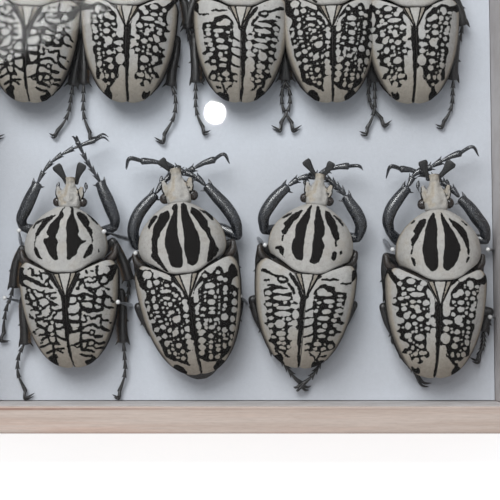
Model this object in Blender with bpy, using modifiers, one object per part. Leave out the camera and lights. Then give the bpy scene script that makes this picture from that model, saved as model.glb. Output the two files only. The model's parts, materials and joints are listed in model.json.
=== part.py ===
"""A goliath beetle, dried and pinned in a glazed wooden display case that lies on its back.

Lengths in this file are millimetres, and become metres where a mesh is made. The case has its origin
at the middle of its underside, with +Y towards the beetle's head and +Z up through the glass.
The beetle is made in a frame of its own: origin at the front of the scutellum on the surface of the
lining, +X to its right, +Y forwards, +Z up. An empty carries that frame to its place in the case.
"""

import math

import bmesh
import bpy
import numpy as np
from mathutils import Matrix, Vector

MM = 0.001
GAP = 0.3

# The case
INNER_X = 225.0
INNER_Y = 232.0
RAIL_WIDTH = 10.5
BACK_THICKNESS = 3.0
LINING_THICKNESS = 10.0
AIR_HEIGHT = 36.0
GLASS_THICKNESS = 2.0
GROOVE_DEPTH = 3.0
LIP_HEIGHT = 2.6
LINING_TOP = BACK_THICKNESS + GAP + LINING_THICKNESS
GROOVE_LOW = LINING_TOP + AIR_HEIGHT
GROOVE_HIGH = GROOVE_LOW + GLASS_THICKNESS + 2 * GAP
RAIL_TOP = GROOVE_HIGH + LIP_HEIGHT

# Where the beetle lies in the case
BEETLE_X = -67.6
BEETLE_Y = -62.4
BEETLE_TURN = math.radians(3.0)

# How the dried forebody sits: it is turned on the hind body, the prothorax leans and the head turns more
FORE_TURN = math.radians(-2.5)
PROTHORAX_SHIFT = -1.2
PROTHORAX_ROLL = math.radians(3.0)
ROLL_HEIGHT = 15.0
HEAD_TURN = math.radians(-1.5)
HEAD_SHIFT = 0.2
NECK = Vector((0.0, 27.0, 0.0))

# The hind body: elytra over thorax and abdomen
BODY_WIDTH = 21.0
BODY_REAR = -39.4
SHOULDER_FRONT = 4.6
LEFT_SHOULDER_FORWARD = 0.9
LEFT_SHOULDER_UP = 0.35
SHELL = 1.0
CORE_INSET = 1.6
THORAX_FRONT = 6.6
THORAX_REAR = -14.0
PYGIDIUM_FRONT = -34.6
CORE_REAR = -38.2
MIDLINE_HEIGHTS = (
    (6.6, 26.2), (0, 27.0), (-8, 27.8), (-16, 27.5), (-24, 25.4), (-31, 21.4), (-36, 16.9), (-39.4, 12.6),
)
MARGIN_HEIGHTS = ((6.6, 15.0), (-6, 13.6), (-20, 12.2), (-32, 11.7), (-39.4, 11.7))
BELLY_HEIGHTS = ((6.6, 6.6), (0, 5.2), (-14, 5.0), (-22, 5.6), (-30, 7.2), (-35, 9.0), (-39.4, 10.6))
SCUTELLUM_HALF = 4.9
SCUTELLUM_FRONT = -0.4
SCUTELLUM_TIP = -10.6

# The prothorax
PRONOTUM_SIDE = (
    (6.0, 26.6), (9.3, 24.6), (12.9, 21.4), (15.7, 17.6), (17.05, 13.4), (17.05, 9.6), (15.8, 6.6),
)
PRONOTUM_REAR = ((0, -0.1), (4.0, 0.05), (6.2, 0.8), (10.2, 3.3), (13.6, 5.3), (15.8, 6.6))
PRONOTUM_NOSE = 27.6
PRONOTUM_MIDLINE = ((0, 19.8), (0.15, 22.8), (0.35, 25.6), (0.6, 27.3), (0.8, 27.7), (1, 27.6))
PRONOTUM_MARGIN = ((0, 15.5), (0.5, 14.0), (1, 14.5))
PROSTERNUM_DEPTH = ((0, 6.0), (0.3, 8.2), (0.7, 8.6))
PROTHORAX_WALL = 0.74
PLATE = 1.2

# The head: distance forwards, half width, top, underside
HEAD_SECTIONS = (
    (27.95, 4.5, 19.2, 9.6), (29.6, 4.7, 19.5, 9.0), (31.6, 4.5, 19.0, 9.0), (33.6, 4.0, 18.0, 9.6),
    (35.3, 3.2, 17.0, 10.6), (36.5, 2.35, 16.3, 11.8), (37.7, 1.95, 15.9, 13.4), (40.2, 2.15, 16.0, 14.2),
)
EYE_PLACE = (5.3, 30.0, 14.2)
EYE_RADIUS = 1.95
LOBE_PATH = ((2.9, 30.4, 15.2), (4.2, 33.0, 15.7), (5.0, 35.9, 16.3))
LOBE_SECTION = ((0, 2.0, 0.9), (0.6, 1.75, 0.6), (1, 0.8, 0.4))
ANTENNA_PATH = ((3.9, 33.4, 11.6), (5.3, 34.3, 10.8), (6.0, 36.2, 10.2), (5.7, 38.6, 9.8))
ANTENNA_SECTION = ((0, 0.42, 0.42), (0.55, 0.4, 0.4), (0.7, 0.8, 0.55), (0.9, 0.75, 0.5), (1, 0.4, 0.35))

# The horn: the bar under the front of the head, and a prong at each side
HORN_BAR = ((-2.3, 39.2, 12.5), (0, 39.2, 12.4), (2.3, 39.2, 12.5))
PRONG_PATHS = (
    ((-1.9, 38.0, 12.6), (-2.7, 40.0, 13.8), (-4.2, 42.4, 15.3), (-6.0, 45.0, 16.7)),
    ((2.2, 38.0, 12.6), (2.7, 40.2, 13.8), (3.7, 42.8, 15.3), (5.2, 45.8, 16.7)),
)
PRONG_SECTION = ((0, 0.85, 0.8), (0.35, 1.1, 0.8), (0.68, 1.7, 0.75), (0.88, 2.05, 0.65), (1, 1.75, 0.5))

# Leg sections along the length: share of length, half width across, half thickness
FEMUR_SECTION = ((0, 1.5, 1.4), (0.25, 2.2, 1.8), (0.6, 2.5, 1.9), (1, 1.9, 1.6))
FORE_TIBIA_SECTION = ((0, 1.8, 1.5), (0.2, 2.3, 1.8), (0.6, 2.6, 1.9), (0.9, 2.2, 1.7), (1, 2.0, 1.5))
TIBIA_SECTION = ((0, 1.6, 1.3), (0.3, 1.8, 1.4), (0.8, 2.1, 1.6), (1, 2.2, 1.6))
FORE_TARSUS_RADII = (0.62, 1.12)
TARSUS_RADII = (0.5, 0.88)
TARSUS_JOINTS = (0.0, 0.17, 0.34, 0.51, 0.68, 1.0)

LEGS = {
    "fore_left": {
        "femur": ((-5.0, 15.6, 6.2), (-13.0, 17.8, 6.8), (-20.4, 20.2, 9.2)),
        "tibia": ((-20.5, 20.3, 9.2), (-20.7, 23.4, 10.8), (-18.9, 27.4, 11.6), (-16.9, 31.6, 12.2),
                  (-15.0, 35.4, 12.6), (-13.8, 38.0, 12.4)),
        "tarsus": ((-13.6, 38.5, 12.3), (-11.3, 43.2, 12.0), (-7.2, 48.0, 11.5), (-2.0, 51.6, 11.0),
                   (2.5, 53.8, 10.6), (7.0, 55.6, 10.3), (10.6, 56.8, 10.0)),
        "claw_tip": (15.9, 57.4, 7.8), "claw_side": (-0.1, 0.75, 0.0),
    },
    "fore_right": {
        "femur": ((5.0, 15.6, 6.2), (12.0, 17.4, 6.8), (18.2, 19.8, 9.2)),
        "tibia": ((18.3, 20.0, 9.2), (18.6, 22.6, 10.6), (17.4, 26.4, 11.4), (15.9, 30.4, 12.0),
                  (14.0, 34.8, 12.4), (12.7, 38.3, 12.4)),
        "tarsus": ((12.5, 38.8, 12.4), (9.9, 43.0, 13.2), (7.2, 47.4, 14.6), (5.4, 51.4, 15.9),
                   (4.5, 53.4, 17.0), (3.8, 55.0, 18.6)),
        "claw_tip": (3.0, 56.5, 21.6), "claw_side": (0.75, 0.1, 0.0),
    },
    "mid_left": {
        "femur": ((-4.6, 3.0, 5.4), (-13.0, 7.8, 6.2), (-20.5, 11.6, 8.6)),
        "tibia": ((-20.6, 11.4, 8.6), (-23.0, 6.2, 8.0), (-24.2, 1.4, 7.0), (-24.9, -3.8, 6.0)),
        "tarsus": ((-25.3, -4.2, 5.7), (-26.9, -8.7, 4.6), (-28.7, -12.2, 4.0), (-29.7, -15.9, 3.4),
                   (-30.6, -20.1, 2.6), (-30.7, -24.0, 2.2)),
        "claw_tip": (-28.6, -27.0, 0.9), "claw_side": (0.45, 0.2, 0.4),
    },
    "mid_right": {
        "femur": ((4.6, 3.0, 5.4), (12.4, 8.6, 6.2), (18.4, 12.8, 8.8)),
        "tibia": ((18.5, 12.6, 8.8), (21.2, 6.4, 8.0), (22.9, 1.4, 7.2), (23.9, -3.2, 6.4)),
        "tarsus": ((23.9, -3.7, 6.0), (23.2, -8.4, 3.0), (21.8, -13.0, 2.0), (20.7, -18.0, 1.6),
                   (20.1, -22.4, 1.6)),
        "claw_tip": (19.4, -26.2, 0.9), "claw_side": (-0.4, 0.0, 0.45),
    },
    "hind_left": {
        "femur": ((-5.0, -10.6, 5.0), (-13.0, -10.4, 5.2), (-20.9, -9.4, 6.8)),
        "tibia": ((-21.0, -9.6, 6.8), (-21.3, -15.6, 6.4), (-21.0, -21.6, 6.0), (-21.3, -28.0, 5.2)),
        "tarsus": ((-21.7, -28.4, 4.9), (-24.1, -32.7, 4.4), (-25.1, -37.0, 3.8), (-25.0, -41.6, 3.2),
                   (-23.6, -45.4, 2.6), (-22.2, -48.8, 2.1)),
        "claw_tip": (-18.9, -49.9, 0.9), "claw_side": (0.2, 0.5, 0.4),
    },
    "hind_right": {
        "femur": ((5.0, -10.6, 5.0), (13.0, -10.2, 5.2), (20.6, -8.8, 6.8)),
        "tibia": ((20.7, -9.0, 6.8), (20.7, -16.0, 6.4), (20.2, -23.4, 6.0), (20.3, -29.4, 5.2)),
        "tarsus": ((20.4, -29.9, 4.9), (20.4, -35.6, 4.2), (20.4, -41.0, 3.6), (19.6, -45.2, 3.0),
                   (18.1, -48.8, 2.5), (17.0, -51.0, 2.1)),
        "claw_tip": (14.4, -52.3, 0.9), "claw_side": (-0.2, 0.5, 0.4),
    },
}

# Bracing pins: the end in the lining, and the glass head, in the beetle's frame
PINS = (((-23.4, 14.0, -6.0), (-19.6, 18.7, 18.0)), ((27.6, 13.2, -6.0), (16.6, 15.8, 25.5)),
        ((-21.2, -10.9, -6.0), (-27.6, -8.7, 13.0)), ((24.9, -14.6, -6.0), (20.6, -13.2, 22.0)))
PIN_RADIUS = 0.3
PIN_HEAD = 0.95

COLOURS = {
    "pale_wood": ((0.62, 0.50, 0.36), 0.6), "board": ((0.45, 0.34, 0.22), 0.7),
    "lining": ((0.82, 0.83, 0.85), 0.8), "glass": ((0.9, 0.95, 0.95), 0.05),
    "ivory": ((0.62, 0.57, 0.47), 0.7), "black_velvet": ((0.03, 0.025, 0.02), 0.6),
    "leg_black": ((0.05, 0.05, 0.055), 0.35), "body_brown": ((0.09, 0.07, 0.045), 0.45),
    "eye_brown": ((0.05, 0.03, 0.02), 0.2), "steel": ((0.3, 0.3, 0.32), 0.3),
}


def clear_scene():
    for thing in list(bpy.data.objects):
        bpy.data.objects.remove(thing)


def material(name):
    """The Principled material of that name, made once."""
    found = bpy.data.materials.get(name)
    if found:
        return found
    colour, roughness = COLOURS[name]
    made = bpy.data.materials.new(name)
    made.use_nodes = True
    shader = made.node_tree.nodes["Principled BSDF"]
    shader.inputs["Base Color"].default_value = (*colour, 1)
    shader.inputs["Roughness"].default_value = roughness
    shader.inputs["Metallic"].default_value = 1.0 if name == "steel" else 0.0
    return made


def through(stations, where):
    """The smooth curve through (place, value...) stations, at the places asked for."""
    table = np.array(stations, float)
    table = table[np.argsort(table[:, 0], kind="stable")]
    places, values = table[:, 0], table[:, 1:]
    slopes = np.gradient(values, places, axis=0)
    where = np.clip(np.atleast_1d(np.asarray(where, float)), places[0], places[-1])
    left = np.clip(np.searchsorted(places, where, "right") - 1, 0, len(places) - 2)
    step = (places[left + 1] - places[left])[:, None]
    share = ((where - places[left])[:, None]) / step
    hermite = (
        (2 * share**3 - 3 * share**2 + 1) * values[left]
        + (share**3 - 2 * share**2 + share) * step * slopes[left]
        + (3 * share**2 - 2 * share**3) * values[left + 1]
        + (share**3 - share**2) * step * slopes[left + 1]
    )
    return hermite


def value_at(stations, where):
    """One number of a (place, value) curve."""
    return float(through(stations, where)[0, 0])


def even_line(points, count, fine=24):
    """count points, evenly spaced along the smooth curve through the given ones."""
    points = np.array(points, float)
    along = np.concatenate([[0], np.cumsum(np.linalg.norm(np.diff(points, axis=0), axis=1))])
    dense = through(np.column_stack([along, points]), np.linspace(0, along[-1], fine * len(points)))
    length = np.concatenate([[0], np.cumsum(np.linalg.norm(np.diff(dense, axis=0), axis=1))])
    places = np.linspace(0, length[-1], count)
    return np.column_stack([np.interp(places, length, dense[:, k]) for k in range(points.shape[1])])


def add_object(name, verts, faces, look, parent=None):
    """A smooth-shaded mesh object from points in millimetres."""
    mesh = bpy.data.meshes.new(name)
    mesh.from_pydata([tuple(c * MM for c in v) for v in verts], [], faces)
    mesh.update()
    bm = bmesh.new()
    bm.from_mesh(mesh)
    bmesh.ops.recalc_face_normals(bm, faces=bm.faces)
    bm.to_mesh(mesh)
    bm.free()
    mesh.shade_smooth()
    mesh.set_sharp_from_angle(angle=math.radians(50))
    thing = bpy.data.objects.new(name, mesh)
    PARTS.objects.link(thing)
    thing.data.materials.append(material(look))
    thing.parent = parent
    return thing


def loft(name, rings, look, parent=None):
    """A closed body through rings of equal count. A ring of one point is a pointed end."""
    verts, starts, faces = [], [], []
    for ring in rings:
        starts.append(len(verts))
        verts += [tuple(p) for p in ring]
    count = max(len(ring) for ring in rings)
    for a, b, first, second in zip(starts, starts[1:], rings, rings[1:]):
        for i in range(count):
            j = (i + 1) % count
            if len(first) == 1:
                faces.append((a, b + i, b + j))
            elif len(second) == 1:
                faces.append((a + i, a + j, b))
            else:
                faces.append((a + i, a + j, b + j, b + i))
    if len(rings[0]) > 1:
        faces.append(tuple(range(starts[0], starts[0] + count))[::-1])
    if len(rings[-1]) > 1:
        faces.append(tuple(range(starts[-1], starts[-1] + count)))
    return add_object(name, verts, faces, look, parent)


def two_sided(name, top, bottom, look, parent=None):
    """A closed body between two grids whose first and last columns coincide."""
    rows, columns = len(top), len(top[0])
    verts = [tuple(p) for row in top for p in row]
    under = {}
    for r in range(rows):
        for c in range(columns):
            if c in (0, columns - 1):
                under[r, c] = r * columns + c
            else:
                under[r, c] = len(verts)
                verts.append(tuple(bottom[r][c]))
    faces = []

    def add(*corners):
        ring = [v for k, v in enumerate(corners) if v != corners[k - 1]]
        if len(ring) > 2:
            faces.append(tuple(ring))

    for r in range(rows - 1):
        for c in range(columns - 1):
            k = r * columns + c
            add(k, k + 1, k + columns + 1, k + columns)
            add(under[r, c], under[r + 1, c], under[r + 1, c + 1], under[r, c + 1])
    last = (rows - 1) * columns
    for c in range(columns - 1):
        add(c, under[0, c], under[0, c + 1], c + 1)
        add(last + c, last + c + 1, under[rows - 1, c + 1], under[rows - 1, c])
    return add_object(name, verts, faces, look, parent)


def open_sheet(name, grid, look, thickness, parent=None):
    """A shell: an open grid, thickened inwards from its outer face."""
    rows, columns = len(grid), len(grid[0])
    verts = [tuple(p) for row in grid for p in row]
    faces = [
        (r * columns + c, r * columns + c + 1, (r + 1) * columns + c + 1, (r + 1) * columns + c)
        for r in range(rows - 1)
        for c in range(columns - 1)
    ]
    thing = add_object(name, verts, faces, look, parent)
    if thing.data.polygons[len(faces) // 2].normal.z < 0:
        thing.data.flip_normals()
    shell = thing.modifiers.new("thickness", "SOLIDIFY")
    shell.thickness = thickness * MM
    shell.offset = -1
    shell.use_quality_normals = True
    return thing


def rings_along(path, sections, sides, count, up=(0, 0, 1)):
    """Elliptical rings on a smooth path, with half widths read from sections by share of length."""
    line = even_line(path, count)
    tangents = np.gradient(line, axis=0)
    shares = np.linspace(0, 1, count)
    sizes = through(sections, shares)
    rings = []
    for point, tangent, (across, thick) in zip(line, tangents, sizes):
        tangent = tangent / np.linalg.norm(tangent)
        side = np.cross(tangent, up)
        side = side / np.linalg.norm(side)
        over = np.cross(side, tangent)
        angles = 2 * math.pi * (np.arange(sides) + 0.5) / sides
        rings.append([point + side * across * math.cos(a) + over * thick * math.sin(a) for a in angles])
    return rings


def tube(name, path, sections, look, sides=10, count=8, parent=None, rounded=True):
    """A closed tube on a path, with domed ends."""
    rings = rings_along(path, sections, sides, count)
    if rounded:
        ends = []
        for ring, beyond in ((rings[0], rings[1]), (rings[-1], rings[-2])):
            middle, inner = np.mean(ring, axis=0), np.mean(beyond, axis=0)
            out = (middle - inner) / np.linalg.norm(middle - inner)
            reach = 0.5 * min(np.linalg.norm(p - middle) for p in ring)
            small = [middle + out * reach + 0.55 * (p - middle) for p in ring]
            ends.append(small)
        rings = [ends[0], *rings, ends[1]]
    return loft(name, rings, look, parent)


def spike(name, base, tip, radius, look, sides=6, parent=None):
    """A tapered spine or tooth from base to tip."""
    base, tip = np.array(base, float), np.array(tip, float)
    sections = ((0, radius, radius), (1, radius / 3, radius / 3))
    ring = rings_along([base, (base + tip) / 2, tip], sections, sides, 3)
    return loft(name, [ring[0], ring[1], [tip]], look, parent)


def ball(name, centre, radii, look, parent=None, segments=16, rings=10):
    bpy.ops.mesh.primitive_uv_sphere_add(segments=segments, ring_count=rings, radius=1.0)
    thing = bpy.context.object
    thing.name = name
    size = Matrix.Diagonal((*(r * MM for r in radii), 1))
    thing.data.transform(Matrix.Translation(Vector(centre) * MM) @ size)
    thing.data.shade_smooth()
    thing.data.materials.append(material(look))
    for holder in list(thing.users_collection):
        holder.objects.unlink(thing)
    PARTS.objects.link(thing)
    thing.parent = parent
    return thing


def bake_modifiers(thing):
    """Makes the evaluated mesh the object's own."""
    graph = bpy.context.evaluated_depsgraph_get()
    graph.update()
    mesh = bpy.data.meshes.new_from_object(thing.evaluated_get(graph))
    thing.modifiers.clear()
    thing.data = mesh


def keep_largest(thing):
    """Drops every closed surface of the mesh but the largest."""
    bm = bmesh.new()
    bm.from_mesh(thing.data)
    left, groups = set(bm.faces), []
    while left:
        stack, group = [left.pop()], []
        while stack:
            face = stack.pop()
            group.append(face)
            for edge in face.edges:
                for other in edge.link_faces:
                    if other in left:
                        left.remove(other)
                        stack.append(other)
        groups.append(group)
    groups.sort(key=lambda g: sum(f.calc_area() for f in g))
    for group in groups[:-1]:
        bmesh.ops.delete(bm, geom=group, context="FACES")
    bm.to_mesh(thing.data)
    bm.free()


def combine(thing, others, operation, solver="EXACT"):
    """One applied Boolean of thing with all the others, which are then removed."""
    group = bpy.data.collections.new("joining")
    bpy.context.scene.collection.children.link(group)
    for other in others:
        for holder in list(other.users_collection):
            holder.objects.unlink(other)
        group.objects.link(other)
    step = thing.modifiers.new(operation.lower(), "BOOLEAN")
    step.operation = operation
    step.operand_type = "COLLECTION"
    step.collection = group
    step.solver = solver
    bpy.context.view_layer.update()
    bake_modifiers(thing)
    for other in list(group.objects):
        bpy.data.objects.remove(other)
    bpy.data.collections.remove(group)
    keep_largest(thing)
    return thing


def slice_off(thing, point, normal):
    """Cuts away what lies beyond a plane, and closes the cut."""
    bm = bmesh.new()
    bm.from_mesh(thing.data)
    cut = bmesh.ops.bisect_plane(
        bm, geom=[*bm.verts, *bm.edges, *bm.faces], plane_co=Vector(point) * MM,
        plane_no=Vector(normal), clear_outer=True,
    )
    rim = [e for e in cut["geom_cut"] if isinstance(e, bmesh.types.BMEdge)]
    bmesh.ops.contextual_create(bm, geom=rim)
    bmesh.ops.recalc_face_normals(bm, faces=bm.faces)
    bm.to_mesh(thing.data)
    bm.free()
    return thing


# The outline and height of the hind body, which elytra, scutellum, thorax and abdomen share


def half_width(y):
    rear = (1 - min(abs(min(y, 0.0)) / -BODY_REAR, 0.9999) ** 2) ** 0.42
    shoulder = 1 - 0.115 * (max(y + 1.5, 0.0) / (SHOULDER_FRONT + 1.5)) ** 3.5
    return BODY_WIDTH * rear * shoulder


def dorsal_height(x, y):
    margin = value_at(MARGIN_HEIGHTS, y)
    share = min(abs(x) / half_width(y), 1.0)
    return margin + (value_at(MIDLINE_HEIGHTS, y) - margin) * (1 - share**2.3) ** (1 / 1.9)


def steepness(curve, y, step=0.2):
    return math.hypot(1, (curve(y + step) - curve(y - step)) / (2 * step))


def core_ring(y, sides):
    """The closed outline of the trunk under the elytra, at one station."""
    lift = min(max(y / THORAX_FRONT, 0.0), 1.0)
    width = half_width(min(y, 0.0)) - CORE_INSET * steepness(half_width, min(y, -0.5)) - 7.4 * lift**1.3
    top = value_at(MIDLINE_HEIGHTS, min(y, 0.0))
    top -= CORE_INSET * steepness(lambda v: value_at(MIDLINE_HEIGHTS, v), min(y, -0.5)) + 8.5 * lift**1.2
    top -= 0.35 * max(0.0, 1 - abs(y) / 4)
    margin = value_at(MARGIN_HEIGHTS, y) - GAP
    top = max(top, margin + 0.4)
    belly = min(value_at(BELLY_HEIGHTS, y), margin - 0.4)
    ring = []
    for k in range(sides):
        angle = 2 * math.pi * k / sides
        share = abs(math.cos(angle))
        if math.sin(angle) >= 0:
            z = margin + (top - margin) * (1 - share**2.3) ** (1 / 1.9)
        else:
            z = margin - (margin - belly) * (1 - share**1.9) ** (1 / 1.7)
        ring.append((width * math.cos(angle), y, z))
    return ring


def coons(front, rear, inner, outer, shares_across, shares_along):
    """A grid of plan points inside four boundary curves, each a function of a share from 0 to 1."""
    corners = inner(0), outer(0), inner(1), outer(1)
    grid = []
    for t in shares_along:
        row = []
        for s in shares_across:
            between = (1 - s) * inner(t) + s * outer(t)
            along = (1 - t) * front(s) + t * rear(s)
            near = (1 - s) * corners[0] + s * corners[1]
            far = (1 - s) * corners[2] + s * corners[3]
            corner = (1 - t) * near + t * far
            row.append(between + along - corner)
        grid.append(row)
    return grid


def curve_of(points):
    """A boundary curve as a function of the share of its length."""
    line = even_line(points, 200)
    shares = np.linspace(0, 1, len(line))

    def at(share):
        return np.array([np.interp(share, shares, line[:, 0]), np.interp(share, shares, line[:, 1])])

    return at


def make_elytron(name, side, parent, across=11, along=22):
    seam = GAP / 2
    tip = SCUTELLUM_TIP - GAP
    shoulder = (half_width(SHOULDER_FRONT), SHOULDER_FRONT)
    stations = [(half_width(y), y) for y in np.linspace(3.8, -35.5, 14)]
    outer = curve_of([shoulder, *stations])
    front = curve_of([(5.3, -0.7), (8.6, 1.1), (12.5, 2.8), (16.3, 4.3), shoulder])
    rear = curve_of([(seam, -38.9), (1.6, -39.2), (4.4, -38.85), (half_width(-37.9), -37.9),
                     (half_width(-35.5), -35.5)])
    edge = [(5.3 - k * (5.3 - seam) / 4, -0.7 + k * (tip + 0.7) / 4) for k in range(4)]
    inner = curve_of([*edge, (seam, tip), *((seam, y) for y in np.linspace(-14, -38.9, 7))])
    shares_across = [math.sin(0.5 * math.pi * k / (across - 1)) for k in range(across)]
    shares_along = [k / (along - 1) for k in range(along)]
    plan = coons(front, rear, inner, outer, shares_across, shares_along)
    grid = []
    for t, row in zip(shares_along, plan):
        roll = 0.7 * max(0.0, 1 - t / 0.05) ** 2
        line = []
        for s, (x, y) in zip(shares_across, row):
            share = s**1.5 * (1 - t) ** 4 if side < 0 else 0.0
            height = dorsal_height(x, y) - roll + LEFT_SHOULDER_UP * share
            line.append((side * max(x, seam), y + LEFT_SHOULDER_FORWARD * share, height))
        grid.append(line)
    return open_sheet(name, grid, "ivory", SHELL, parent)


def make_scutellum(parent, across=7, along=7):
    half, front, tip = SCUTELLUM_HALF, SCUTELLUM_FRONT, SCUTELLUM_TIP + 0.3
    grid = []
    for k in range(along):
        t = k / (along - 1)
        y = front + (tip - front) * t
        width = half * (1 - t) + 0.35 * t
        xs = [width * (2 * c / (across - 1) - 1) for c in range(across)]
        grid.append([(x, y, dorsal_height(x, y) - 0.25 * (x / half) ** 2) for x in xs])
    return open_sheet("scutellum", grid, "ivory", SHELL, parent)


def make_prothorax(parent, across=21, along=15):
    side = curve_of(PRONOTUM_SIDE)
    rear_half = [(-x, y) for x, y in PRONOTUM_REAR[:0:-1]]
    rear = curve_of([*rear_half, *PRONOTUM_REAR])
    near = PRONOTUM_NOSE - 0.2
    front = curve_of([(-6.0, 26.6), (-3.2, near), (0, PRONOTUM_NOSE), (3.2, near), (6.0, 26.6)])
    shares_across = [0.5 - 0.5 * math.cos(math.pi * (0.06 + 0.88 * c / (across - 1)))
                     for c in range(across)]
    low, high = shares_across[0], shares_across[-1]
    shares_across = [(s - low) / (high - low) for s in shares_across]
    before = [PROTHORAX_WALL * k / (along - 5) for k in range(along - 4)]
    after = [PROTHORAX_WALL + 0.03 + (0.97 - PROTHORAX_WALL) * k / 3 for k in range(4)]
    shares_along = before + after
    mirrored = lambda t: side(t) * np.array([-1.0, 1.0])
    plan = coons(front, rear, mirrored, side, shares_across, shares_along)
    top, bottom = [], []
    for t, row in zip(shares_along, plan):
        margin = value_at(PRONOTUM_MARGIN, t)
        rise = value_at(PRONOTUM_MIDLINE, t) - margin
        depth = value_at(PROSTERNUM_DEPTH, min(t, 0.7))
        upper, lower = [], []
        for s, p in zip(shares_across, row):
            edge = abs(2 * s - 1)
            z = margin + rise * (1 - min(edge, 1.0) ** 2.2) ** (1 / 1.8)
            under = z - PLATE
            if t <= PROTHORAX_WALL + 0.001:
                under = margin - depth * (1 - min(edge, 1.0) ** 2) ** 0.6
            upper.append((p[0], p[1], z))
            lower.append((p[0], p[1], min(under, z - 0.02)))
        top.append(upper)
        bottom.append(lower)
    return two_sided("prothorax", top, bottom, "ivory", parent)


def make_trunk(parent):
    """The thorax, the abdomen and the pygidium, cut from one form."""
    def stations(front, rear, count):
        return [front + (rear - front) * k / (count - 1) for k in range(count)]

    sides = 28
    rings = [core_ring(y, sides) for y in stations(THORAX_FRONT, THORAX_REAR, 12)]
    thorax = loft("thorax", rings, "body_brown", parent)
    lumps = []
    for side in (-1, 1):
        path = ((side * 12, 1.0, 10.8), (side * 16.4, 4.6, 11.6), (side * 19.3, 7.6, 12.6),
                (side * 19.7, 10.2, 12.8))
        section = ((0, 1.8, 1.6), (0.6, 1.9, 2.4), (1, 1.2, 1.6))
        lumps.append(tube(f"epimeron_{side}", path, section, "body_brown", 10, 7, parent))
    combine(thorax, lumps, "UNION")
    abdomen_rings = []
    segments = 5
    front, rear = THORAX_REAR - GAP, PYGIDIUM_FRONT
    for k in range(segments):
        near, far = (front + (rear - front) * (k + e) / segments for e in (0, 1))
        for share, pinch in ((0.0, 0.975), (0.14, 1.0), (0.86, 1.0)):
            ring = core_ring(near + (far - near) * share, sides)
            lift = (1 - pinch) * 14
            abdomen_rings.append([(x * pinch, y, z if z > 11 else z + lift) for x, y, z in ring])
    abdomen_rings.append(core_ring(rear, sides))
    abdomen = loft("abdomen", abdomen_rings, "body_brown", parent)
    rings = [core_ring(y, sides) for y in stations(PYGIDIUM_FRONT - GAP, CORE_REAR, 6)]
    pygidium = loft("pygidium", rings, "body_brown", parent)
    return thorax, abdomen, pygidium


def head_ring(y, width, top, low, sides):
    """A section of the head: flat on top, rounded below."""
    middle = 0.5 * (top + low)
    ring = []
    for k in range(sides):
        angle = 2 * math.pi * (k + 0.5) / sides
        across, up = math.cos(angle), math.sin(angle)
        power = 0.75 if up > 0 else 0.95
        ring.append((width * math.copysign(abs(across) ** 0.85, across), y,
                     middle + 0.5 * (top - low) * math.copysign(abs(up) ** power, up)))
    return ring


def make_head(parent, sides=16):
    stations = np.linspace(HEAD_SECTIONS[0][0], HEAD_SECTIONS[-1][0], 13)
    sizes = through(HEAD_SECTIONS, stations)
    rings = [head_ring(y, *size, sides) for y, size in zip(stations, sizes)]
    head = loft("head", rings, "ivory", parent)
    lobes, sockets, eyes, antennae = [], [], [], []
    for side, word in ((-1, "left"), (1, "right")):
        lobe_path = [(side * x, y, z) for x, y, z in LOBE_PATH]
        lobes.append(tube(f"lobe_{word}", lobe_path, LOBE_SECTION, "ivory", 8, 6, parent))
        place = (side * EYE_PLACE[0], EYE_PLACE[1], EYE_PLACE[2])
        eyes.append(ball(f"eye_{word}", place, [EYE_RADIUS] * 3, "eye_brown", parent, 16, 10))
        sockets.append(ball("socket", place, [EYE_RADIUS + GAP] * 3, "eye_brown", parent, 16, 10))
        path = [(side * x, y, z) for x, y, z in ANTENNA_PATH]
        antennae.append(tube(f"antenna_{word}", path, ANTENNA_SECTION, "leg_black", 8, 10, parent))
        wider = [(share, across + GAP, thick + GAP) for share, across, thick in ANTENNA_SECTION]
        sockets.append(tube("socket", path, wider, "leg_black", 8, 10, parent))
    combine(head, lobes, "UNION")
    combine(head, sockets, "DIFFERENCE")
    return head, eyes, antennae


def make_horn(parent):
    """The black fork: a bar below the front of the head, and a paddle-ended prong on each side of it."""
    ends = ((0, 0.9, 0.9), (1, 0.9, 0.9))
    bar = tube("cephalic_horn", HORN_BAR, ends, "black_velvet", 8, 4, parent)
    prongs = []
    for path in PRONG_PATHS:
        prongs.append(tube("prong", path, PRONG_SECTION, "black_velvet", 10, 9, parent))
    return combine(bar, prongs, "UNION")


def tarsus_sections(radii):
    """Five joints that each flare towards their far end."""
    thin, wide = radii
    sections = []
    for near, far in zip(TARSUS_JOINTS, TARSUS_JOINTS[1:]):
        length = far - near
        sections += [(near + 0.04 * length, thin), (near + 0.5 * length, 0.5 * (thin + wide)),
                     (near + 0.86 * length, wide)]
    sections.append((1.0, thin))
    return sections


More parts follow.
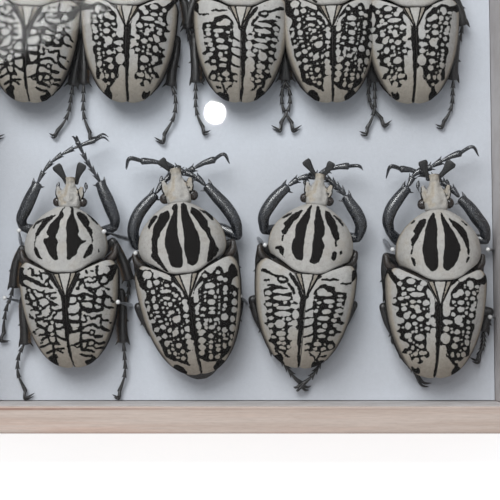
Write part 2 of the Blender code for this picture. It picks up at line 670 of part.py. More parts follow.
def make_tarsus(name, spec, radii, parent, sides=8):
    sections = tarsus_sections(radii)
    line = even_line(spec["tarsus"], 61)
    shares = np.linspace(0, 1, 61)
    rings = []
    tangents = np.gradient(line, axis=0)
    for share, radius in sections:
        centre = np.array([np.interp(share, shares, line[:, k]) for k in range(3)])
        tangent = np.array([np.interp(share, shares, tangents[:, k]) for k in range(3)])
        tangent /= np.linalg.norm(tangent)
        side = np.cross(tangent, (0, 0, 1))
        side /= np.linalg.norm(side)
        over = np.cross(side, tangent)
        angles = 2 * math.pi * (np.arange(sides) + 0.5) / sides
        rings.append([centre + radius * (side * math.cos(a) + 0.85 * over * math.sin(a)) for a in angles])
    tarsus = loft(name, rings, "leg_black", parent)
    end, tip, spread = np.array(spec["tarsus"][-1]), np.array(spec["claw_tip"]), np.array(spec["claw_side"])
    heading = (end - np.array(spec["tarsus"][-2]))
    heading /= np.linalg.norm(heading)
    reach = np.linalg.norm(tip - end)
    claws = []
    for way in (-1, 1):
        base = end - heading * 1.2 + way * 0.3 * spread
        bend = end + heading * 0.55 * reach + way * 0.9 * spread + np.array((0, 0, 0.12 * reach))
        path = (base, bend, tip + way * 1.3 * spread)
        section = ((0, 0.55, 0.55), (0.5, 0.45, 0.45), (0.85, 0.25, 0.25), (1, 0.1, 0.1))
        claws.append(tube("claw", path, section, "leg_black", 6, 7, parent, rounded=False))
    return combine(tarsus, claws, "UNION")


def joint_plane(first, second):
    """The plane that halves the bend between two limb segments: a point and a normal."""
    before = Vector(first[-1]) - Vector(first[-2])
    after = Vector(second[1]) - Vector(second[0])
    return Vector(second[0]), (before.normalized() + after.normalized()).normalized()


def make_leg(word, spec, parent):
    """Femur, tibia and tarsus, and the shape that clears the femur's seat in the trunk."""
    fore = word.startswith("fore")
    side = -1 if word.endswith("left") else 1
    tibia_section = FORE_TIBIA_SECTION if fore else TIBIA_SECTION
    femur = tube(f"femur_{word}", spec["femur"], FEMUR_SECTION, "leg_black", 10, 9, parent)
    wider = [(s, a + GAP, b + GAP) for s, a, b in FEMUR_SECTION]
    clearance = tube("seat", spec["femur"], wider, "leg_black", 10, 9, parent)
    tibia = tube(f"tibia_{word}", spec["tibia"], tibia_section, "leg_black", 10, 10, parent)
    knee, normal = joint_plane(spec["femur"], spec["tibia"])
    slice_off(femur, knee - normal * GAP / 2, normal)
    slice_off(tibia, knee + normal * GAP / 2, -normal)
    end, before = Vector(spec["tibia"][-1]), Vector(spec["tibia"][-2])
    heading = (end - before).normalized()
    slice_off(tibia, end, heading)
    out = heading.cross(Vector((0, 0, 1))).normalized()
    if out.x * side < 0:
        out = -out
    across = tibia_section[-1][1]
    near, far = end + out * (across - 0.7), end - out * (across - 0.7)
    inner = 0.3 if fore else 1.6
    teeth = [(near - heading * 1.2, near + out * 1.2 + heading * 1.9, 0.8),
             (far - heading * 1.0, far - out * 2.2 + heading * inner, 0.6)]
    if not fore:
        middle = Vector(spec["tibia"][1]).lerp(Vector(spec["tibia"][2]), 0.8)
        teeth.append((middle + out * 0.9, middle + out * 2.9 + heading * 1.1, 0.7))
    spikes = [spike("tooth", base, tip, radius, "leg_black", 6, parent) for base, tip, radius in teeth]
    combine(tibia, spikes, "UNION")
    tarsus = make_tarsus(f"tarsus_{word}", spec, FORE_TARSUS_RADII if fore else TARSUS_RADII, parent)
    slice_off(tarsus, end + heading * GAP, -heading)
    return clearance


def make_pin(number, point, head, parent, steps=10):
    """A steel pin with a glass head, and the shape that clears its hole in the lining."""
    point, head = Vector(point), Vector(head)
    length = (head - point).length
    shaft = [(0, 0), (PIN_RADIUS, 2.0), (PIN_RADIUS, length - PIN_HEAD * 0.95)]
    angles = [math.radians(d) for d in (35, 65, 90, 120, 150)]
    knob = [(PIN_HEAD * math.sin(a), length - PIN_HEAD * math.cos(a)) for a in angles]
    profile = [*shaft, *knob, (0, length + PIN_HEAD)]
    hole = [(0, -1.0), (PIN_RADIUS + GAP, -1.0), (PIN_RADIUS + GAP, 12.0), (0, 12.0)]
    turn = Vector((0, 0, 1)).rotation_difference(head - point)
    pins = []
    for name, outline in ((f"pin_{number}", profile), ("pin_hole", hole)):
        mesh = bpy.data.meshes.new(name)
        edges = [(k, k + 1) for k in range(len(outline) - 1)]
        mesh.from_pydata([(r * MM, 0, z * MM) for r, z in reversed(outline)], edges, [])
        thing = bpy.data.objects.new(name, mesh)
        PARTS.objects.link(thing)
        thing.data.materials.append(material("steel"))
        screw = thing.modifiers.new("turn", "SCREW")
        screw.steps = screw.render_steps = steps
        screw.use_merge_vertices = True
        screw.merge_threshold = 1e-6
        thing.parent = parent
        thing.location = point * MM
        thing.rotation_mode = "QUATERNION"
        thing.rotation_quaternion = turn
        pins.append(thing)
    return pins


def make_rail(name, turns):
    """One mitred rail of the frame, with the groove that holds the glass."""
    run, reach = (INNER_X, INNER_Y) if turns % 2 == 0 else (INNER_Y, INNER_X)
    low = BACK_THICKNESS + GAP
    depth = GROOVE_DEPTH + GAP
    profile = [(0, low), (RAIL_WIDTH, low), (RAIL_WIDTH, RAIL_TOP), (0, RAIL_TOP),
               (0, GROOVE_HIGH), (depth, GROOVE_HIGH), (depth, GROOVE_LOW), (0, GROOVE_LOW)]
    mitre_gap = GAP / math.sqrt(2)
    ends = []
    for way in (-1, 1):
        ends.append([(way * (run / 2 + u - mitre_gap), -reach / 2 - u, z) for u, z in profile])
    rail = loft(name, ends, "pale_wood")
    rail.rotation_euler.z = turns * math.pi / 2
    return rail


def make_block(name, size, low, look):
    bpy.ops.mesh.primitive_cube_add(size=1)
    block = bpy.context.object
    block.name = name
    lift = Matrix.Translation((0, 0, (low + size[2] / 2) * MM))
    block.data.transform(lift @ Matrix.Diagonal((*(s * MM for s in size), 1)))
    block.data.materials.append(material(look))
    for holder in list(block.users_collection):
        holder.objects.unlink(block)
    PARTS.objects.link(block)
    return block


def make_case():
    outer = (INNER_X + 2 * RAIL_WIDTH, INNER_Y + 2 * RAIL_WIDTH)
    make_block("back_board", (*outer, BACK_THICKNESS), 0, "board")
    sheet = (INNER_X - 2 * GAP, INNER_Y - 2 * GAP, LINING_THICKNESS)
    lining = make_block("lining", sheet, BACK_THICKNESS + GAP, "lining")
    for turns, word in enumerate(("near", "right", "far", "left")):
        make_rail(f"rail_{word}", turns)
    pane = (INNER_X + 2 * GROOVE_DEPTH, INNER_Y + 2 * GROOVE_DEPTH)
    make_block("glass_pane", (*pane, GLASS_THICKNESS), GROOVE_LOW + GAP, "glass")
    return lining


def make_frame(name, parent, matrix):
    frame = bpy.data.objects.new(name, None)
    PARTS.objects.link(frame)
    frame.parent = parent
    frame.matrix_local = matrix
    return frame


def about(point, turn):
    """A turn about a point other than the origin."""
    return Matrix.Translation(Vector(point) * MM) @ turn @ Matrix.Translation(-Vector(point) * MM)


def make_beetle():
    place = Matrix.Translation(Vector((BEETLE_X, BEETLE_Y, LINING_TOP)) * MM)
    body = make_frame("body_frame", None, place @ Matrix.Rotation(BEETLE_TURN, 4, "Z"))
    fore = make_frame("fore_frame", body, Matrix.Rotation(FORE_TURN, 4, "Z"))
    shift = Matrix.Translation((PROTHORAX_SHIFT * MM, 0, 0))
    roll = about((0, 0, ROLL_HEIGHT), Matrix.Rotation(PROTHORAX_ROLL, 4, "Y"))
    shield = make_frame("shield_frame", fore, shift @ roll)
    turn = about(NECK, Matrix.Rotation(HEAD_TURN, 4, "Z"))
    neck = make_frame("head_frame", fore, Matrix.Translation((HEAD_SHIFT * MM, 0, 0)) @ turn)
    for side, word in ((-1, "left"), (1, "right")):
        make_elytron(f"elytron_{word}", side, body)
    make_scutellum(body)
    prothorax = make_prothorax(shield)
    thorax = make_trunk(body)[0]
    make_head(neck)
    make_horn(neck)
    seats = {}
    for word, spec in LEGS.items():
        seats[word] = make_leg(word, spec, fore if word.startswith("fore") else body)
    combine(prothorax, [seats["fore_left"], seats["fore_right"]], "DIFFERENCE")
    combine(thorax, [seats[word] for word in LEGS if not word.startswith("fore")], "DIFFERENCE")
    return body


def main():
    lining = make_case()
    frame = make_beetle()
    holes = []
    for number, (point, head) in enumerate(PINS, 1):
        holes.append(make_pin(number, point, head, frame)[1])
    for hole in holes:
        bake_modifiers(hole)
    combine(lining, holes, "DIFFERENCE")


clear_scene()
PARTS = bpy.data.collections.new("goliath_beetle")
bpy.context.scene.collection.children.link(PARTS)
main()
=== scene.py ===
"""The looks of a pinned goliath beetle in its glazed wooden case, with eight more beetles in two rows.

Lengths here are millimetres, and become metres where a mesh or a light is made. The frame gives the
case and the first beetle. Each beetle is modelled in its own frame: origin at the front of the
scutellum on the lining, +X to its right, +Y forwards, +Z up. The black marks of the beetles that show
best are drawn on squares as the camera sees them: a mark's points are places in that view.
"""

import json
import math

import bpy
import numpy as np
from mathutils import Matrix, Vector

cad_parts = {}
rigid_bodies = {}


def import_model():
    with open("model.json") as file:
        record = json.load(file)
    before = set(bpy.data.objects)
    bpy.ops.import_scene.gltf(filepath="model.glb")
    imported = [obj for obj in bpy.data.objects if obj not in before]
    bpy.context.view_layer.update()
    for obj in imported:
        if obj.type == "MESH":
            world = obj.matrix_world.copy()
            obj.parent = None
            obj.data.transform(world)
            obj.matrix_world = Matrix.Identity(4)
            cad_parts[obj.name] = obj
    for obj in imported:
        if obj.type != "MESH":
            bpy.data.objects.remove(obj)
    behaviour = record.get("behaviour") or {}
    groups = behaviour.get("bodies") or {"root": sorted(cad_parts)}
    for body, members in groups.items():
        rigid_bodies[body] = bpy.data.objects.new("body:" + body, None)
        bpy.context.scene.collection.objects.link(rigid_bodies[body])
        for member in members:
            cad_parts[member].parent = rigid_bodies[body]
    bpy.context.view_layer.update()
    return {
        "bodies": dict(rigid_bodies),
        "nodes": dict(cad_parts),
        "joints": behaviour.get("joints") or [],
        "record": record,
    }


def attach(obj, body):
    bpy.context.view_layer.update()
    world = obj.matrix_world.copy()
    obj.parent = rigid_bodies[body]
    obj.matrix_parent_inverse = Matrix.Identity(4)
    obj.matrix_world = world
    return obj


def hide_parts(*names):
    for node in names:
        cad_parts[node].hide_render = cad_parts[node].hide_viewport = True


MM = 0.001
UPWARDS = np.array((0.0, 0.0, 1.0))

# The view: the camera looks almost straight down through the glass
VIEW_SIDE = 500
FOCAL_PIXELS = 1190.5
CAMERA_TARGET = np.array((7.85, -52.4, 25.3))
CAMERA_DISTANCE = 500.0
CAMERA_TILT = math.radians(4.0)

# The case, as the frame has it
INNER_X = 225.0
INNER_Y = 232.0
RAIL_WIDTH = 10.5
BACK_THICKNESS = 3.0
GAP = 0.3
LINING_TOP = 13.3
GROOVE_LOW = 49.3
GROOVE_HIGH = 51.9
GROOVE_DEPTH = 3.0
RAIL_TOP = 54.5
RAIL_ROUND = 0.8

# The first beetle's place and how its forebody sits
BEETLE_X = -67.6
BEETLE_Y = -62.4
BEETLE_TURN = math.radians(3.0)
FORE_TURN = math.radians(-2.5)
PROTHORAX_SHIFT = -1.2
PROTHORAX_ROLL = math.radians(3.0)
ROLL_HEIGHT = 15.0
HEAD_TURN = math.radians(-1.5)
HEAD_SHIFT = 0.2
NECK = (0.0, 27.0, 0.0)

# The hind body
BODY_WIDTH = 21.0
BODY_REAR = -39.4
SHOULDER_FRONT = 4.6
LEFT_SHOULDER_FORWARD = 0.9
LEFT_SHOULDER_UP = 0.35
SHELL = 0.9
CORE_INSET = 1.6
THORAX_FRONT = 6.6
THORAX_REAR = -14.0
PYGIDIUM_FRONT = -34.6
CORE_REAR = -38.2
MIDLINE_HEIGHTS = (
    (6.6, 26.2), (0, 27.0), (-8, 27.8), (-16, 27.5), (-24, 25.4), (-31, 21.4), (-36, 16.9), (-39.4, 12.6),
)
MARGIN_HEIGHTS = ((6.6, 15.0), (-6, 13.6), (-20, 12.2), (-32, 11.7), (-39.4, 11.7))
BELLY_HEIGHTS = (
    (6.6, 6.6), (0, 5.2), (-14, 5.0), (-22, 5.6), (-30, 7.2), (-35, 9.0), (-39.4, 10.6),
)
SCUTELLUM_HALF = 4.9
SCUTELLUM_FRONT = -0.4
SCUTELLUM_TIP = -10.6

# The prothorax
PRONOTUM_SIDE = (
    (6.0, 26.6), (9.3, 24.6), (12.9, 21.4), (15.7, 17.6), (17.05, 13.4), (17.05, 9.6), (15.8, 6.6),
)
PRONOTUM_REAR = ((0, -0.1), (4.0, 0.05), (6.2, 0.8), (10.2, 3.3), (13.6, 5.3), (15.8, 6.6))
PRONOTUM_NOSE = 27.6
PRONOTUM_MIDLINE = ((0, 19.8), (0.15, 22.8), (0.35, 25.6), (0.6, 27.3), (0.8, 27.7), (1, 27.6))
PRONOTUM_MARGIN = ((0, 15.5), (0.5, 14.0), (1, 14.5))
PROSTERNUM_DEPTH = ((0, 6.0), (0.3, 8.2), (0.7, 8.6))
PROTHORAX_WALL = 0.74
PLATE = 1.2

# The head: distance forwards, half width, top, underside
HEAD_SECTIONS = (
    (27.95, 4.5, 19.2, 9.6), (29.6, 4.7, 19.5, 9.0), (31.6, 4.5, 19.0, 9.0), (33.6, 4.0, 18.0, 9.6),
    (35.3, 3.2, 17.0, 10.6), (36.5, 2.35, 16.3, 11.8), (37.7, 1.95, 15.9, 13.4), (40.2, 2.15, 16.0, 14.2),
)
EYE_PLACE = (5.3, 30.0, 14.2)
EYE_RADIUS = 1.95
LOBE_PATH = ((2.9, 30.4, 15.2), (4.2, 33.0, 15.7), (5.0, 35.9, 16.3))
LOBE_SECTION = ((0, 2.0, 0.9), (0.6, 1.75, 0.6), (1, 0.8, 0.4))
ANTENNA_PATH = ((3.9, 33.4, 11.6), (5.3, 34.3, 10.8), (6.0, 36.2, 10.2), (5.7, 38.6, 9.8))
ANTENNA_SECTION = ((0, 0.42, 0.42), (0.55, 0.4, 0.4), (0.7, 0.8, 0.55), (0.9, 0.75, 0.5), (1, 0.4, 0.35))

# The horn: the bar under the front of the head, and a prong at each side
HORN_BAR = ((-2.3, 39.2, 12.5), (0, 39.2, 12.4), (2.3, 39.2, 12.5))
HORN_BAR_SECTION = ((0, 0.9, 0.9), (1, 0.9, 0.9))
PRONG_PATHS = (
    ((-1.9, 38.0, 12.6), (-2.7, 40.0, 13.8), (-4.2, 42.4, 15.3), (-6.0, 45.0, 16.7)),
    ((2.2, 38.0, 12.6), (2.7, 40.2, 13.8), (3.7, 42.8, 15.3), (5.2, 45.8, 16.7)),
)
PRONG_SECTION = ((0, 0.85, 0.8), (0.35, 1.1, 0.8), (0.68, 1.7, 0.75), (0.88, 2.05, 0.65), (1, 1.75, 0.5))

# Leg sections along the length: share of length, half width across, half thickness
FEMUR_SECTION = ((0, 1.5, 1.4), (0.25, 2.2, 1.8), (0.6, 2.5, 1.9), (1, 1.9, 1.6))
FORE_TIBIA_SECTION = ((0, 1.8, 1.5), (0.2, 2.3, 1.8), (0.6, 2.6, 1.9), (0.9, 2.2, 1.7), (1, 2.0, 1.5))
TIBIA_SECTION = ((0, 1.6, 1.3), (0.3, 1.8, 1.4), (0.8, 2.1, 1.6), (1, 2.2, 1.6))
FORE_TARSUS_RADII = (0.62, 1.12)
TARSUS_RADII = (0.5, 0.88)
TARSUS_JOINTS = (0.0, 0.17, 0.34, 0.51, 0.68, 1.0)

# The first beetle's legs: the run of each segment, and the tips of the claws
LEGS = {
    "fore_left": {
        "femur": ((-5.0, 15.6, 6.2), (-13.0, 17.8, 6.8), (-20.4, 20.2, 9.2)),
        "tibia": ((-20.5, 20.3, 9.2), (-20.7, 23.4, 10.8), (-18.9, 27.4, 11.6), (-16.9, 31.6, 12.2),
                  (-15.0, 35.4, 12.6), (-13.8, 38.0, 12.4)),
        "tarsus": ((-13.6, 38.5, 12.3), (-11.3, 43.2, 12.0), (-7.2, 48.0, 11.5), (-2.0, 51.6, 11.0),
                   (2.5, 53.8, 10.6), (7.0, 55.6, 10.3), (10.6, 56.8, 10.0)),
        "claw_tip": (15.9, 57.4, 7.8), "claw_side": (-0.1, 0.75, 0.0),
    },
    "fore_right": {
        "femur": ((5.0, 15.6, 6.2), (12.0, 17.4, 6.8), (18.2, 19.8, 9.2)),
        "tibia": ((18.3, 20.0, 9.2), (18.6, 22.6, 10.6), (17.4, 26.4, 11.4), (15.9, 30.4, 12.0),
                  (14.0, 34.8, 12.4), (12.7, 38.3, 12.4)),
        "tarsus": ((12.5, 38.8, 12.4), (9.9, 43.0, 13.2), (7.2, 47.4, 14.6), (5.4, 51.4, 15.9),
                   (4.5, 53.4, 17.0), (3.8, 55.0, 18.6)),
        "claw_tip": (3.0, 56.5, 21.6), "claw_side": (0.75, 0.1, 0.0),
    },
    "mid_left": {
        "femur": ((-4.6, 3.0, 5.4), (-13.0, 7.8, 6.2), (-20.5, 11.6, 8.6)),
        "tibia": ((-20.6, 11.4, 8.6), (-23.0, 6.2, 8.0), (-24.2, 1.4, 7.0), (-24.9, -3.8, 6.0)),
        "tarsus": ((-25.3, -4.2, 5.7), (-26.9, -8.7, 4.6), (-28.7, -12.2, 4.0), (-29.7, -15.9, 3.4),
                   (-30.6, -20.1, 2.6), (-30.7, -24.0, 2.2)),
        "claw_tip": (-28.6, -27.0, 0.9), "claw_side": (0.45, 0.2, 0.4),
    },
    "mid_right": {
        "femur": ((4.6, 3.0, 5.4), (12.4, 8.6, 6.2), (18.4, 12.8, 8.8)),
        "tibia": ((18.5, 12.6, 8.8), (21.2, 6.4, 8.0), (22.9, 1.4, 7.2), (23.9, -3.2, 6.4)),
        "tarsus": ((23.9, -3.7, 6.0), (23.2, -8.4, 3.0), (21.8, -13.0, 2.0), (20.7, -18.0, 1.6),
                   (20.1, -22.4, 1.6)),
        "claw_tip": (19.4, -26.2, 0.9), "claw_side": (-0.4, 0.0, 0.45),
    },
    "hind_left": {
        "femur": ((-5.0, -10.6, 5.0), (-13.0, -10.4, 5.2), (-20.9, -9.4, 6.8)),
        "tibia": ((-21.0, -9.6, 6.8), (-21.3, -15.6, 6.4), (-21.0, -21.6, 6.0), (-21.3, -28.0, 5.2)),
        "tarsus": ((-21.7, -28.4, 4.9), (-24.1, -32.7, 4.4), (-25.1, -37.0, 3.8), (-25.0, -41.6, 3.2),
                   (-23.6, -45.4, 2.6), (-22.2, -48.8, 2.1)),
        "claw_tip": (-18.9, -49.9, 0.9), "claw_side": (0.2, 0.5, 0.4),
    },
    "hind_right": {
        "femur": ((5.0, -10.6, 5.0), (13.0, -10.2, 5.2), (20.6, -8.8, 6.8)),
        "tibia": ((20.7, -9.0, 6.8), (20.7, -16.0, 6.4), (20.2, -23.4, 6.0), (20.3, -29.4, 5.2)),
        "tarsus": ((20.4, -29.9, 4.9), (20.4, -35.6, 4.2), (20.4, -41.0, 3.6), (19.6, -45.2, 3.0),
                   (18.1, -48.8, 2.5), (17.0, -51.0, 2.1)),
        "claw_tip": (14.4, -52.3, 0.9), "claw_side": (-0.2, 0.5, 0.4),
    },
}
PINS = (((-23.4, 14.0, -6.0), (-19.6, 18.7, 18.0)), ((27.6, 13.2, -6.0), (16.6, 15.8, 25.5)),
        ((-21.2, -10.9, -6.0), (-27.6, -8.7, 13.0)), ((24.9, -14.6, -6.0), (20.6, -13.2, 22.0)))
PIN_RADIUS = 0.3
PIN_HEAD = 0.95
PIN_POINT = 1.6
PIN_DEPTH = 5.0

# How round the back, the belly, the shield and the breast are across: two powers each
BACK_ROUND = (2.3, 1 / 1.9)
BELLY_ROUND = (1.9, 1 / 1.7)
SHIELD_ROUND = (2.2, 1 / 1.8)
BREAST_ROUND = (2, 0.6)

# How the trunk narrows and falls in front of the wing cases: by how much, and with what power
FRONT_NARROWING = (7.4, 1.3)
FRONT_FALL = (8.5, 1.2)

# The swellings of a wing case: height, middle and reach
WING_SWELLINGS = ((0.75, (16.6, -1.5), (2.6, 4.2)), (0.6, (8.8, -32.6), (3.2, 3.0)))
RIB_HEIGHT = 0.09
RIB_COUNT = 4.2

CURVE_STEPS = 24
BOUNDARY_STEPS = 400
LUMP_PRIMES = (73856093, 19349663, 83492791)


# Curves and shapes that the beetle is drawn from


def through(stations, where):
    """The smooth curve through (place, value...) stations, at the places asked for."""
    table = np.array(stations, float)
    table = table[np.argsort(table[:, 0], kind="stable")]
    places, values = table[:, 0], table[:, 1:]
    slopes = np.gradient(values, places, axis=0)
    shape = np.shape(where)
    where = np.clip(np.ravel(np.asarray(where, float)), places[0], places[-1])
    left = np.clip(np.searchsorted(places, where, "right") - 1, 0, len(places) - 2)
    step = (places[left + 1] - places[left])[:, None]
    share = ((where - places[left])[:, None]) / step
    hermite = (
        (2 * share**3 - 3 * share**2 + 1) * values[left]
        + (share**3 - 2 * share**2 + share) * step * slopes[left]
        + (3 * share**2 - 2 * share**3) * values[left + 1]
        + (share**3 - share**2) * step * slopes[left + 1]
    )
    return hermite.reshape((*shape, values.shape[1]))


def value_at(stations, where):
    """The value of a (place, value) curve, for one place or many."""
    return through(stations, where)[..., 0]


def smooth_step(low, high, value):
    share = np.clip((np.asarray(value, float) - low) / (high - low), 0, 1)
    return share * share * (3 - 2 * share)


def unit(vectors):
    return vectors / np.maximum(np.linalg.norm(vectors, axis=-1, keepdims=True), 1e-9)


def read_off(places, stations, rows):
    """Rows of values that belong to stations, read off in straight runs at other places."""
    return np.stack([np.interp(places, stations, column) for column in np.transpose(rows)], axis=-1)


def run_lengths(points):
    """How far along a line each of its points is."""
    return np.concatenate([[0], np.cumsum(np.linalg.norm(np.diff(points, axis=0), axis=1))])


def even_line(points, count):
    """count points, evenly spaced along the smooth curve through the given ones."""
    points = np.array(points, float)
    along = run_lengths(points)
    dense = through(np.column_stack([along, points]), np.linspace(0, along[-1], CURVE_STEPS * len(points)))
    length = run_lengths(dense)
    return read_off(np.linspace(0, length[-1], count), length, dense)


def rough(points, size, seed=0):
    """Smooth random numbers from -1 to 1 over space, with lumps of about the given size."""
    at = np.asarray(points, float) / size + 13.7 * (seed + 1)
    cell = np.floor(at).astype(np.int64)
    part = at - cell
    part = part * part * (3 - 2 * part)
    total = 0.0
    for corner in np.ndindex(*(2,) * at.shape[-1]):
        key = seed * 7919
        weight = 1.0
        for axis, step in enumerate(corner):
            key = key * 31 + (cell[..., axis] + step) * LUMP_PRIMES[axis]
            weight = weight * (part[..., axis] if step else 1 - part[..., axis])
        key = (key ^ (key >> 13)) * 1274126177 & 0x7FFFFFFF
        key = (key ^ (key >> 16)) & 0xFFFF
        total = total + weight * (key / 32767.5 - 1)
    return total


def half_width(y):
    """Half the width of the hind body at a station."""
    rear = (1 - np.minimum(np.abs(np.minimum(y, 0.0)) / -BODY_REAR, 0.9999) ** 2) ** 0.42
    shoulder = 1 - 0.115 * (np.maximum(y + 1.5, 0.0) / (SHOULDER_FRONT + 1.5)) ** 3.5
    return BODY_WIDTH * rear * shoulder


def arched(share, powers):
    """The height of an arch, 1 in its middle and 0 at its foot, by the share of the way to the foot."""
    return (1 - share ** powers[0]) ** powers[1]


def dorsal_height(x, y):
    margin = value_at(MARGIN_HEIGHTS, y)
    share = np.minimum(np.abs(x) / half_width(y), 1.0)
    return margin + (value_at(MIDLINE_HEIGHTS, y) - margin) * arched(share, BACK_ROUND)


def mound(x, y, middle, reach):
    """A round swelling of height 1 at middle, fading over reach."""
    return np.exp(-(((x - middle[0]) / reach[0]) ** 2) - ((y - middle[1]) / reach[1]) ** 2)


def wing_height(x, y):
    """The back of the wing cases: the general form with its shoulder and rear swellings, ribs and seam."""
    across = np.abs(x)
    raised = sum(height * mound(across, y, middle, reach) for height, middle, reach in WING_SWELLINGS)
    share = across / half_width(y)
    fade = smooth_step(2, -4, y) * smooth_step(-36, -28, y)
    ribs = RIB_HEIGHT * fade * (np.cos(share * 2 * math.pi * RIB_COUNT + 0.5)) * smooth_step(0.1, 0.3, share)
    seam = -0.45 * np.exp(-((across / 0.55) ** 2)) * smooth_step(-8, -12, y)
    return dorsal_height(x, y) + raised + ribs + seam


def steepness(curve, y, step=0.2):
    return math.hypot(1, float(curve(y + step) - curve(y - step)) / (2 * step))


def core_ring(y, sides):
    """The closed outline of the trunk under the wing cases, at one station."""
    lift = min(max(y / THORAX_FRONT, 0.0), 1.0)
    narrowing, narrowing_power = FRONT_NARROWING
    fall, fall_power = FRONT_FALL
    width = half_width(min(y, 0.0)) - CORE_INSET * steepness(half_width, min(y, -0.5))
    width -= narrowing * lift**narrowing_power
    top = value_at(MIDLINE_HEIGHTS, min(y, 0.0))
    slant = steepness(lambda v: value_at(MIDLINE_HEIGHTS, v), min(y, -0.5))
    top -= CORE_INSET * slant + fall * lift**fall_power
    top -= 0.35 * max(0.0, 1 - abs(y) / 4)
    margin = value_at(MARGIN_HEIGHTS, y) - GAP
    top = max(top, margin + 0.4)
    belly = min(value_at(BELLY_HEIGHTS, y), margin - 0.4)
    angles = 2 * math.pi * np.arange(sides) / sides
    share = np.abs(np.cos(angles))
    upper = margin + (top - margin) * arched(share, BACK_ROUND)
    lower = margin - (margin - belly) * arched(share, BELLY_ROUND)
    heights = np.where(np.sin(angles) >= 0, upper, lower)
    return np.column_stack([width * np.cos(angles), np.full(sides, y), heights])


def curve_of(points):
    """A boundary curve as a function of the share of its length."""
    line = even_line(points, BOUNDARY_STEPS)
    shares = np.linspace(0, 1, BOUNDARY_STEPS)
    return lambda share: read_off(share, shares, line)


def coons(front, rear, inner, outer, across, along):
    """A grid of plan points inside four boundary curves, each a function of a share from 0 to 1."""
    s, t = across[None, :, None], along[:, None, None]
    ends = [curve(share) for share in (0.0, 1.0) for curve in (inner, outer)]
    between = (1 - s) * inner(along)[:, None] + s * outer(along)[:, None]
    lengthwise = (1 - t) * front(across)[None] + t * rear(across)[None]
    corner = (1 - t) * ((1 - s) * ends[0] + s * ends[1]) + t * ((1 - s) * ends[2] + s * ends[3])
    return between + lengthwise - corner


# Meshes


def grid_faces(rows, columns, closed=False):
    """The quads of a grid of points, whose last column meets its first if it is closed."""
    row = np.arange(rows - 1)[:, None] * columns
    left = np.arange(columns if closed else columns - 1)[None, :]
    right = (left + 1) % columns
    return np.stack([row + left, row + right, row + columns + right, row + columns + left], -1).reshape(-1, 4)


def volume_of(points, faces):
    a, b, c, d = (points[faces[:, k]] for k in range(4))
    return float((a * np.cross(b, c)).sum() + (a * np.cross(c, d)).sum())


def outward(points, faces):
    """The faces of a closed surface, turned to look out of it."""
    return faces if volume_of(points - points.mean(axis=0), faces) > 0 else faces[:, ::-1]


def tube_surface(rings, domes=(1.0, 1.0)):
    """A closed surface through rings of equal count, with domed ends."""
    rings = np.asarray(rings, float)
    middles = rings.mean(axis=1)
    ends = []
    for end, inner, reach in ((0, 1, domes[0]), (-1, -2, domes[1])):
        out = unit(middles[end] - middles[inner])
        radius = np.linalg.norm(rings[end] - middles[end], axis=1).min() * reach
        caps = []
        for angle in (0.5, 1.05):
            lift = out * radius * math.sin(angle)
            caps.append(middles[end] + lift + (rings[end] - middles[end]) * math.cos(angle))
        ends.append((caps, middles[end] + out * radius))
    rings = np.array([*ends[0][0][::-1], *rings, *ends[1][0]])
    count, sides = rings.shape[:2]
    points = np.concatenate([rings.reshape(-1, 3), [ends[0][1]], [ends[1][1]]])
    faces = grid_faces(count, sides, closed=True)
    around = np.arange(sides)
    after = (around + 1) % sides
    first = np.stack([np.full(sides, len(points) - 2), after, around, around], -1)
    last = (count - 1) * sides
    final = np.stack([np.full(sides, len(points) - 1), last + around, last + after, last + after], -1)
    faces = np.concatenate([faces, first, final])
    return points, outward(points, faces)


def rings_along(path, sections, sides, count, up=(0, 0, 1)):
    """Elliptical rings on a smooth path, with half widths read from sections by share of length."""
    line = even_line(path, count)
    tangents = unit(np.gradient(line, axis=0))
    sizes = through(sections, np.linspace(0, 1, count))
    side = unit(np.cross(tangents, up))
    over = np.cross(side, tangents)
    angles = 2 * math.pi * (np.arange(sides) + 0.5) / sides
    return (
        line[:, None]
        + side[:, None] * (sizes[:, 0, None] * np.cos(angles))[..., None]
        + over[:, None] * (sizes[:, 1, None] * np.sin(angles))[..., None]
    )


def tube(path, sections, sides=12, count=10, domes=(1.0, 1.0)):
    return tube_surface(rings_along(path, sections, sides, count), domes)


def spine(base, tip, radius, sides=6):
    """A tapered spine or tooth from base to tip."""
    base, tip = np.array(base, float), np.array(tip, float)
    sections = ((0, radius, radius), (0.6, 0.6 * radius, 0.6 * radius), (1, 0.12 * radius, 0.12 * radius))
    return tube([base, (base + tip) / 2, tip], sections, sides, 5, (0.6, 0.6))


def ball(centre, radii, segments=24, rings=14):
    angles = np.linspace(0.12, math.pi - 0.12, rings)
    around = 2 * math.pi * np.arange(segments) / segments
    shape = np.stack([
        np.sin(angles)[:, None] * np.cos(around),
        np.sin(angles)[:, None] * np.sin(around),
        np.repeat(np.cos(angles)[:, None], segments, axis=1),
    ], -1)
    return tube_surface(shape * np.array(radii) + np.array(centre), (0.5, 0.5))


def grid_normals(grid):
    down, across = np.gradient(grid, axis=0), np.gradient(grid, axis=1)
    normals = unit(np.cross(across, down))
    return normals if normals[..., 2].mean() > 0 else -normals


def sheet_surface(top, bottom):
    """A closed surface between two grids. The first half of its points is the upper side."""
    rows, columns = top.shape[:2]
    count = rows * columns
    upper = grid_faces(rows, columns)
    index = np.arange(count).reshape(rows, columns)
    rim = np.concatenate([index[0, :-1], index[:-1, -1], index[-1, :0:-1], index[:0:-1, 0]])
    after = np.roll(rim, -1)
    walls = np.stack([rim, rim + count, after + count, after], -1)
    points = np.concatenate([top.reshape(-1, 3), bottom.reshape(-1, 3)])
    faces = np.concatenate([upper, upper[:, ::-1] + count, walls])
    return points, outward(points, faces)


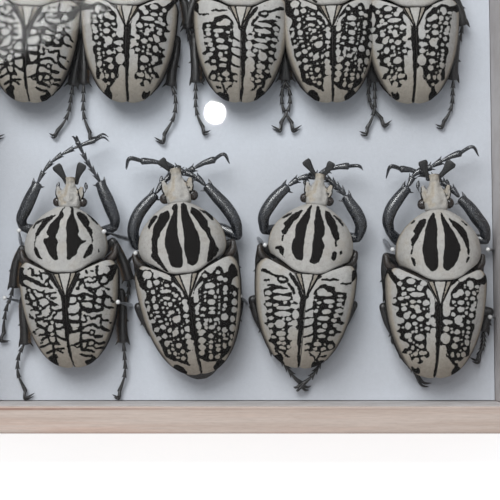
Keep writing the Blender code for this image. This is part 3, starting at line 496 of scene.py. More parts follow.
class Sheaf:
    """Surfaces gathered into one mesh, each with its look and the numbers that its look reads."""

    def __init__(self):
        self.points = []
        self.faces = []
        self.looks = []
        self.fields = {"dark": [], "tone": []}
        self.patches = []
        self.count = 0

    def add(self, surface, look=0, dark=-1.0, tone=0.0, patches=None, carry=None):
        points, faces = surface
        points = points if carry is None else carried(points, carry)
        self.points.append(points)
        self.faces.append(faces + self.count)
        self.looks.append(np.broadcast_to(look, len(faces)))
        for name, value in (("dark", dark), ("tone", tone)):
            self.fields[name].append(np.broadcast_to(np.asarray(value, float), len(points)))
        if patches is not None:
            self.patches.append(patches)
        self.count += len(points)

    def mesh(self, name):
        points, faces = np.concatenate(self.points), np.concatenate(self.faces)
        keep = faces != np.roll(faces, 1, axis=1)
        starts = np.concatenate([[0], np.cumsum(keep.sum(axis=1))[:-1]])
        mesh = bpy.data.meshes.new(name)
        mesh.vertices.add(len(points))
        mesh.vertices.foreach_set("co", (points * MM).astype(np.float32).ravel())
        mesh.loops.add(int(keep.sum()))
        mesh.loops.foreach_set("vertex_index", faces[keep].astype(np.int32))
        mesh.polygons.add(len(faces))
        mesh.polygons.foreach_set("loop_start", starts.astype(np.int32))
        mesh.polygons.foreach_set("material_index", np.concatenate(self.looks).astype(np.int32))
        mesh.update(calc_edges=True)
        for field, values in self.fields.items():
            attribute = mesh.attributes.new(field, "FLOAT", "POINT")
            attribute.data.foreach_set("value", np.concatenate(values).astype(np.float32))
        if self.patches:
            layer = mesh.uv_layers.new(name="OFBake")
            places = np.concatenate(self.patches)[faces[keep]]
            layer.uv.foreach_set("vector", places.astype(np.float32).ravel())
        mesh.shade_smooth()
        return mesh


def carried(points, matrix):
    return points @ matrix[:3, :3].T + matrix[:3, 3]


def make_piece(name, sheaf, looks, replaces=(), sharp=None):
    """One object from a sheaf, riding on the body, in the place of any nodes that it replaces."""
    mesh = sheaf.mesh(name)
    for look in looks:
        mesh.materials.append(look)
    if sharp:
        mesh.set_sharp_from_angle(angle=math.radians(sharp))
    piece = bpy.data.objects.new(name, mesh)
    bpy.context.scene.collection.objects.link(piece)
    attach(piece, "root")
    if replaces:
        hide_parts(*replaces)
    return piece


def fused(surfaces, voxel, smoothing=4):
    """Closed surfaces grown together into one, as points and quads."""
    sheaf = Sheaf()
    for surface in surfaces:
        sheaf.add(surface)
    thing = bpy.data.objects.new("growing", sheaf.mesh("growing"))
    bpy.context.scene.collection.objects.link(thing)
    remesh = thing.modifiers.new("remesh", "REMESH")
    remesh.mode = "VOXEL"
    remesh.voxel_size = voxel * MM
    smooth = thing.modifiers.new("smooth", "SMOOTH")
    smooth.factor = 0.5
    smooth.iterations = smoothing
    graph = bpy.context.evaluated_depsgraph_get()
    mesh = thing.evaluated_get(graph).to_mesh()
    points = np.empty(len(mesh.vertices) * 3, np.float32)
    mesh.vertices.foreach_get("co", points)
    corners = np.empty(len(mesh.loops), np.int32)
    mesh.loops.foreach_get("vertex_index", corners)
    bpy.data.objects.remove(thing)
    points = points.reshape(-1, 3).astype(float) / MM
    faces = corners.reshape(-1, 4).astype(np.int64)
    return points, outward(points, faces)


def hairs(roots, leads, lengths, thickness, bend, places):
    """Tapered three-sided hairs that bend, and the small patch of the map that each has at its own place."""
    count = len(roots)
    leads = unit(leads)
    side = unit(np.cross(leads, (0.31, 0.22, 0.93)))
    over = np.cross(leads, side)
    rings = []
    for share, width in ((0.0, 1.0), (0.45, 0.8), (0.8, 0.42)):
        middle = roots + leads * (lengths * share)[:, None] + bend * (lengths * share**2)[:, None]
        for corner in range(3):
            angle = 2 * math.pi * corner / 3
            out = side * math.cos(angle) + over * math.sin(angle)
            rings.append(middle + out * (thickness * width))
    tips = roots + leads * lengths[:, None] + bend * lengths[:, None]
    points = np.stack([*rings, tips], axis=1).reshape(-1, 3)
    one = []
    for k in range(3):
        j = (k + 1) % 3
        one += [(k, j, 3 + j, 3 + k), (3 + k, 3 + j, 6 + j, 6 + k), (6 + k, 6 + j, 9, 9)]
    one.append((2, 1, 0, 0))
    faces = (np.array(one)[None] + 10 * np.arange(count)[:, None, None]).reshape(-1, 4)
    patch = 0.003 * np.array([(x, y) for y in (0, 0.5, 0.8) for x in (0, 0.5, 1)] + [(0.5, 1)])
    uv = (0.01 + 0.98 * np.asarray(places)[:, None] + patch[None]).reshape(-1, 2)
    return (points, faces), uv


# The view as drawing squares

CAMERA_AHEAD = np.array((0.0, math.sin(CAMERA_TILT), -math.cos(CAMERA_TILT)))
CAMERA_UP = np.array((0.0, math.cos(CAMERA_TILT), math.sin(CAMERA_TILT)))
CAMERA_PLACE = CAMERA_TARGET - CAMERA_DISTANCE * CAMERA_AHEAD
PIXEL = CAMERA_DISTANCE / FOCAL_PIXELS


def seen(points):
    """Where the camera sees points, in pixels from the top left."""
    away = points - CAMERA_PLACE
    depth = away @ CAMERA_AHEAD
    across = VIEW_SIDE / 2 + FOCAL_PIXELS * away[:, 0] / depth
    return np.column_stack([across, VIEW_SIDE / 2 - FOCAL_PIXELS * (away @ CAMERA_UP) / depth])


def spot(across, down, height):
    """The point at a height over the lining that the camera sees at a pixel."""
    ray = CAMERA_AHEAD * FOCAL_PIXELS + CAMERA_UP * (VIEW_SIDE / 2 - down)
    ray = ray + np.array((across - VIEW_SIDE / 2, 0, 0))
    return CAMERA_PLACE + ray * (LINING_TOP + height - CAMERA_PLACE[2]) / ray[2]


# The black marks of the beetles, drawn in the view. A shape is x, y, x, y ... round its edge; a line is
# x, y, half width at each of its points; a spot is the middle x, y and the half widths of a white ellipse
# left in the black. All are squares of the view, from its top left corner.

SHIELD_SHAPES_1 = (
    (65.1, 206.2, 62.9, 208.1, 60.7, 211.2, 59.7, 213.6, 58, 215.9, 53.9, 220, 50.5, 223.7, 48.2, 226.8,
     47.1, 229.9, 46.1, 232.9, 47.1, 234.9, 48.8, 236.1, 47.5, 237.7, 45.1, 238.1, 43.1, 240.2,
     43.4, 242.7, 45.4, 246.1, 46.8, 250.2, 48.8, 254.3, 51.2, 257.7, 54.6, 260.4, 58, 260.1, 57.7, 256.3,
     57.2, 251.6, 56.3, 248.5, 57.3, 246.8, 57.7, 243.4, 57.7, 240, 56, 238, 56.3, 234.6, 58, 230.5,
     59.4, 227.1, 60, 223.1, 61.1, 220, 63.1, 217.3, 63.8, 214.6, 63.1, 212.2, 63.4, 209.5, 64.9, 207.5),
    (69.9, 206.2, 72.2, 206.8, 73.6, 208.8, 74.1, 211.5, 74.1, 214.9, 75.1, 218.3, 76.7, 221.7, 78, 225.1,
     78.9, 228.5, 79, 231.9, 77.7, 234.6, 79.7, 236.6, 81.4, 238.7, 82.4, 240, 85.1, 240, 86.8, 240.6,
     85.1, 242.1, 83.1, 243.4, 80.4, 244.8, 79.4, 246.1, 77.7, 249.5, 77, 253.6, 75.6, 255.3, 72.2, 257.7,
     69.9, 259.7, 66.5, 259.7, 66.7, 255.6, 66.5, 251.6, 67, 247.5, 66.1, 243.4, 65.8, 240, 66.8, 236.6,
     66.5, 232.6, 66.1, 227.1, 66.5, 222.4, 67.5, 218.3, 69.2, 215.6, 70.6, 212.9, 71.2, 210.2,
     70.8, 208.8, 69.9, 207.5),
    (57.2, 213.9, 51.9, 215.5, 47.1, 217, 43.7, 219.7, 41, 222.4, 39.3, 225.8, 37.3, 229.2, 35.5, 233.2,
     35.1, 236.6, 34.9, 240, 34.2, 242.1, 33.9, 244.8, 34.2, 247.2, 33.6, 250.2, 34.6, 254.3, 37, 257.3,
     40.4, 259.4, 43.1, 260, 41.4, 257, 39.3, 253.6, 38.7, 250.6, 36.6, 247.5, 35, 246.6, 35, 244,
     35.6, 241, 36.9, 237.3, 39.7, 233.2, 42.4, 229.2, 45.8, 225.4, 49.2, 221.7, 53.2, 218),
    (77, 212.2, 79.7, 211.5, 83.1, 212.9, 85.1, 214.6, 87.5, 217.6, 89.6, 221, 89.9, 223.7, 88.5, 225.4,
     90.9, 227.8, 92.6, 230.5, 92.9, 232.6, 91.9, 234.6, 92.3, 237.3, 92.9, 240, 92.9, 242.1, 92, 243.5,
     91.5, 242, 91.2, 238.7, 90.2, 236, 88.5, 233.2, 86.8, 229.9, 84.1, 227.1, 82.4, 223.7, 79.7, 220.4,
     77.7, 217, 76.7, 214.3),
    (92.3, 244.1, 93.3, 247.5, 93.3, 250.2, 91.9, 253.6, 87.9, 256.3, 84.5, 258.5, 82.8, 258, 83.4, 255.6,
     85.1, 252.9, 86.8, 248.9, 89.2, 245.5, 91.2, 244.1),
    (86.2, 213.2, 88.5, 214.6, 91.9, 216.3, 95.3, 218.3, 97.4, 220.4, 98.4, 222.4, 97.7, 225.1, 96, 223.7,
     94.3, 221.7, 91.9, 219.3, 88.5, 216.3),
    (98.3, 248.6, 99.6, 249.3, 99.9, 251, 99.1, 252.2, 97.4, 252.2, 98.4, 250.9),
)
SHIELD_LINES_1 = ((43.4, 218.7, .4, 39.7, 221, .4, 36.3, 223.7, .4, 34.6, 225.8, .4, 33.6, 227.8, .3),)
WING_SHAPES_1 = (
    (61.6, 296, 61.8, 305, 61.6, 312, 62.2, 318, 62, 320, 62.2, 323.5, 63.8, 326, 64.6, 331, 65.1, 336,
     66.1, 341, 66.8, 346, 67.5, 351, 69.5, 357, 72, 362, 74, 366.5, 75.5, 367.5, 75.3, 366, 74, 363,
     72.5, 358, 71, 352, 69.8, 346, 69, 341, 68.8, 336, 70.5, 334, 72.5, 331, 72.5, 327.5, 70.3, 324,
     69, 319, 68.3, 313, 68, 306, 68.5, 300, 69.3, 296),
    (47.5, 273, 50.5, 276, 50, 279.5, 49, 281, 50, 283.5, 51.5, 286, 54, 287.5, 54, 289, 51, 289.5,
     47, 287.5, 43, 286, 44.5, 282, 46, 279.5, 48, 277.5, 48.2, 275),
    (19, 267.5, 22, 267, 25, 268, 24.5, 270, 23.2, 271.5, 23.4, 273.5, 25, 275.5, 27, 276.5, 26, 278.5,
     23, 280, 24, 283, 21, 283, 19.5, 280, 19, 274),
    (48, 356.5, 51, 356, 54, 355.5, 57, 355.8, 58.5, 357, 57, 359, 57.5, 361.5, 59, 364, 58.5, 366.5,
     55.5, 366.5, 52, 364, 49, 360.5),
    (105, 265.5, 108, 265.8, 110.5, 265.2, 113, 264.5, 115.5, 263.8, 117.3, 266, 116.8, 270, 115, 273.5,
     114.5, 276.5, 113, 279.5, 111, 281, 108.5, 281.5, 106.5, 280.5, 105.5, 278.5, 106.5, 276,
     105.5, 274.5, 107.5, 272.5, 109.8, 270.5, 109.5, 268, 107.5, 266.5),
    (79.5, 280, 84, 279.5, 84.5, 281.5, 86, 281.8, 87.5, 279.5, 88.8, 281, 90, 282, 89, 283.5, 86, 282.6,
     83.5, 283, 81.5, 284.5, 80, 286.5, 78.5, 288.5, 77, 289, 76.3, 288, 78, 285, 79.5, 282),
    (85.5, 360.5, 88.5, 359.5, 91, 357.5, 94, 357, 97, 358.5, 97, 362, 94.5, 365, 91, 366.5, 87.5, 366,
     85, 363.5),
)
WING_LINES_1 = (
    (45.5, 271, .5, 48, 272.2, .9, 50.5, 274.5, 1.5, 53, 280, 1.5, 56.5, 285, 1.5, 60, 290, 1.6,
     62.8, 295, 1.9, 64.5, 299, 2.6),
    (21, 277.5, 2.6, 26, 277.6, 1.6, 31, 279.8, 1.5, 36, 282.5, 1.8, 41, 284.8, 1.6, 45, 285.8, 1.5),
    (20, 281, 1.5, 23, 284.5, 1.2, 25.5, 286, .8, 27.5, 286.5, .4),
    (28.5, 269, .5, 30.5, 268.3, .7, 32.2, 269.5, .9, 32.8, 272, .8, 32, 274.5, .5),
    (33, 275.3, .6, 40.5, 275.3, .6), (39.5, 270.5, .5, 40.5, 275.3, .5), (40, 275.5, .6, 42, 278.5, 1),
    (41, 272.7, .35, 48, 274, .35),
    (26.5, 286, .5, 27.5, 288, .8, 27.3, 290.5, .8, 28.5, 292, .9, 27.5, 293.8, .9, 26, 295.5, 1.3,
     26, 298, .9, 28.5, 299, .7, 29.8, 300.5, .7, 30, 303, .7, 28.5, 304.3, .5, 26.5, 304, .4),
    (28.5, 287.7, .6, 31, 289.5, .7, 33, 290, .9, 36, 290.3, .8, 37.5, 291.8, .8, 40, 292.2, .7,
     42.5, 293, .7, 44.3, 291.3, .5),
    (31.8, 292, .9, 33.5, 293, .8, 34.5, 295.5, .8, 36.2, 297.8, .9, 36.8, 300, .8, 37.8, 302, .8,
     38, 304, .7),
    (28.3, 293.5, .8, 28.8, 296, .7, 29.5, 298.5, .7, 30, 300.8, .8, 32.5, 301.3, .8, 35.5, 300.8, .8,
     37.5, 299, .9, 40, 298.2, .8, 43, 297.8, .7, 44.5, 296.5, .7, 44.8, 294, .7, 43.5, 292.8, .6),
    (44.8, 294.5, .6, 47, 294.8, .7, 50, 293.5, .5, 53, 292.5, .6, 56, 292.3, .5),
    (44.6, 297.3, .7, 46.5, 298.5, .6, 48.5, 299.5, .9, 49.8, 301.5, .8, 50, 303.5, .8, 48.5, 304.8, .9,
     46.5, 306, .8, 44.5, 307.8, .9, 42, 308, 1, 40.5, 306.5, .8, 38.7, 305.3, .8, 38, 302.5, .7),
    (50.5, 294.5, .6, 49.8, 297, .7, 51.5, 298.6, .8, 54, 298.4, .8, 56, 298, .4),
    (51, 301.8, .7, 53, 303, .9, 56, 304.2, 1.1, 58, 305, .5),
    (50.5, 304.5, .8, 52.5, 304.8, .9, 56, 305, .9),
    (30.5, 304.5, .5, 32, 306.5, .8, 34, 307.8, .9, 37, 308, .9, 38.5, 309, 1.3, 40.2, 310.5, 1,
     42, 309, 1),
    (31.5, 301.5, .7, 31.8, 304, .7), (30.5, 310.5, .4, 34, 309.8, .6, 38.5, 309.3, .7),
    (40.6, 311, .8, 41, 313.5, .7, 39, 314.8, .6, 36, 314.8, .6, 36.5, 317, .6, 38.5, 318.8, .8,
     41.5, 318.8, .8, 44, 317.5, .7, 47.5, 316.8, .9, 50, 315.2, .7, 51.5, 312.5, .9, 52, 310, .8,
     50.5, 308, .7, 50, 305.5, .8),
    (52, 310.3, .7, 55, 310.8, .9, 58.5, 310.6, .9, 62.5, 309.6, .8),
    (56.5, 311.5, .8, 55.8, 314, .8, 54, 315.8, 1, 53, 318, .9, 52.5, 320, .7),
    (29, 314.5, .6, 30.5, 316.5, .9, 33, 318.5, .9), (41.5, 318.8, .7, 43.5, 319.8, .5),
    (47, 320.6, .6, 50, 320.8, 1, 54, 321, 1.2, 58, 321.3, 1.5, 63, 321.5, 1.8),
    (36, 319.5, .8, 39, 319.8, .9, 42, 318.8, .8),
    (36.3, 321, .5, 37, 323.5, .8, 36.5, 324.3, .6, 38, 325.5, .9, 40.5, 326.8, 1.4, 42.3, 327.5, 1.2,
     44, 328.5, .9, 45.8, 331, .8, 46.5, 333, 1, 46.5, 335.5, 1.2, 45, 338, .9, 43, 339.8, .8,
     41.8, 340.3, .4),
    (44, 321.5, .7, 46, 321, .8, 48.5, 322, .8, 49.3, 324, .9, 48, 326, .9, 46, 328, .9, 44.5, 328.8, .9),
    (50, 321.5, .7, 51, 324, 1, 53.5, 323.8, .9, 54, 326, .8, 54.8, 328.5, .7, 54.3, 330.5, .8,
     53, 332, .9, 51, 333.2, .7, 48.5, 333, .9, 47, 331.5, .9, 46.5, 329.5, .8),
    (54.5, 322.5, .7, 54, 324.5, .8, 55, 327.5, .8, 57.5, 328.7, 1, 60.5, 328.6, 1, 63, 328, 1,
     64.5, 327, 1),
    (55.5, 329.5, .8, 55.2, 332, .6, 55.5, 334.8, .8, 53.5, 335.8, .9, 51, 335.8, .9, 48.8, 336, .8,
     47, 336, 1),
    (55.5, 335.2, .7, 58, 336.5, .7, 61, 338.2, .8, 64, 339.5, .8, 66.5, 340.2, 1),
    (55.8, 335.5, .7, 56, 338, .8, 56.3, 341, .9, 56.5, 342.5, .9, 58.5, 344, .8, 60, 344.5, .4),
    (48.3, 337, .9, 49.3, 339.5, .7, 50, 341.5, .6, 51, 343.3, .8, 53, 344, .9, 55, 343.5, .9,
     56.3, 342.5, .8),
    (33.5, 331.5, .5, 34.5, 332.5, .8, 35.5, 334, .5), (36, 330.5, .4, 37.5, 329.3, .4),
    (38.5, 336, .5, 41, 334.6, .8, 43.5, 334.6, .7, 45.5, 334, .8), (40.5, 343, .4, 42.5, 342.8, .4),
    (40.5, 347.5, .6, 43.5, 346.5, .9, 46, 345.3, .9, 48, 344.5, .8, 50, 343.8, .7),
    (53.8, 344, .6, 53.3, 346.5, .7, 54, 349, .7, 53.8, 351.5, .7, 54, 354.5, .7, 54.3, 355.8, .4),
    (54, 349.8, .7, 57, 349.3, .7, 60, 348.6, .6, 64, 348.5, .4),
    (54.2, 350.5, .6, 51.5, 351.3, .8, 49.5, 352.2, .8, 47.5, 352.8, .6),
    (57.5, 350.5, .5, 60, 351.8, .5, 63, 352.6, .5), (53, 355.5, .4, 56, 354.8, .3),
    (78.5, 274, 1.5, 77, 277.5, 1.6, 75.5, 281, 1.3, 73.5, 285, 1.3, 71.5, 289, 1.4, 69.5, 293, 1.6,
     68, 297, 1.8, 66.5, 301, 2.2, 66, 306, 2.6),
    (86, 270.5, .5, 87, 272.5, .6, 86.7, 274, .5), (91, 271, .4, 93, 271.5, .3),
    (96, 266.5, .5, 97, 266.7, 1.2, 96.8, 269, .9, 96.5, 272, .7, 97, 274.5, .9, 98, 276.5, 1.2,
     100, 277.5, 1.6, 102.5, 276, 1.4, 105.5, 275, 1.2),
    (79.5, 279.8, 1, 82, 280, 1.2, 84.5, 279, .9, 87, 277.5, .6, 90.5, 277.3, .6, 92.5, 278.5, .6,
     94, 277, .6, 97, 277.3, 1, 99, 278.8, 1.4),
    (90, 282.5, .6, 93, 282.2, .7, 96, 281, .8, 97.5, 279.5, .9, 98.8, 280.5, 1, 99.3, 283, .9,
     101.5, 284.3, .9, 105, 284, .9, 108, 282.5, .7),
    (102.5, 284.8, .7, 103.5, 287, .8, 105.5, 288.5, .8, 107, 288.8, .6, 109, 289.5, .4),
    (76.5, 288.8, .8, 78.5, 289, .8),
    (84.5, 286.5, .7, 86.5, 288, .9, 89.5, 288.3, .9, 92, 289.5, .9, 95, 289, .8, 98, 288, .9,
     101, 286.8, .9, 102.5, 285, .9),
    (84, 284, .5, 84.8, 286, .6), (89, 289.8, .9, 91.5, 291.8, .8, 93.8, 293.5, .8, 94.5, 295.5, .7),
    (95.8, 289.8, .7, 94.8, 292, .7, 95.5, 295, .8, 97.5, 297, .9, 100.5, 297.2, .9, 103, 296.5, 1,
     104.5, 294, .8, 104.5, 291, .8, 103, 289.8, .8),
    (104.5, 294.5, .8, 106.5, 295.5, .7, 109, 296.3, .7, 111, 298, .8, 112, 300.5, .9, 113.5, 302, .5),
    (103.5, 298, .8, 105, 297.5, .9, 108, 297.5, .8),
    (70, 295.8, .7, 73, 296, .8, 76.5, 296, .8, 79.5, 295, .9, 82, 294, .7, 84.5, 293, .8, 87, 294.5, .9,
     90, 296, .9, 93.5, 296.5, 1, 96.5, 297.3, 1),
    (79, 296, .8, 81, 297, 1.2, 83, 296.5, 1.2, 84.8, 297.8, .8),
    (77, 297.5, .5, 78.5, 300, .8, 80.5, 301.3, 1, 82.5, 300.5, .9, 82.5, 298.5, .8, 84.5, 297.3, .9),
    (82, 300.5, .9, 85, 301.3, .8, 88.5, 301.3, .8, 92, 301, .8, 94, 299.5, .8, 95, 298, .8),
    (69.5, 304.5, .5, 73, 304.3, .6, 75.5, 303, .7, 77.3, 301.5, .8, 79.5, 301.5, .9),
    (79, 302.5, .9, 80.5, 304.5, 1, 82, 306.3, 1, 84.5, 307.5, .9, 87, 309, .9, 90, 309.5, .9,
     92.5, 308.5, .8, 93.8, 306.5, .8, 93.5, 304, .9, 91.5, 302, .9),
    (94.5, 303, .9, 97, 303.2, .7, 99, 303.8, .8, 101.5, 305, .8, 102.5, 307.5, .8, 101.5, 309.5, 1,
     98.5, 310.3, .9, 96, 309.8, .8, 94.3, 308, .8),
    (102.5, 299, .8, 103, 301.5, .9, 102.5, 304, .9), (95, 298.8, .8, 94.5, 301, .8, 95.5, 303, .8),
    (103.5, 299.5, .9, 102.8, 303, .9, 104, 306, .9, 106.5, 307.5, .8, 109.5, 308, .9, 112.5, 307.5, .8,
     114, 307.3, .4),
    (79.8, 305, .7, 81, 308, 1, 80.3, 311, .9, 78.5, 313, .8, 75.5, 314, .8, 72.5, 314.7, .7,
     69.5, 314.2, .5),
    (80.5, 310, 1, 82, 309.8, 1, 84.5, 310.3, .8, 87, 311.5, .9, 90, 311.8, .8, 91.5, 310.5, .9,
     94.5, 311.5, .8, 97.5, 311, .8, 101, 310, .8, 103, 308.5, .8),
    (79, 314.8, .8, 80.5, 314.5, 1, 80.5, 317, .8, 79.5, 319.5, .7),
    (84.5, 315.5, .5, 86, 316.2, .8, 89.5, 316.8, .9, 92, 318.3, 1, 94.5, 318, .9, 97, 316.5, .9,
     99.5, 315.8, 1, 101, 315.3, .7),
    (85.8, 317, .7, 86.5, 319.5, .6), (101, 316.5, .6, 101.5, 318.5, .7, 100.8, 320.5, .6),
    (70, 321.5, 1.9, 75, 321.6, 1.6, 80, 321.7, 1.4, 83, 322, 1, 86, 321.8, .7),
    (80.3, 319.5, .6, 80.5, 322, 1, 80.8, 325, .8, 80.5, 327, .8, 78.5, 327.6, .7, 77.5, 327.5, .4),
    (81, 324.5, .8, 81, 327.5, .9, 80.8, 330, 1, 81.5, 332.3, .9, 81.3, 335, .9, 80.5, 338, .9,
     80.8, 340.5, 1),
    (82, 327.8, .7, 85, 327.3, .8, 87.5, 326, .8, 90, 325, .9, 92.5, 324.5, .9, 95, 325, .9,
     96.5, 326.5, .8, 97.5, 328, .7, 99, 327.8, .5),
    (100.8, 320.5, .6, 100.5, 323, .6, 100.3, 325.5, .7, 102, 327.5, 1, 104, 329, 1.1, 107, 330.3, 1,
     109, 330.8, .6),
    (101.5, 320.5, .5, 105, 320.7, .6, 108, 320.5, .5), (110.3, 322.8, .5, 110.7, 322.8, .5),
    (82, 332.5, .9, 85, 333.2, 1, 88, 333, 1, 90.3, 332.5, .9, 90.5, 330.8, .8, 92.3, 330.3, .8,
     94.2, 330.8, .7, 94, 333, 1, 92.5, 334.5, 1, 90, 334.3, .9),
    (69, 332.8, .5, 71.5, 332, .9, 74.5, 331.6, 1, 77.5, 331, .9, 80, 331, .9),
    (93.8, 335.3, .7, 95, 336.5, 1.2, 98, 336.7, 1.3, 101, 336.3, .9, 103, 336, .5),
    (80, 341.3, 1, 82.5, 341, 1.1, 85, 341, 1, 88, 340, .9, 91, 339.6, .8, 94, 341, .8, 96, 343, .8,
     98.5, 344, .9, 101, 343.3, .7, 103.5, 342.8, .9, 104.5, 342.5, .5),
    (88, 341.5, .9, 87.3, 344, .9, 86.8, 346.5, .8, 85.5, 348.5, .8, 84, 349.8, .9),
    (80.8, 342.5, .9, 81, 345.5, .9, 82, 348, .9, 83, 349.5, .9),
    (87.5, 346, .7, 90, 345.8, .7, 92, 345.2, .7, 94, 344.5, .6, 94.5, 342.5, .7),
    (94, 345, .7, 94.5, 347, .9, 96.5, 348.2, .8, 99, 348, .9, 101.5, 347.7, 1, 103.5, 347.5, .6),
    (71, 345.5, .4, 74, 345, .5, 76.5, 343.8, .6, 79, 342.8, .8, 80, 342, .9),
    (75.5, 346.5, .3, 77, 347.3, .4, 79.5, 346.8, .5, 80.5, 345.8, .7),
    (81.5, 349.5, .7, 84, 350.3, .9, 87, 350.3, 1, 90, 350.4, .8, 93, 351.2, .8, 95, 351.8, .4),
    (79.5, 353.8, .4, 82, 354.5, .7, 85, 355.5, .8, 88, 355.8, .8, 91, 355.7, .7, 93.5, 357, .7,
     95, 358.5, .7, 96, 360, 1.2),
)
WING_SPOTS_1 = (
    (46.6, 284, 1.3, 1.3), (29, 290.3, 1.1, 1.1), (34.8, 291.6, 1, 1), (47.5, 297, 1, 1),
    (49, 298.3, .8, .8), (40, 308.3, .8, .8), (48.5, 307.2, 1.1, 1.1), (54.3, 313, 1.3, 1.3),
    (52, 322.5, 1.3, 1.3), (52, 334.2, 1.3, 1.3), (104, 277.3, 1.2, 1.2), (106.3, 279, .8, .8),
    (85.5, 280.2, .9, .9), (88.7, 278.8, 1.2, 1.2), (103.5, 288.8, 1.2, 1.2), (79.5, 298.3, 1, 1),
    (78, 303.8, 1, 1), (88.5, 318.2, 1.2, 1.2), (98.5, 325, 1.3, 1.3), (92, 332.5, 1.2, 1.2),
    (96.5, 345.8, 1.5, 1.5),
)

SHIELD_SHAPES_2 = (
    (176.5, 203, 174, 203.8, 172, 206, 171.5, 208, 173, 211, 172.3, 215, 170.5, 219, 169, 222, 167.5, 226,
     166.5, 230, 165.5, 234, 165, 239, 164.7, 244, 165.5, 249, 167.5, 254, 169, 260, 170.5, 265,
     173, 267.5, 177, 268, 181, 267.8, 182.8, 265, 182.8, 260, 182, 256, 182.5, 251, 181, 246, 179, 241,
     178, 236, 178, 231, 177.3, 226, 177.7, 220, 177.6, 212, 177.6, 206),
    (181, 203.2, 183.5, 203, 186, 204.5, 187.3, 207, 188.5, 212, 190.5, 217, 193, 222, 195.5, 227,
     197.5, 231, 199, 236, 200, 241, 200.5, 246, 200.3, 250, 199.5, 254, 198.5, 258, 197.5, 262,
     195.5, 264.8, 193, 265.8, 190.5, 265, 188, 263.8, 187, 262, 186.8, 259, 185.5, 255, 184.3, 250,
     183.8, 246, 184.5, 240, 183.8, 234, 183, 228, 181.5, 222, 180.8, 215, 181, 208),
    (168, 210, 164, 212, 160, 213.5, 158.8, 217, 156.5, 221.5, 154.3, 225, 153.2, 229.5, 152.8, 233,
     151.2, 238, 151.8, 243, 151.5, 248, 151.6, 253, 151, 258, 154, 260.5, 158, 264, 163, 269, 168, 273,
     169.5, 272, 166, 268, 163, 263.5, 160.5, 259, 158.8, 255, 157.5, 250, 157, 245, 157.5, 240,
     159.5, 237, 160.3, 233.5, 163, 229, 166, 224, 169, 219.5, 170.3, 216, 169.8, 212.5),
    (156, 214.5, 152, 217.5, 149.5, 221, 148.3, 225, 148.3, 229, 149.5, 229.5, 151, 226.5, 153.5, 223,
     156, 219.5, 158.3, 216.5),
    (190.5, 206, 191.5, 209, 190, 211, 191.5, 214, 195, 218.5, 198.5, 223, 201, 227, 203, 230,
     205.5, 231.5, 207, 234, 207.5, 237, 209.5, 241, 209.3, 246, 208.5, 251, 207.5, 256, 207, 262,
     209, 262, 212, 259, 216, 256, 218, 252.5, 219, 248, 216.5, 246, 215, 241, 213, 237, 210.5, 234.5,
     211, 231, 209.5, 227, 207.5, 225, 208.5, 222, 206, 219, 203.5, 215.5, 200.5, 211.5, 196, 209),
    (198, 208.5, 203, 210, 208, 211.5, 211.5, 214, 213, 217, 214.5, 220.5, 212.5, 220, 209.5, 218,
     205.5, 214, 201, 211),
)
WING_SHAPES_2 = (
    (187, 298, 189, 305, 190, 312, 190.5, 320, 191, 330, 192.5, 338, 194, 345, 195.5, 352, 197, 358,
     199, 366, 200.5, 373, 202.5, 373, 201, 366, 199.5, 358, 198.5, 351, 197.5, 344, 197, 337, 196.5, 330,
     195.5, 322, 194, 312, 193, 303, 193, 296),
    (136, 268, 140, 264, 150, 262, 160, 264, 170, 270, 176, 278, 182, 288, 187, 298, 189, 305, 190, 312,
     190.5, 320, 191, 330, 192.5, 338, 195.5, 347, 194, 350, 190, 351, 186.5, 353, 187.5, 357, 187, 361,
     191, 365.5, 188, 365.5, 183, 363.5, 178, 361.5, 174, 361, 170, 359, 166, 357, 164, 353, 162.5, 348,
     160, 343, 157, 338, 154, 333, 152.5, 328, 151, 323, 149, 318, 147.5, 313, 146.5, 308, 144.5, 304,
     145, 300, 147.5, 296.5, 146, 291, 141, 288, 137, 280),
    (193, 297, 194, 289, 196.5, 283, 200, 276.5, 204, 271, 208, 266.5, 214, 263, 222, 261, 232, 263,
     237, 268, 238, 276, 238.3, 285, 238, 295, 237.5, 305, 236.5, 315, 235.5, 325, 234.5, 333, 232, 342,
     229.5, 350, 225, 356, 220, 359.5, 214, 361.5, 207, 361.5, 203, 359.5, 199.5, 357, 198.5, 351,
     197.5, 344, 197, 337, 196.5, 330, 195.5, 322, 194, 312, 193, 303),
    (173, 366, 176.5, 364.5, 180.5, 365.5, 184, 368.5, 187.5, 372.5, 185, 374.5, 180.5, 373.5, 176, 371),
    (213.5, 366.5, 216, 362.5, 219, 360, 224, 359.5, 225.5, 363, 223, 368, 219, 371.5, 214.5, 370.5),
)
WING_WHITES_2 = (
    (137, 266, 142, 265, 147, 264.8, 152, 266, 158, 268.5, 164, 271, 168, 273.5, 171, 277, 171.5, 279.5,
     170.5, 280.8, 167, 280, 163, 278.5, 159, 277, 156, 278.2, 153.5, 277, 153.5, 273, 151, 271,
     150, 269.5, 146, 270, 141, 269.8, 138.5, 269),
    (174, 283, 178, 286.5, 181.5, 290, 184, 294, 185, 297.5, 183, 297.8, 181, 296, 180.5, 293, 178, 290.5,
     175.5, 287.5, 173.5, 286),
    (204, 270, 206, 267.5, 209, 265, 213, 263, 218, 261, 224, 260, 231, 260.5, 231.5, 263.5, 229, 267,
     228, 270, 229, 272, 226.5, 271.5, 224, 273.5, 223, 271, 222, 267.5, 219, 266, 216, 268, 214, 271,
     211, 274, 208.5, 272.5),
    (202.5, 280, 203.2, 282.5, 202, 285, 199, 288.5, 198, 292, 199, 296, 199, 301, 197, 303.5, 194, 303,
     193.3, 298, 193.8, 293, 195.5, 288, 199, 284),
    (234, 277, 238, 275.5, 239, 281, 239, 288, 236.5, 288.5, 234, 286, 231.5, 284.5, 232, 280.5),
)
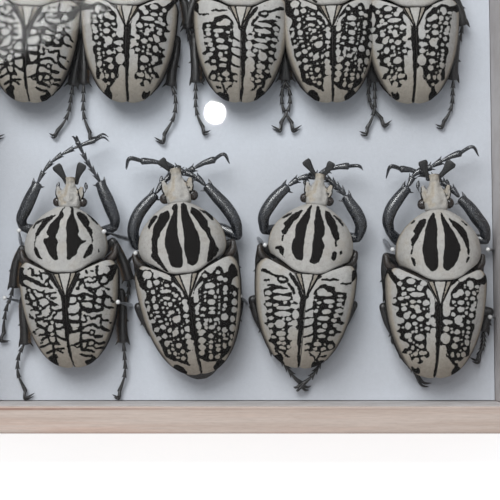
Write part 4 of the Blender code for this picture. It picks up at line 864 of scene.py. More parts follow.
WING_SPOTS_2 = (
    (147, 275, 4.6, 4.4), (156, 276.3, 2.6, 2.2), (144.5, 279.3, .8, .7), (149.5, 284.5, 2.9, 3.9),
    (156.5, 282.3, 3.1, 2.6), (163.8, 280.8, .8, .7), (162.2, 283.2, .8, .9), (166.6, 285.5, 2.3, 1.7),
    (161.7, 287.8, 1.7, 1.4), (157, 288.5, .9, 1.4), (173, 284.5, 1.8, 2.2), (165.5, 291.2, 5.8, 1.9),
    (153, 292, 2.3, 2.2), (148, 291.5, .8, .9), (173.5, 293, 1.4, 1.2), (175.8, 295.8, 2.3, 1.7),
    (158.8, 295.5, 1.3, 1.5), (153.8, 298.8, 2.3, 2.6), (153.5, 302, 1.5, 1.2), (166.5, 298.3, 3.8, 2),
    (161.5, 300.5, 1.8, 1.3), (173.7, 300.2, 1.9, 1.5), (179.5, 299, 1.5, 1.3), (159.5, 302.5, .5, .6),
    (147.5, 302.5, 2, 1.6), (165.5, 303.5, 1.7, 1.7), (170.2, 304.2, 2.3, 2.2), (184.5, 302, 2.7, 3),
    (186, 308, 2.9, 4.2), (180.3, 303.3, .9, .9), (175.5, 305.8, 1.3, 1.3), (155.8, 306.8, 2.8, 2.9),
    (148.5, 308.5, 1.6, 3.6), (163, 307.8, 1.5, 1.5), (167, 308, 1.2, 1.4), (177.8, 309.8, 1.8, 1.7),
    (157.5, 312.3, 2.8, 1.4), (163.8, 312.8, 1.2, 1.4), (171.5, 312.5, 3.6, 2.1), (179, 313, .9, 1.1),
    (154, 313, .6, .8), (151.3, 315.8, 1.4, 1.6), (158.7, 316.6, 2.4, 1.4), (168.3, 315.7, 1.8, 1.3),
    (185.8, 316, 3.1, 2.1), (155.5, 318, .9, 1.4), (176.5, 319.5, 4, 3.3), (179.5, 317, 1.3, 1.8),
    (166, 319.3, 1.4, 1.3), (170.3, 319.5, .9, 1.6), (152.5, 321.3, 2.6, 2), (160.5, 321.3, 2.6, 1.3),
    (187.2, 321, 1.9, 2.2), (167.3, 323.8, 1.7, 1.7), (171.3, 323.5, 1, 1.4), (163, 327, 3, 2.6),
    (181.5, 326, 1.1, 1), (183.5, 323.8, .8, .9), (187.2, 328.8, 2.7, 3), (176.5, 328.3, 1.6, 1.3),
    (157, 329, 2.8, 1.9), (156.5, 331, 2, 1.3), (169.8, 330.3, 2.2, 2.2), (175.8, 332.5, 3.3, 3),
    (182.5, 331.5, 1.5, 2.6), (165.7, 331.3, .5, .5), (164.5, 336.2, 2.8, 2.4), (188, 336.5, 3.2, 2.8),
    (190, 342, 4, 2.6), (191, 347, 4, 3.2), (169.8, 336.2, 1, .9), (173.5, 335.8, 1.3, 1.2),
    (183.3, 338.6, 1.2, 1.2), (178.3, 339.4, 1.4, 1.4), (174, 340, .8, .8), (171, 341.3, 1.8, 1.2),
    (158.5, 338.5, 2.6, 2.2), (167, 343.5, 2.7, 3), (179, 345.5, 3.2, 2.6), (172.5, 345.3, 1.3, 1.5),
    (168.5, 350.5, 1.5, 1.2), (173, 349.5, 1.8, 1.5), (182.5, 351.3, 2.4, 2.2), (169.5, 353.2, 1.6, 1.3),
    (175, 353.8, 2, 2), (178.8, 353.8, 1, .8), (186.5, 353.3, .6, .6), (178, 357.8, 2, 1.5),
    (183.5, 358.5, 2.5, 2.2), (204.7, 275.8, 2.6, 2), (218, 272.3, 2.4, 1.6), (213.2, 278.7, .9, 1),
    (209.3, 280.2, 1.5, .9), (220, 278, 2.8, 2.3), (225, 279.8, 3, 2), (210, 285.5, 5.2, 3),
    (206.5, 287, 1.7, 2), (218, 284.3, 1.2, 1.2), (220.8, 283.3, .7, .7), (225.5, 288.3, 2.6, 3.3),
    (200.5, 289.5, .9, .9), (205, 292.3, 1.8, 1.5), (211.5, 292.3, 3.5, 2.5), (218, 291, 1.4, 2.7),
    (225, 293.5, 1.8, 1.5), (200.3, 294.5, .8, 1), (205.3, 296.7, 1.3, 1.5), (215.3, 297, 1.7, 2),
    (219.2, 297, 1.2, 1.3), (225.8, 299, 2.5, 1.8), (201, 298.5, .7, .9), (205, 300.5, 1.3, 1.3),
    (211.5, 302, 4, 3), (219, 301, 1, 1), (199.8, 303, .9, 1), (219, 305, 1.3, 1.5),
    (225, 305.5, 2.2, 2.3), (197, 308.5, 2.3, 2.8), (198.5, 305.5, 1.1, 1), (203.7, 309, 2.7, 2),
    (211.8, 308.5, 3.5, 1.8), (218.8, 308.3, 1.2, 1.2), (223.5, 309.5, 2, 1.5), (197, 313.3, 2.2, 2),
    (211.8, 312.5, 3.6, 1.8), (218.8, 312.8, 1.1, 1.5), (202.5, 315.5, 2.4, 1.4), (224.5, 317, 3.6, 3.7),
    (197.8, 319, 2.3, 1.5), (206.5, 320, 2.5, 1.7), (210.5, 320.5, 1.4, 2), (217, 319.3, 2.9, 2),
    (198.8, 325.5, 2.6, 4), (205.5, 324, 2.3, 1.9), (215.5, 324.3, 1.6, 1.6), (219, 323, 1, 1.8),
    (212, 327.5, 3.4, 2.2), (206.3, 327.5, 1.5, 1.8), (219, 328.5, 1.6, 2.4), (224.7, 330, 3, 2.6),
    (201.5, 332, 4.3, 2.6), (201, 334.5, 2.6, 1.6), (215.4, 332, 1.1, 1.3), (220, 334, 1.2, 1.3),
    (210.8, 336, 2.8, 2.4), (224, 335, 1.8, 2), (228.3, 334, .6, 1.5), (202, 340.5, 3.8, 3.3),
    (215.5, 338.5, .7, .7), (219.5, 340.3, 1.5, 1.6), (225.5, 338.8, 2.4, 1.2), (211.2, 341.8, 2.1, 1.8),
    (215.2, 341.5, .8, .8), (207.8, 343.7, .9, .9), (202.3, 347.3, 3.8, 3.2), (217.8, 345.5, 2.8, 1.7),
    (224.5, 345.5, 2.1, 3), (210.8, 347, 2, 2.2), (218.5, 349.8, 2.5, 2), (202, 353, 2.9, 2.4),
    (210, 351.8, 1.8, .9), (211, 356.5, 2.3, 3), (217.5, 356.8, 2.6, 2.2), (220, 354, 1.5, 1),
    (234.4, 293.5, 2, 2.6), (234.2, 301.8, 2.9, 3.6), (234.2, 309.8, 3, 2.9), (232.6, 319, 2.5, 3.4),
    (232.4, 328, 2.7, 3.4), (231.6, 336.6, 1.6, 2.2), (230.4, 342.8, 2, 3), (230.8, 293, .8, .9),
)

SHIELD_SHAPES_3 = (
    (312, 204, 309.5, 206, 307.5, 210, 304, 214, 301, 218, 297.5, 222.5, 295.5, 227, 294.8, 231,
     295.5, 235, 293.5, 239, 291.8, 244, 291.5, 250, 293, 255, 296, 259, 299, 260.7, 302.5, 260.8,
     303.3, 257, 303, 251, 304.3, 246, 304.5, 240, 305, 235, 306.3, 230, 307.3, 225, 309, 221, 310, 217,
     310.5, 211, 312, 207),
    (316.5, 205, 318.5, 205.5, 320, 208, 320.5, 212, 322, 217, 323.5, 221, 324.8, 226, 325, 231,
     324.3, 235, 322, 238, 322.5, 241, 325, 245, 324.5, 248, 322.5, 251, 322.5, 255, 320.5, 259,
     319, 262.5, 314, 264, 309.8, 263, 310.3, 259, 312, 254, 312.5, 248, 312, 243, 313.5, 238, 314, 233,
     314.5, 227, 313.8, 222, 315, 217, 316, 211),
    (303, 209.5, 298, 211, 293, 214, 288.5, 218, 284.5, 222, 283, 224.5, 286, 225.5, 283, 228.5,
     281, 231.5, 283.5, 234, 286, 234.5, 288, 230.5, 291, 226, 294, 221.5, 297.5, 219, 300, 215,
     302.5, 212),
    (281, 245, 283.5, 247, 284, 252, 282.5, 256, 285.5, 258.5, 279.5, 253, 278.5, 249, 275.5, 249.5,
     275, 247, 277.5, 246),
    (293, 211.5, 288, 213.5, 284, 216, 281.5, 218.5, 283, 219, 287, 217, 291, 214.5),
    (325.5, 210, 328, 211, 330.5, 213, 332.5, 217, 335, 221, 337.5, 226, 338, 230, 339.5, 235, 340, 239,
     337.5, 240.5, 335.5, 241.5, 333.5, 238, 331.5, 233, 329, 228, 326.5, 222, 324.8, 217, 324.5, 213),
    (334, 250.5, 336, 252, 337.5, 255, 336.5, 259, 333.5, 261.5, 331, 259, 331.5, 254),
    (340, 250, 342.5, 251.5, 342.5, 254, 340, 256, 339.5, 253),
    (332.5, 214.5, 337, 217, 341, 220, 343, 223, 344, 227, 341.5, 225, 338, 221, 334.5, 218),
)
SHIELD_LINES_3 = ((283, 236, .7, 282, 240, .5), (336, 242, .8, 336.5, 246, .5))
WING_SHAPES_3 = (
    (299.5, 300, 299.5, 310, 299.3, 320, 298, 328, 297.5, 335, 297, 341, 297.8, 348, 297.3, 355,
     297.3, 362, 297.5, 368, 299.5, 368, 300, 360, 300, 352, 300.8, 346, 301.5, 340, 303, 332, 303.5, 325,
     304, 315, 304.8, 308, 306, 301),
    (262.5, 290, 266, 288.3, 272.5, 286, 281, 288, 288.5, 289.5, 291.5, 292, 292, 295, 294, 301,
     299.5, 303.5, 299.5, 329, 294.5, 333, 291, 336, 293, 340, 290, 343, 292, 348, 287, 350, 286, 352.5,
     281, 351.5, 277, 350, 273, 349.5, 275, 346, 272.5, 343, 268, 341.5, 270, 337.5, 271.5, 334.5,
     268.5, 333, 269.5, 329.5, 267.5, 326, 263, 322.5, 267.5, 321.5, 268, 317, 264, 314.5, 267.5, 312,
     267, 308, 262.5, 304.3, 266, 302.5, 264.8, 298, 264, 295),
    (273, 356, 277, 354, 281, 355, 284, 357.5, 282.5, 360, 285, 364, 282.5, 366, 277.5, 363.5, 274, 360),
    (352, 271, 355, 268.5, 358, 270, 357.5, 275, 354.5, 280, 351, 283, 352, 277),
    (313.5, 291.5, 317, 288, 321.5, 284.8, 325.5, 283.8, 329, 286.3, 336, 286.6, 334.5, 290, 336.5, 292,
     347, 292.3, 346.5, 294.5, 347, 298, 345, 302, 345, 306, 343, 309, 344, 313, 341.5, 317, 340.5, 321,
     344.5, 322.5, 343.5, 324.5, 337.5, 326.5, 335.5, 329.5, 341.5, 331, 341.5, 332.5, 335.5, 334,
     333, 338, 333, 341, 336, 343.5, 334.5, 348.5, 329, 351, 323, 352, 315, 351.5, 309.5, 350.5,
     309.5, 344, 312.5, 340, 313, 334, 312.5, 329, 311.5, 325, 314.5, 320, 313, 315, 313.5, 309,
     312, 304.5, 314, 300, 313, 296),
    (310.5, 366, 313.5, 361, 317.5, 362.5, 321, 360, 325, 361, 324, 365.5, 320, 368.5, 314.5, 370,
     311.5, 369),
)
WING_LINES_3 = (
    (263, 270, 1.5, 268, 271.5, 1, 272, 274, 1, 276, 276, 1, 281, 276.5, 1, 285, 277.5, 1, 287.5, 280, 1),
    (278, 277, 1, 279, 280, 1.2, 281, 282, 1.3, 284, 282, 1, 287, 280.5, .9),
    (265, 280.5, .8, 269, 280.3, .7),
    (268, 284.8, .6, 272, 285, 1, 277, 286.5, 1.1, 282, 287.7, 1.1, 287, 288.8, 1),
    (288, 283, .7, 290, 285.5, .9, 292, 287.5, 1.1, 293.5, 291, 1.1, 294, 293.5, .6),
    (290, 274, 1, 292, 276.5, 1.6, 295, 281, 1.6, 297.5, 285, 1.3, 299.5, 289, 1.3, 300.5, 293, 1.4,
     302, 297, 1.8, 303, 301, 2.3),
    (320, 276.5, 1, 317, 278, 1.7, 314, 281, 1.6, 311.5, 285, 1.3, 309.5, 289, 1.3, 307.5, 293, 1.5,
     306, 297, 1.9),
    (306, 311.5, .4, 309.5, 309.5, .5, 313, 308, .5), (304.5, 318.5, .3, 308, 317.5, .5, 313, 318, .5),
    (304, 327.3, .5, 308, 326.5, .6, 312.5, 324.5, .7), (303.5, 337, .3, 308, 336, .5, 313, 334, .6),
    (305.5, 344.8, .5, 308, 343.8, .7, 311, 343.5, .8), (305.5, 350.5, .4, 308, 350, .7, 311, 350, .9),
    (309, 352, .3, 311, 355, .5, 314, 357, .5, 315.5, 360, .4),
    (321, 353, .5, 318, 356, .6, 317, 359, .6, 317.5, 362, .9, 319, 364, 1.4),
    (321, 356.5, .4, 324, 356, .7, 326, 355.5, .5), (276, 351, .4, 279, 353.5, .5, 282, 356, .4),
    (284, 352.5, .4, 286, 355, .6, 288.5, 357, .4),
    (322, 279.5, .4, 326, 279.3, .3, 331, 280.3, .8, 334, 279, .9, 338, 280, .5),
    (341.5, 283.5, .6, 346, 284.3, .7, 350, 283, .8),
)
WING_SPOTS_3 = (
    (281, 278.5, 1.2, 1.2), (284.5, 279.5, .8, .8), (268.3, 292.7, 3.5, 2.2), (282, 291.3, 9.2, 1.9),
    (282, 298, 8.6, 2.2), (266.8, 298.2, 3.2, 1.6), (292, 301.5, 1.3, 1.5), (285.3, 302.5, 1.5, 1.3),
    (269, 304.2, 3.2, 1.7), (275.7, 305, 2.5, 1.5), (283, 307.8, 7, 1.6), (294.5, 306.5, 4, 2.3),
    (270, 310.8, 2.3, 1.6), (283, 313.8, 8, 2.4), (295.5, 314.5, 3.2, 4.5), (271, 318, 2.4, 1.7),
    (283.7, 319, 1.1, 1.2), (288.7, 319, 2.1, 1.8), (280, 323.8, 4.8, 4.2), (271, 325, 2.8, 2),
    (294.5, 323, 3, 3), (290, 324, 2.3, 1.3), (283.3, 329.6, .8, .6), (271, 331.5, 1.8, 1.7),
    (281, 333.5, 4.6, 2.3), (292.5, 331, 4.5, 4.2), (273.5, 337, 2.4, 1.5), (281.8, 338.5, 3, 1.8),
    (291, 337, 3.5, 3), (279, 343, 2.2, 1.5), (284, 343.3, 1.8, 1.6), (281.5, 347.5, 2.3, 1.2),
    (288.8, 346.5, 1.7, 1.3), (284, 348.5, 1.6, 1.2), (322, 292.3, 4.6, 3.6), (328, 294.3, 4.3, 1.8),
    (340.3, 296, 2.8, 1.2), (341, 300.2, 3.3, 1.3), (329, 301.3, 5.5, 2.1), (319.2, 302.7, 2, 1.2),
    (339.5, 304.7, 2.8, 1.8), (318, 307, .9, .9), (330.5, 306.2, 2.6, 1.5), (339, 310.6, 3.9, 2),
    (315.8, 311.2, 1.4, 1.4), (326.5, 311.7, 4.2, 2.2), (336.5, 315.6, 2.6, 2), (323.5, 318.3, 6.3, 1.8),
    (334, 320.5, 2.7, 1.6), (319.3, 323.8, 1.7, 1.3), (325, 325.8, 2.3, 2.2), (336.8, 325.4, 3.8, 1.6),
    (321, 330.5, 4, 1.5), (332, 331.8, 2.3, 1.7), (321.5, 336.1, 4.4, 1.5), (330.7, 338.3, 3, 2.1),
    (317.2, 340, .8, .7), (317.5, 344, 3.8, 2.1), (325.3, 345, .9, .9), (330.3, 346.6, 2.5, 2),
    (323, 348.7, 2.7, 1.3), (315, 348.7, 2, 1.1), (314.2, 295.3, .7, .6), (315.8, 300.2, .9, 1),
    (343, 307, 1.2, .6), (340.5, 316.5, 1.5, .8),
)

SHIELD_SHAPES_4 = (
    (432.5, 212, 434.5, 213, 435, 217, 436.5, 221, 437.2, 226, 437.5, 232, 437, 238, 437.3, 244,
     437.8, 250, 438.5, 256, 438.8, 262, 438, 268, 434, 271, 431, 271.5, 428, 268, 425, 264, 423.5, 259,
     423, 254, 421.8, 250, 423, 245, 423.5, 240, 424.5, 235, 425, 230, 426.5, 225, 428.5, 220,
     430.5, 215.5),
    (440.5, 212, 442.5, 213.5, 444, 217, 446.5, 221, 449, 225, 452, 229, 454.5, 233, 456.5, 237,
     458.5, 241, 459.8, 245, 460.3, 249, 459.5, 253, 458.8, 258, 456.5, 262, 454.5, 266, 450, 270,
     446.5, 271.5, 443, 268, 442.8, 263, 443, 258, 444, 252, 445, 246, 444.8, 240, 444.3, 234, 443.5, 228,
     442, 222, 440.8, 217),
    (426, 218, 421, 219.5, 418, 222, 416, 226, 413.5, 229.5, 412.5, 232.5, 415, 233.5, 413, 236.5,
     410.5, 239.5, 411.5, 243, 411.8, 247, 410.5, 252, 411, 255, 412.5, 254, 412.5, 250, 414.5, 244,
     418, 238, 421, 232, 424.5, 226, 426.5, 221.5),
    (411, 256, 414, 258, 415.5, 262, 416, 267, 413, 266, 411.5, 261),
    (414, 220, 411.5, 222, 410.5, 224.5, 413, 223.5, 415.5, 221),
    (448, 217.5, 452, 219.5, 457, 222.5, 461, 225.5, 464, 228.5, 466.5, 231.5, 467, 234.5, 468.5, 238,
     469.5, 242, 469, 246, 470, 252, 468.5, 256, 467, 251, 466.5, 247, 464.5, 242, 461, 237, 457.5, 231.5,
     454, 227, 450.5, 222.5),
    (468, 256, 466.5, 259, 466.5, 264, 469, 260, 470, 256.5),
    (460, 220, 464, 222, 467.5, 225, 468, 226.5, 464, 224.5),
)
WING_SHAPES_4 = (
    (435.5, 300, 436, 316, 435.5, 328, 435.5, 340, 436, 352, 435.5, 362, 434.5, 370, 433, 377.5, 435, 378,
     437, 370, 438.5, 360, 439.5, 350, 440.5, 340, 441.5, 330, 442, 318, 442.3, 308, 443, 298),
    (388, 268, 391, 269, 393, 273, 396.5, 277, 400, 280, 404, 280, 398, 283, 397, 288, 396, 285, 393, 281,
     390, 277, 387.5, 272),
    (396, 286, 398, 292, 396, 297, 393, 298, 392, 304, 395, 306, 398, 311, 395, 315, 402, 318, 396, 325,
     402, 327, 395, 332, 402, 333, 398, 339, 404, 341, 408, 345, 403, 350, 401, 353, 409, 354, 411, 358,
     413, 362, 419, 364, 424, 362, 423, 358, 429, 358, 429.5, 353, 426, 349, 427, 342, 426, 334, 430, 334,
     435.5, 328, 435.5, 316, 436, 300, 433, 292, 428, 283, 422, 280, 416, 279, 408, 276, 404, 279,
     398, 283),
    (411, 367, 414.5, 366, 418.5, 367.5, 420.5, 371, 419.5, 374, 415.5, 373.5, 412, 370.5),
    (487, 268.5, 488.3, 275, 486.5, 283, 483, 286.5, 481, 283, 478, 281.5, 475.5, 281.5, 477, 279.5,
     481, 279, 484, 276.5, 485.5, 272),
    (443, 297, 446, 290, 451, 284, 458, 277, 466, 277, 474, 277, 480, 279, 481, 285, 479, 292, 478, 300,
     476, 308, 475.5, 315, 475, 325, 472, 335, 470, 343, 469.8, 350, 469, 355.5, 465, 357, 462, 360,
     459, 362.5, 457, 366.5, 454, 366, 452, 362, 450.5, 357.5, 448, 354, 446, 350.5, 443.5, 347.5,
     440.5, 345.5, 441, 338, 441.8, 328, 442.2, 318, 442.5, 308),
    (450.5, 373, 452.5, 369, 456.5, 367, 460.5, 367.5, 459.5, 372, 456.5, 376, 452.5, 376),
)
WING_LINES_4 = (
    (446, 354, .3, 449, 358, .5, 452, 361, .6, 453.5, 364, .6, 455, 367, .8, 456.5, 370, 1.2),
    (458, 362, .5, 457, 366, .6, 457, 370, 1),
)
WING_WHITES_4 = (
    (394, 269.5, 398, 268, 404, 269, 410, 270, 416, 271.5, 421, 274.5, 423, 278, 421.5, 280.5, 418, 280,
     415, 278, 411, 277, 408, 276, 406.5, 275, 405, 278.5, 402, 279, 398, 276.5, 394.5, 273),
    (427, 287.5, 430, 290, 432.5, 294, 434.5, 298, 435, 304, 435, 313, 433, 315.5, 431, 314.8, 429.5, 312,
     430, 306, 430, 300, 427.5, 296, 426.5, 291),
    (459.5, 281, 458, 284.5, 455, 287, 452, 291, 450.5, 294, 451.5, 298, 449.5, 301, 449, 305, 450.5, 308,
     450.5, 312, 449, 316.5, 444, 316.8, 443, 312, 443.3, 305, 443.5, 298, 445, 293, 448, 289, 453, 285,
     457, 281),
    (457, 277.5, 462, 275, 468, 272, 475, 270, 481, 270, 484, 272, 482.5, 276, 479, 279.5, 476, 279.8,
     473.5, 277.5, 471, 278.5, 468, 277, 466, 279, 463.5, 281.5, 460, 281.5, 458, 279.5),
)
WING_SPOTS_4 = (
    (411, 281.5, 4.5, 2.6), (400, 283.8, 2.3, 2.2), (423.5, 283.5, 3.2, 2.6), (403.3, 288.3, 1.6, 1.6),
    (410.8, 289.3, 4.2, 2), (420, 288, 3, 2.6), (415, 286.3, .7, .7), (404.3, 293.8, 2.6, 2),
    (417.5, 294.5, 7.3, 2.2), (407.5, 297.5, 2.3, 1.2), (401, 298.5, 3.2, 2), (426, 303, 3.5, 2.7),
    (413, 301.5, 3.1, 1.8), (419, 301.5, 1.8, 1.6), (394.5, 301, 2.3, 2), (403.2, 304.5, 1.8, 1.6),
    (407, 304, 1.2, 1.4), (412.3, 306.3, 2.1, 1.6), (417.3, 308, 2.6, 3), (418.5, 311.5, 2.8, 1.7),
    (395.5, 309, 3.3, 2.6), (404.3, 308.8, 3, 2.3), (424.2, 308.8, 1.2, 1.2), (427.5, 309.3, .6, .6),
    (409.5, 312.3, 1.7, 1.4), (406.7, 315.7, 2.8, 3.1), (413.7, 316.5, 2.4, 2), (428, 315.7, 2.7, 2.7),
    (420.5, 319, 3.4, 2.4), (399.5, 320.5, 4.5, 3), (432, 321, 2.9, 3.6), (434, 325, 1.5, 1.8),
    (408, 325.7, 2.8, 3.2), (414.7, 323.5, 2.3, 1.8), (428, 323.2, 2, 1.6), (421.2, 325.5, 1.4, 1.4),
    (416, 327.8, 1.3, 1.2), (427, 328.5, 2.5, 1.9), (421.3, 329.8, 1.3, 1.2), (403, 327.5, .9, .9),
    (412.8, 331.8, 1.5, 1.5), (416.3, 331.5, 1.4, 1.4), (433, 331, 2.7, 2.8), (408, 335.8, 3.5, 3),
    (427.8, 334, 1.3, 1.2), (419.5, 337.5, 4.8, 3.2), (431.5, 339.5, 4.2, 3.8), (410.3, 340, 1.9, 1.7),
    (413.8, 342.3, 1, 1), (405, 345.5, 4.5, 2.6), (412.8, 347.5, 1.7, 2), (421.3, 346.5, 2.6, 2.2),
    (417, 344.8, 1, .9), (431, 348, 4, 4), (417.5, 350, 1.1, 1.3), (409.3, 352.3, 2.3, 1.4),
    (415.7, 354, 2, 2.5), (423, 353, 4, 2), (412.2, 355.5, 1, 1.1), (407, 358.3, 3.5, 2),
    (416, 360.5, 2.9, 2.5), (423.5, 358.8, 2.8, 2), (415.5, 366.5, 2.7, 1.8), (470.3, 284.3, 3.3, 3.4),
    (471, 287, 2, 2.6), (476.8, 286.8, 2.4, 1.5), (465, 285.3, 1, 1), (464.8, 287.6, .8, .7),
    (482, 288, 2.4, 3.4), (460.5, 292.5, 3.6, 3.2), (456, 295.5, 3, 2.4), (467.5, 293.3, 2.3, 2.4),
    (474, 293.3, 2, 1.9), (478, 291, 1, .9), (478.5, 297, 1.8, 2.2), (466.5, 298.7, 1.7, 1.5),
    (472.7, 298.8, 2.5, 1.9), (453.7, 301.8, 1.6, 1.4), (461, 302.3, 3.6, 2.1), (468.2, 303.3, 1.4, 1.5),
    (475, 302.5, 1.2, 1.6), (455.5, 305.5, 1, 1), (473.5, 305.3, 2.6, 1.8), (461, 309.3, 3.7, 2.7),
    (467, 307.7, 1.2, 1.2), (472.3, 309.5, 2.6, 2), (478.5, 310, 2.4, 4.8), (452, 308.3, 2.2, 1.2),
    (453, 314.3, 1.9, 2), (466.3, 313, 1.4, 1.9), (462.8, 316.3, 1.7, 1.3), (471.3, 315.7, 2.7, 2),
    (458.5, 320, 3.8, 4.4), (461.5, 325.3, 1.6, 1.8), (446, 322, 3, 2.6), (450.5, 322, 1.9, 2.1),
    (468.5, 322, 1.8, 1.7), (476, 321.5, 4, 2.6), (446.2, 329, 2.9, 2.9), (468.2, 327.7, 2.1, 1.7),
    (451.7, 328.5, 1.2, 1.3), (457.2, 332, 2.8, 2.2), (463, 332, 1.1, 1.3), (468, 332.3, 1.7, 1.4),
    (452, 332.5, 1.3, 1.5), (463, 335.3, .8, .8), (467.3, 336.8, 1.9, 1.6), (445.5, 338.5, 4.4, 5.5),
    (456.5, 339.5, 3.2, 2.4), (467, 342.5, 2.5, 3), (461.5, 340, .8, .7), (454.8, 346.3, 2.9, 2.6),
    (461.8, 344.3, 1, 1.1), (464.8, 348.5, 1.7, 1.4), (443.5, 350, 3, 5), (452.3, 354.5, 1.8, 2.7),
    (458.3, 355, 1.6, 2.3), (463.5, 354.5, 2.4, 2.7), (460.5, 350.5, .8, .9), (456.5, 361.5, 1.8, 1.6),
    (461, 363.5, 3, 2.4), (453, 366, 1.2, 1.3),
)
DRAWINGS = {
    1: {"shield": (SHIELD_SHAPES_1, SHIELD_LINES_1, (), ()),
        "wings": (WING_SHAPES_1, WING_LINES_1, (), WING_SPOTS_1)},
    2: {"shield": (SHIELD_SHAPES_2, (), (), ()),
        "wings": (WING_SHAPES_2, (), WING_WHITES_2, WING_SPOTS_2)},
    3: {"shield": (SHIELD_SHAPES_3, SHIELD_LINES_3, (), ()),
        "wings": (WING_SHAPES_3, WING_LINES_3, (), WING_SPOTS_3)},
    4: {"shield": (SHIELD_SHAPES_4, (), (), ()),
        "wings": (WING_SHAPES_4, WING_LINES_4, WING_WHITES_4, WING_SPOTS_4)},
}
# How much heavier than drawn the black of a beetle's wing cases is, in squares
HEAVIER = {2: 0.3, 4: 0.12}
MARK_BLEND = 0.35
MARK_REACH = 2.6
MARK_WOBBLE = 0.45
FINE_WOBBLE = 0.3
LINE_SPREAD = 0.5
SPOT_SPREAD = 0.2
UNEVEN = 0.4


def rounded_off(outline, rounds=2):
    """A closed outline with its corners cut."""
    for _ in range(rounds):
        after = np.roll(outline, -1, axis=0)
        outline = np.stack([0.75 * outline + 0.25 * after, 0.25 * outline + 0.75 * after], 1).reshape(-1, 2)
    return outline


def to_runs(at, starts, ends):
    """How far along each straight run the nearest place is, and how far away."""
    run = ends - starts
    share = ((at[:, None] - starts) * run).sum(-1) / np.maximum((run**2).sum(-1), 1e-9)
    share = np.clip(share, 0, 1)
    return share, np.linalg.norm(at[:, None] - starts - share[..., None] * run, axis=-1)


def in_shape(at, outline):
    outline = rounded_off(outline)
    after = np.roll(outline, -1, axis=0)
    distance = to_runs(at, outline, after)[1].min(axis=1)
    x, y = at[:, :1], at[:, 1:]
    over = (outline[:, 1] > y) != (after[:, 1] > y)
    fall = np.where(after[:, 1] == outline[:, 1], 1e-9, after[:, 1] - outline[:, 1])
    crossing = outline[:, 0] + (y - outline[:, 1]) * (after[:, 0] - outline[:, 0]) / fall
    inside = (over & (x < crossing)).sum(axis=1) % 2 == 1
    return np.where(inside, distance, -distance)


def in_line(at, line):
    share, distance = to_runs(at, line[:-1, :2], line[1:, :2])
    half = line[:-1, 2] + share * (line[1:, 2] - line[:-1, 2])
    return (half + LINE_SPREAD - distance).max(axis=1) + UNEVEN * rough(at, 1.5, 41)


def in_spot(at, ellipse):
    away = at - ellipse[0, :2]
    scaled = np.maximum(np.linalg.norm(away / ellipse[0, 2:], axis=1), 1e-3)
    return np.linalg.norm(away, axis=1) * (1 / scaled - 1) + SPOT_SPREAD + 0.6 * UNEVEN * rough(at, 1.3, 43)


def gathered(at, marks):
    """How far inside any of the marks each place is, where marks that meet run together."""
    total = np.full(len(at), math.exp(-MARK_REACH / MARK_BLEND))
    for measure, width, reach, flat in marks:
        mark = np.array(flat, float).reshape(-1, width)
        low, high = mark[:, :2].min(axis=0) - reach, mark[:, :2].max(axis=0) + reach
        near = ((at > low) & (at < high)).all(axis=1)
        if near.any():
            total[near] += np.exp(measure(at[near], mark) / MARK_BLEND)
    return MARK_BLEND * np.log(total)


def ink(at, shapes, lines, whites, spots):
    """How far inside the black each place of the view is, in squares; below zero where it is white."""
    at = at + MARK_WOBBLE * np.stack([rough(at, 2.6, 3), rough(at, 2.6, 5)], -1)
    at = at + FINE_WOBBLE * np.stack([rough(at, 1.1, 7), rough(at, 1.1, 9)], -1)
    black = [(in_shape, 2, MARK_REACH, shape) for shape in shapes]
    black += [(in_line, 3, MARK_REACH + 2.5, line) for line in lines]
    white = [(in_shape, 2, MARK_REACH, shape) for shape in whites]
    white += [(in_spot, 4, MARK_REACH + max(mark[2:]), mark) for mark in spots]
    black, white = gathered(at, black), gathered(at, white)
    return -MARK_BLEND * np.log(np.exp(-black / MARK_BLEND) + np.exp(white / MARK_BLEND))


# Where each beetle lies


def shifting(x, y, z):
    matrix = np.eye(4)
    matrix[:3, 3] = (x, y, z)
    return matrix


def turning(angle, axis, point=(0.0, 0.0, 0.0)):
    """A turn about an axis through a point."""
    x, y, z = point
    return shifting(x, y, z) @ np.array(Matrix.Rotation(angle, 4, axis)) @ shifting(-x, -y, -z)


SCUTELLUM_HEIGHT = 27.0
TAIL_HEIGHT = 12.6
SETTLING_ROUNDS = 4


def settle(lobe, tail):
    """A beetle's frame, from where the view shows the front of its scutellum and the tip of its tail."""
    size = 1.0
    for _ in range(SETTLING_ROUNDS):
        front, rear = spot(*lobe, SCUTELLUM_HEIGHT * size), spot(*tail, TAIL_HEIGHT * size)
        size = np.linalg.norm((front - rear)[:2]) / -BODY_REAR
    along = front - rear
    place = shifting(front[0], front[1], LINING_TOP) @ turning(math.atan2(-along[0], along[1]), "Z")
    return place @ np.diag((size, size, size, 1.0))


def frames_of(body, fore_turn, shift, roll, head_turn, head_shift):
    """The frames of a beetle's parts: the dried forebody is turned on the hind body, and the head on that."""
    fore = body @ turning(fore_turn, "Z")
    shield = fore @ shifting(shift, 0, 0) @ turning(roll, "Y", (0, 0, ROLL_HEIGHT))
    head = fore @ shifting(head_shift, 0, 0) @ turning(head_turn, "Z", NECK)
    return {"body": body, "fore": fore, "shield": shield, "head": head}


def sized(x, y, z=1.0):
    return np.diag((x, y, z, 1.0))


def grown(frames, girth, shield_size, head_size):
    """The frames of a beetle whose girth, shield or head is not quite the first one's."""
    forward = PRONOTUM_NOSE * (shield_size[1] - 1)
    about_neck = shifting(0, NECK[1] + forward, 0) @ sized(*head_size) @ shifting(0, -NECK[1], 0)
    return {"body": frames["body"] @ sized(girth, 1.0), "fore": frames["fore"],
            "shield": frames["shield"] @ sized(*shield_size), "head": frames["head"] @ about_neck}


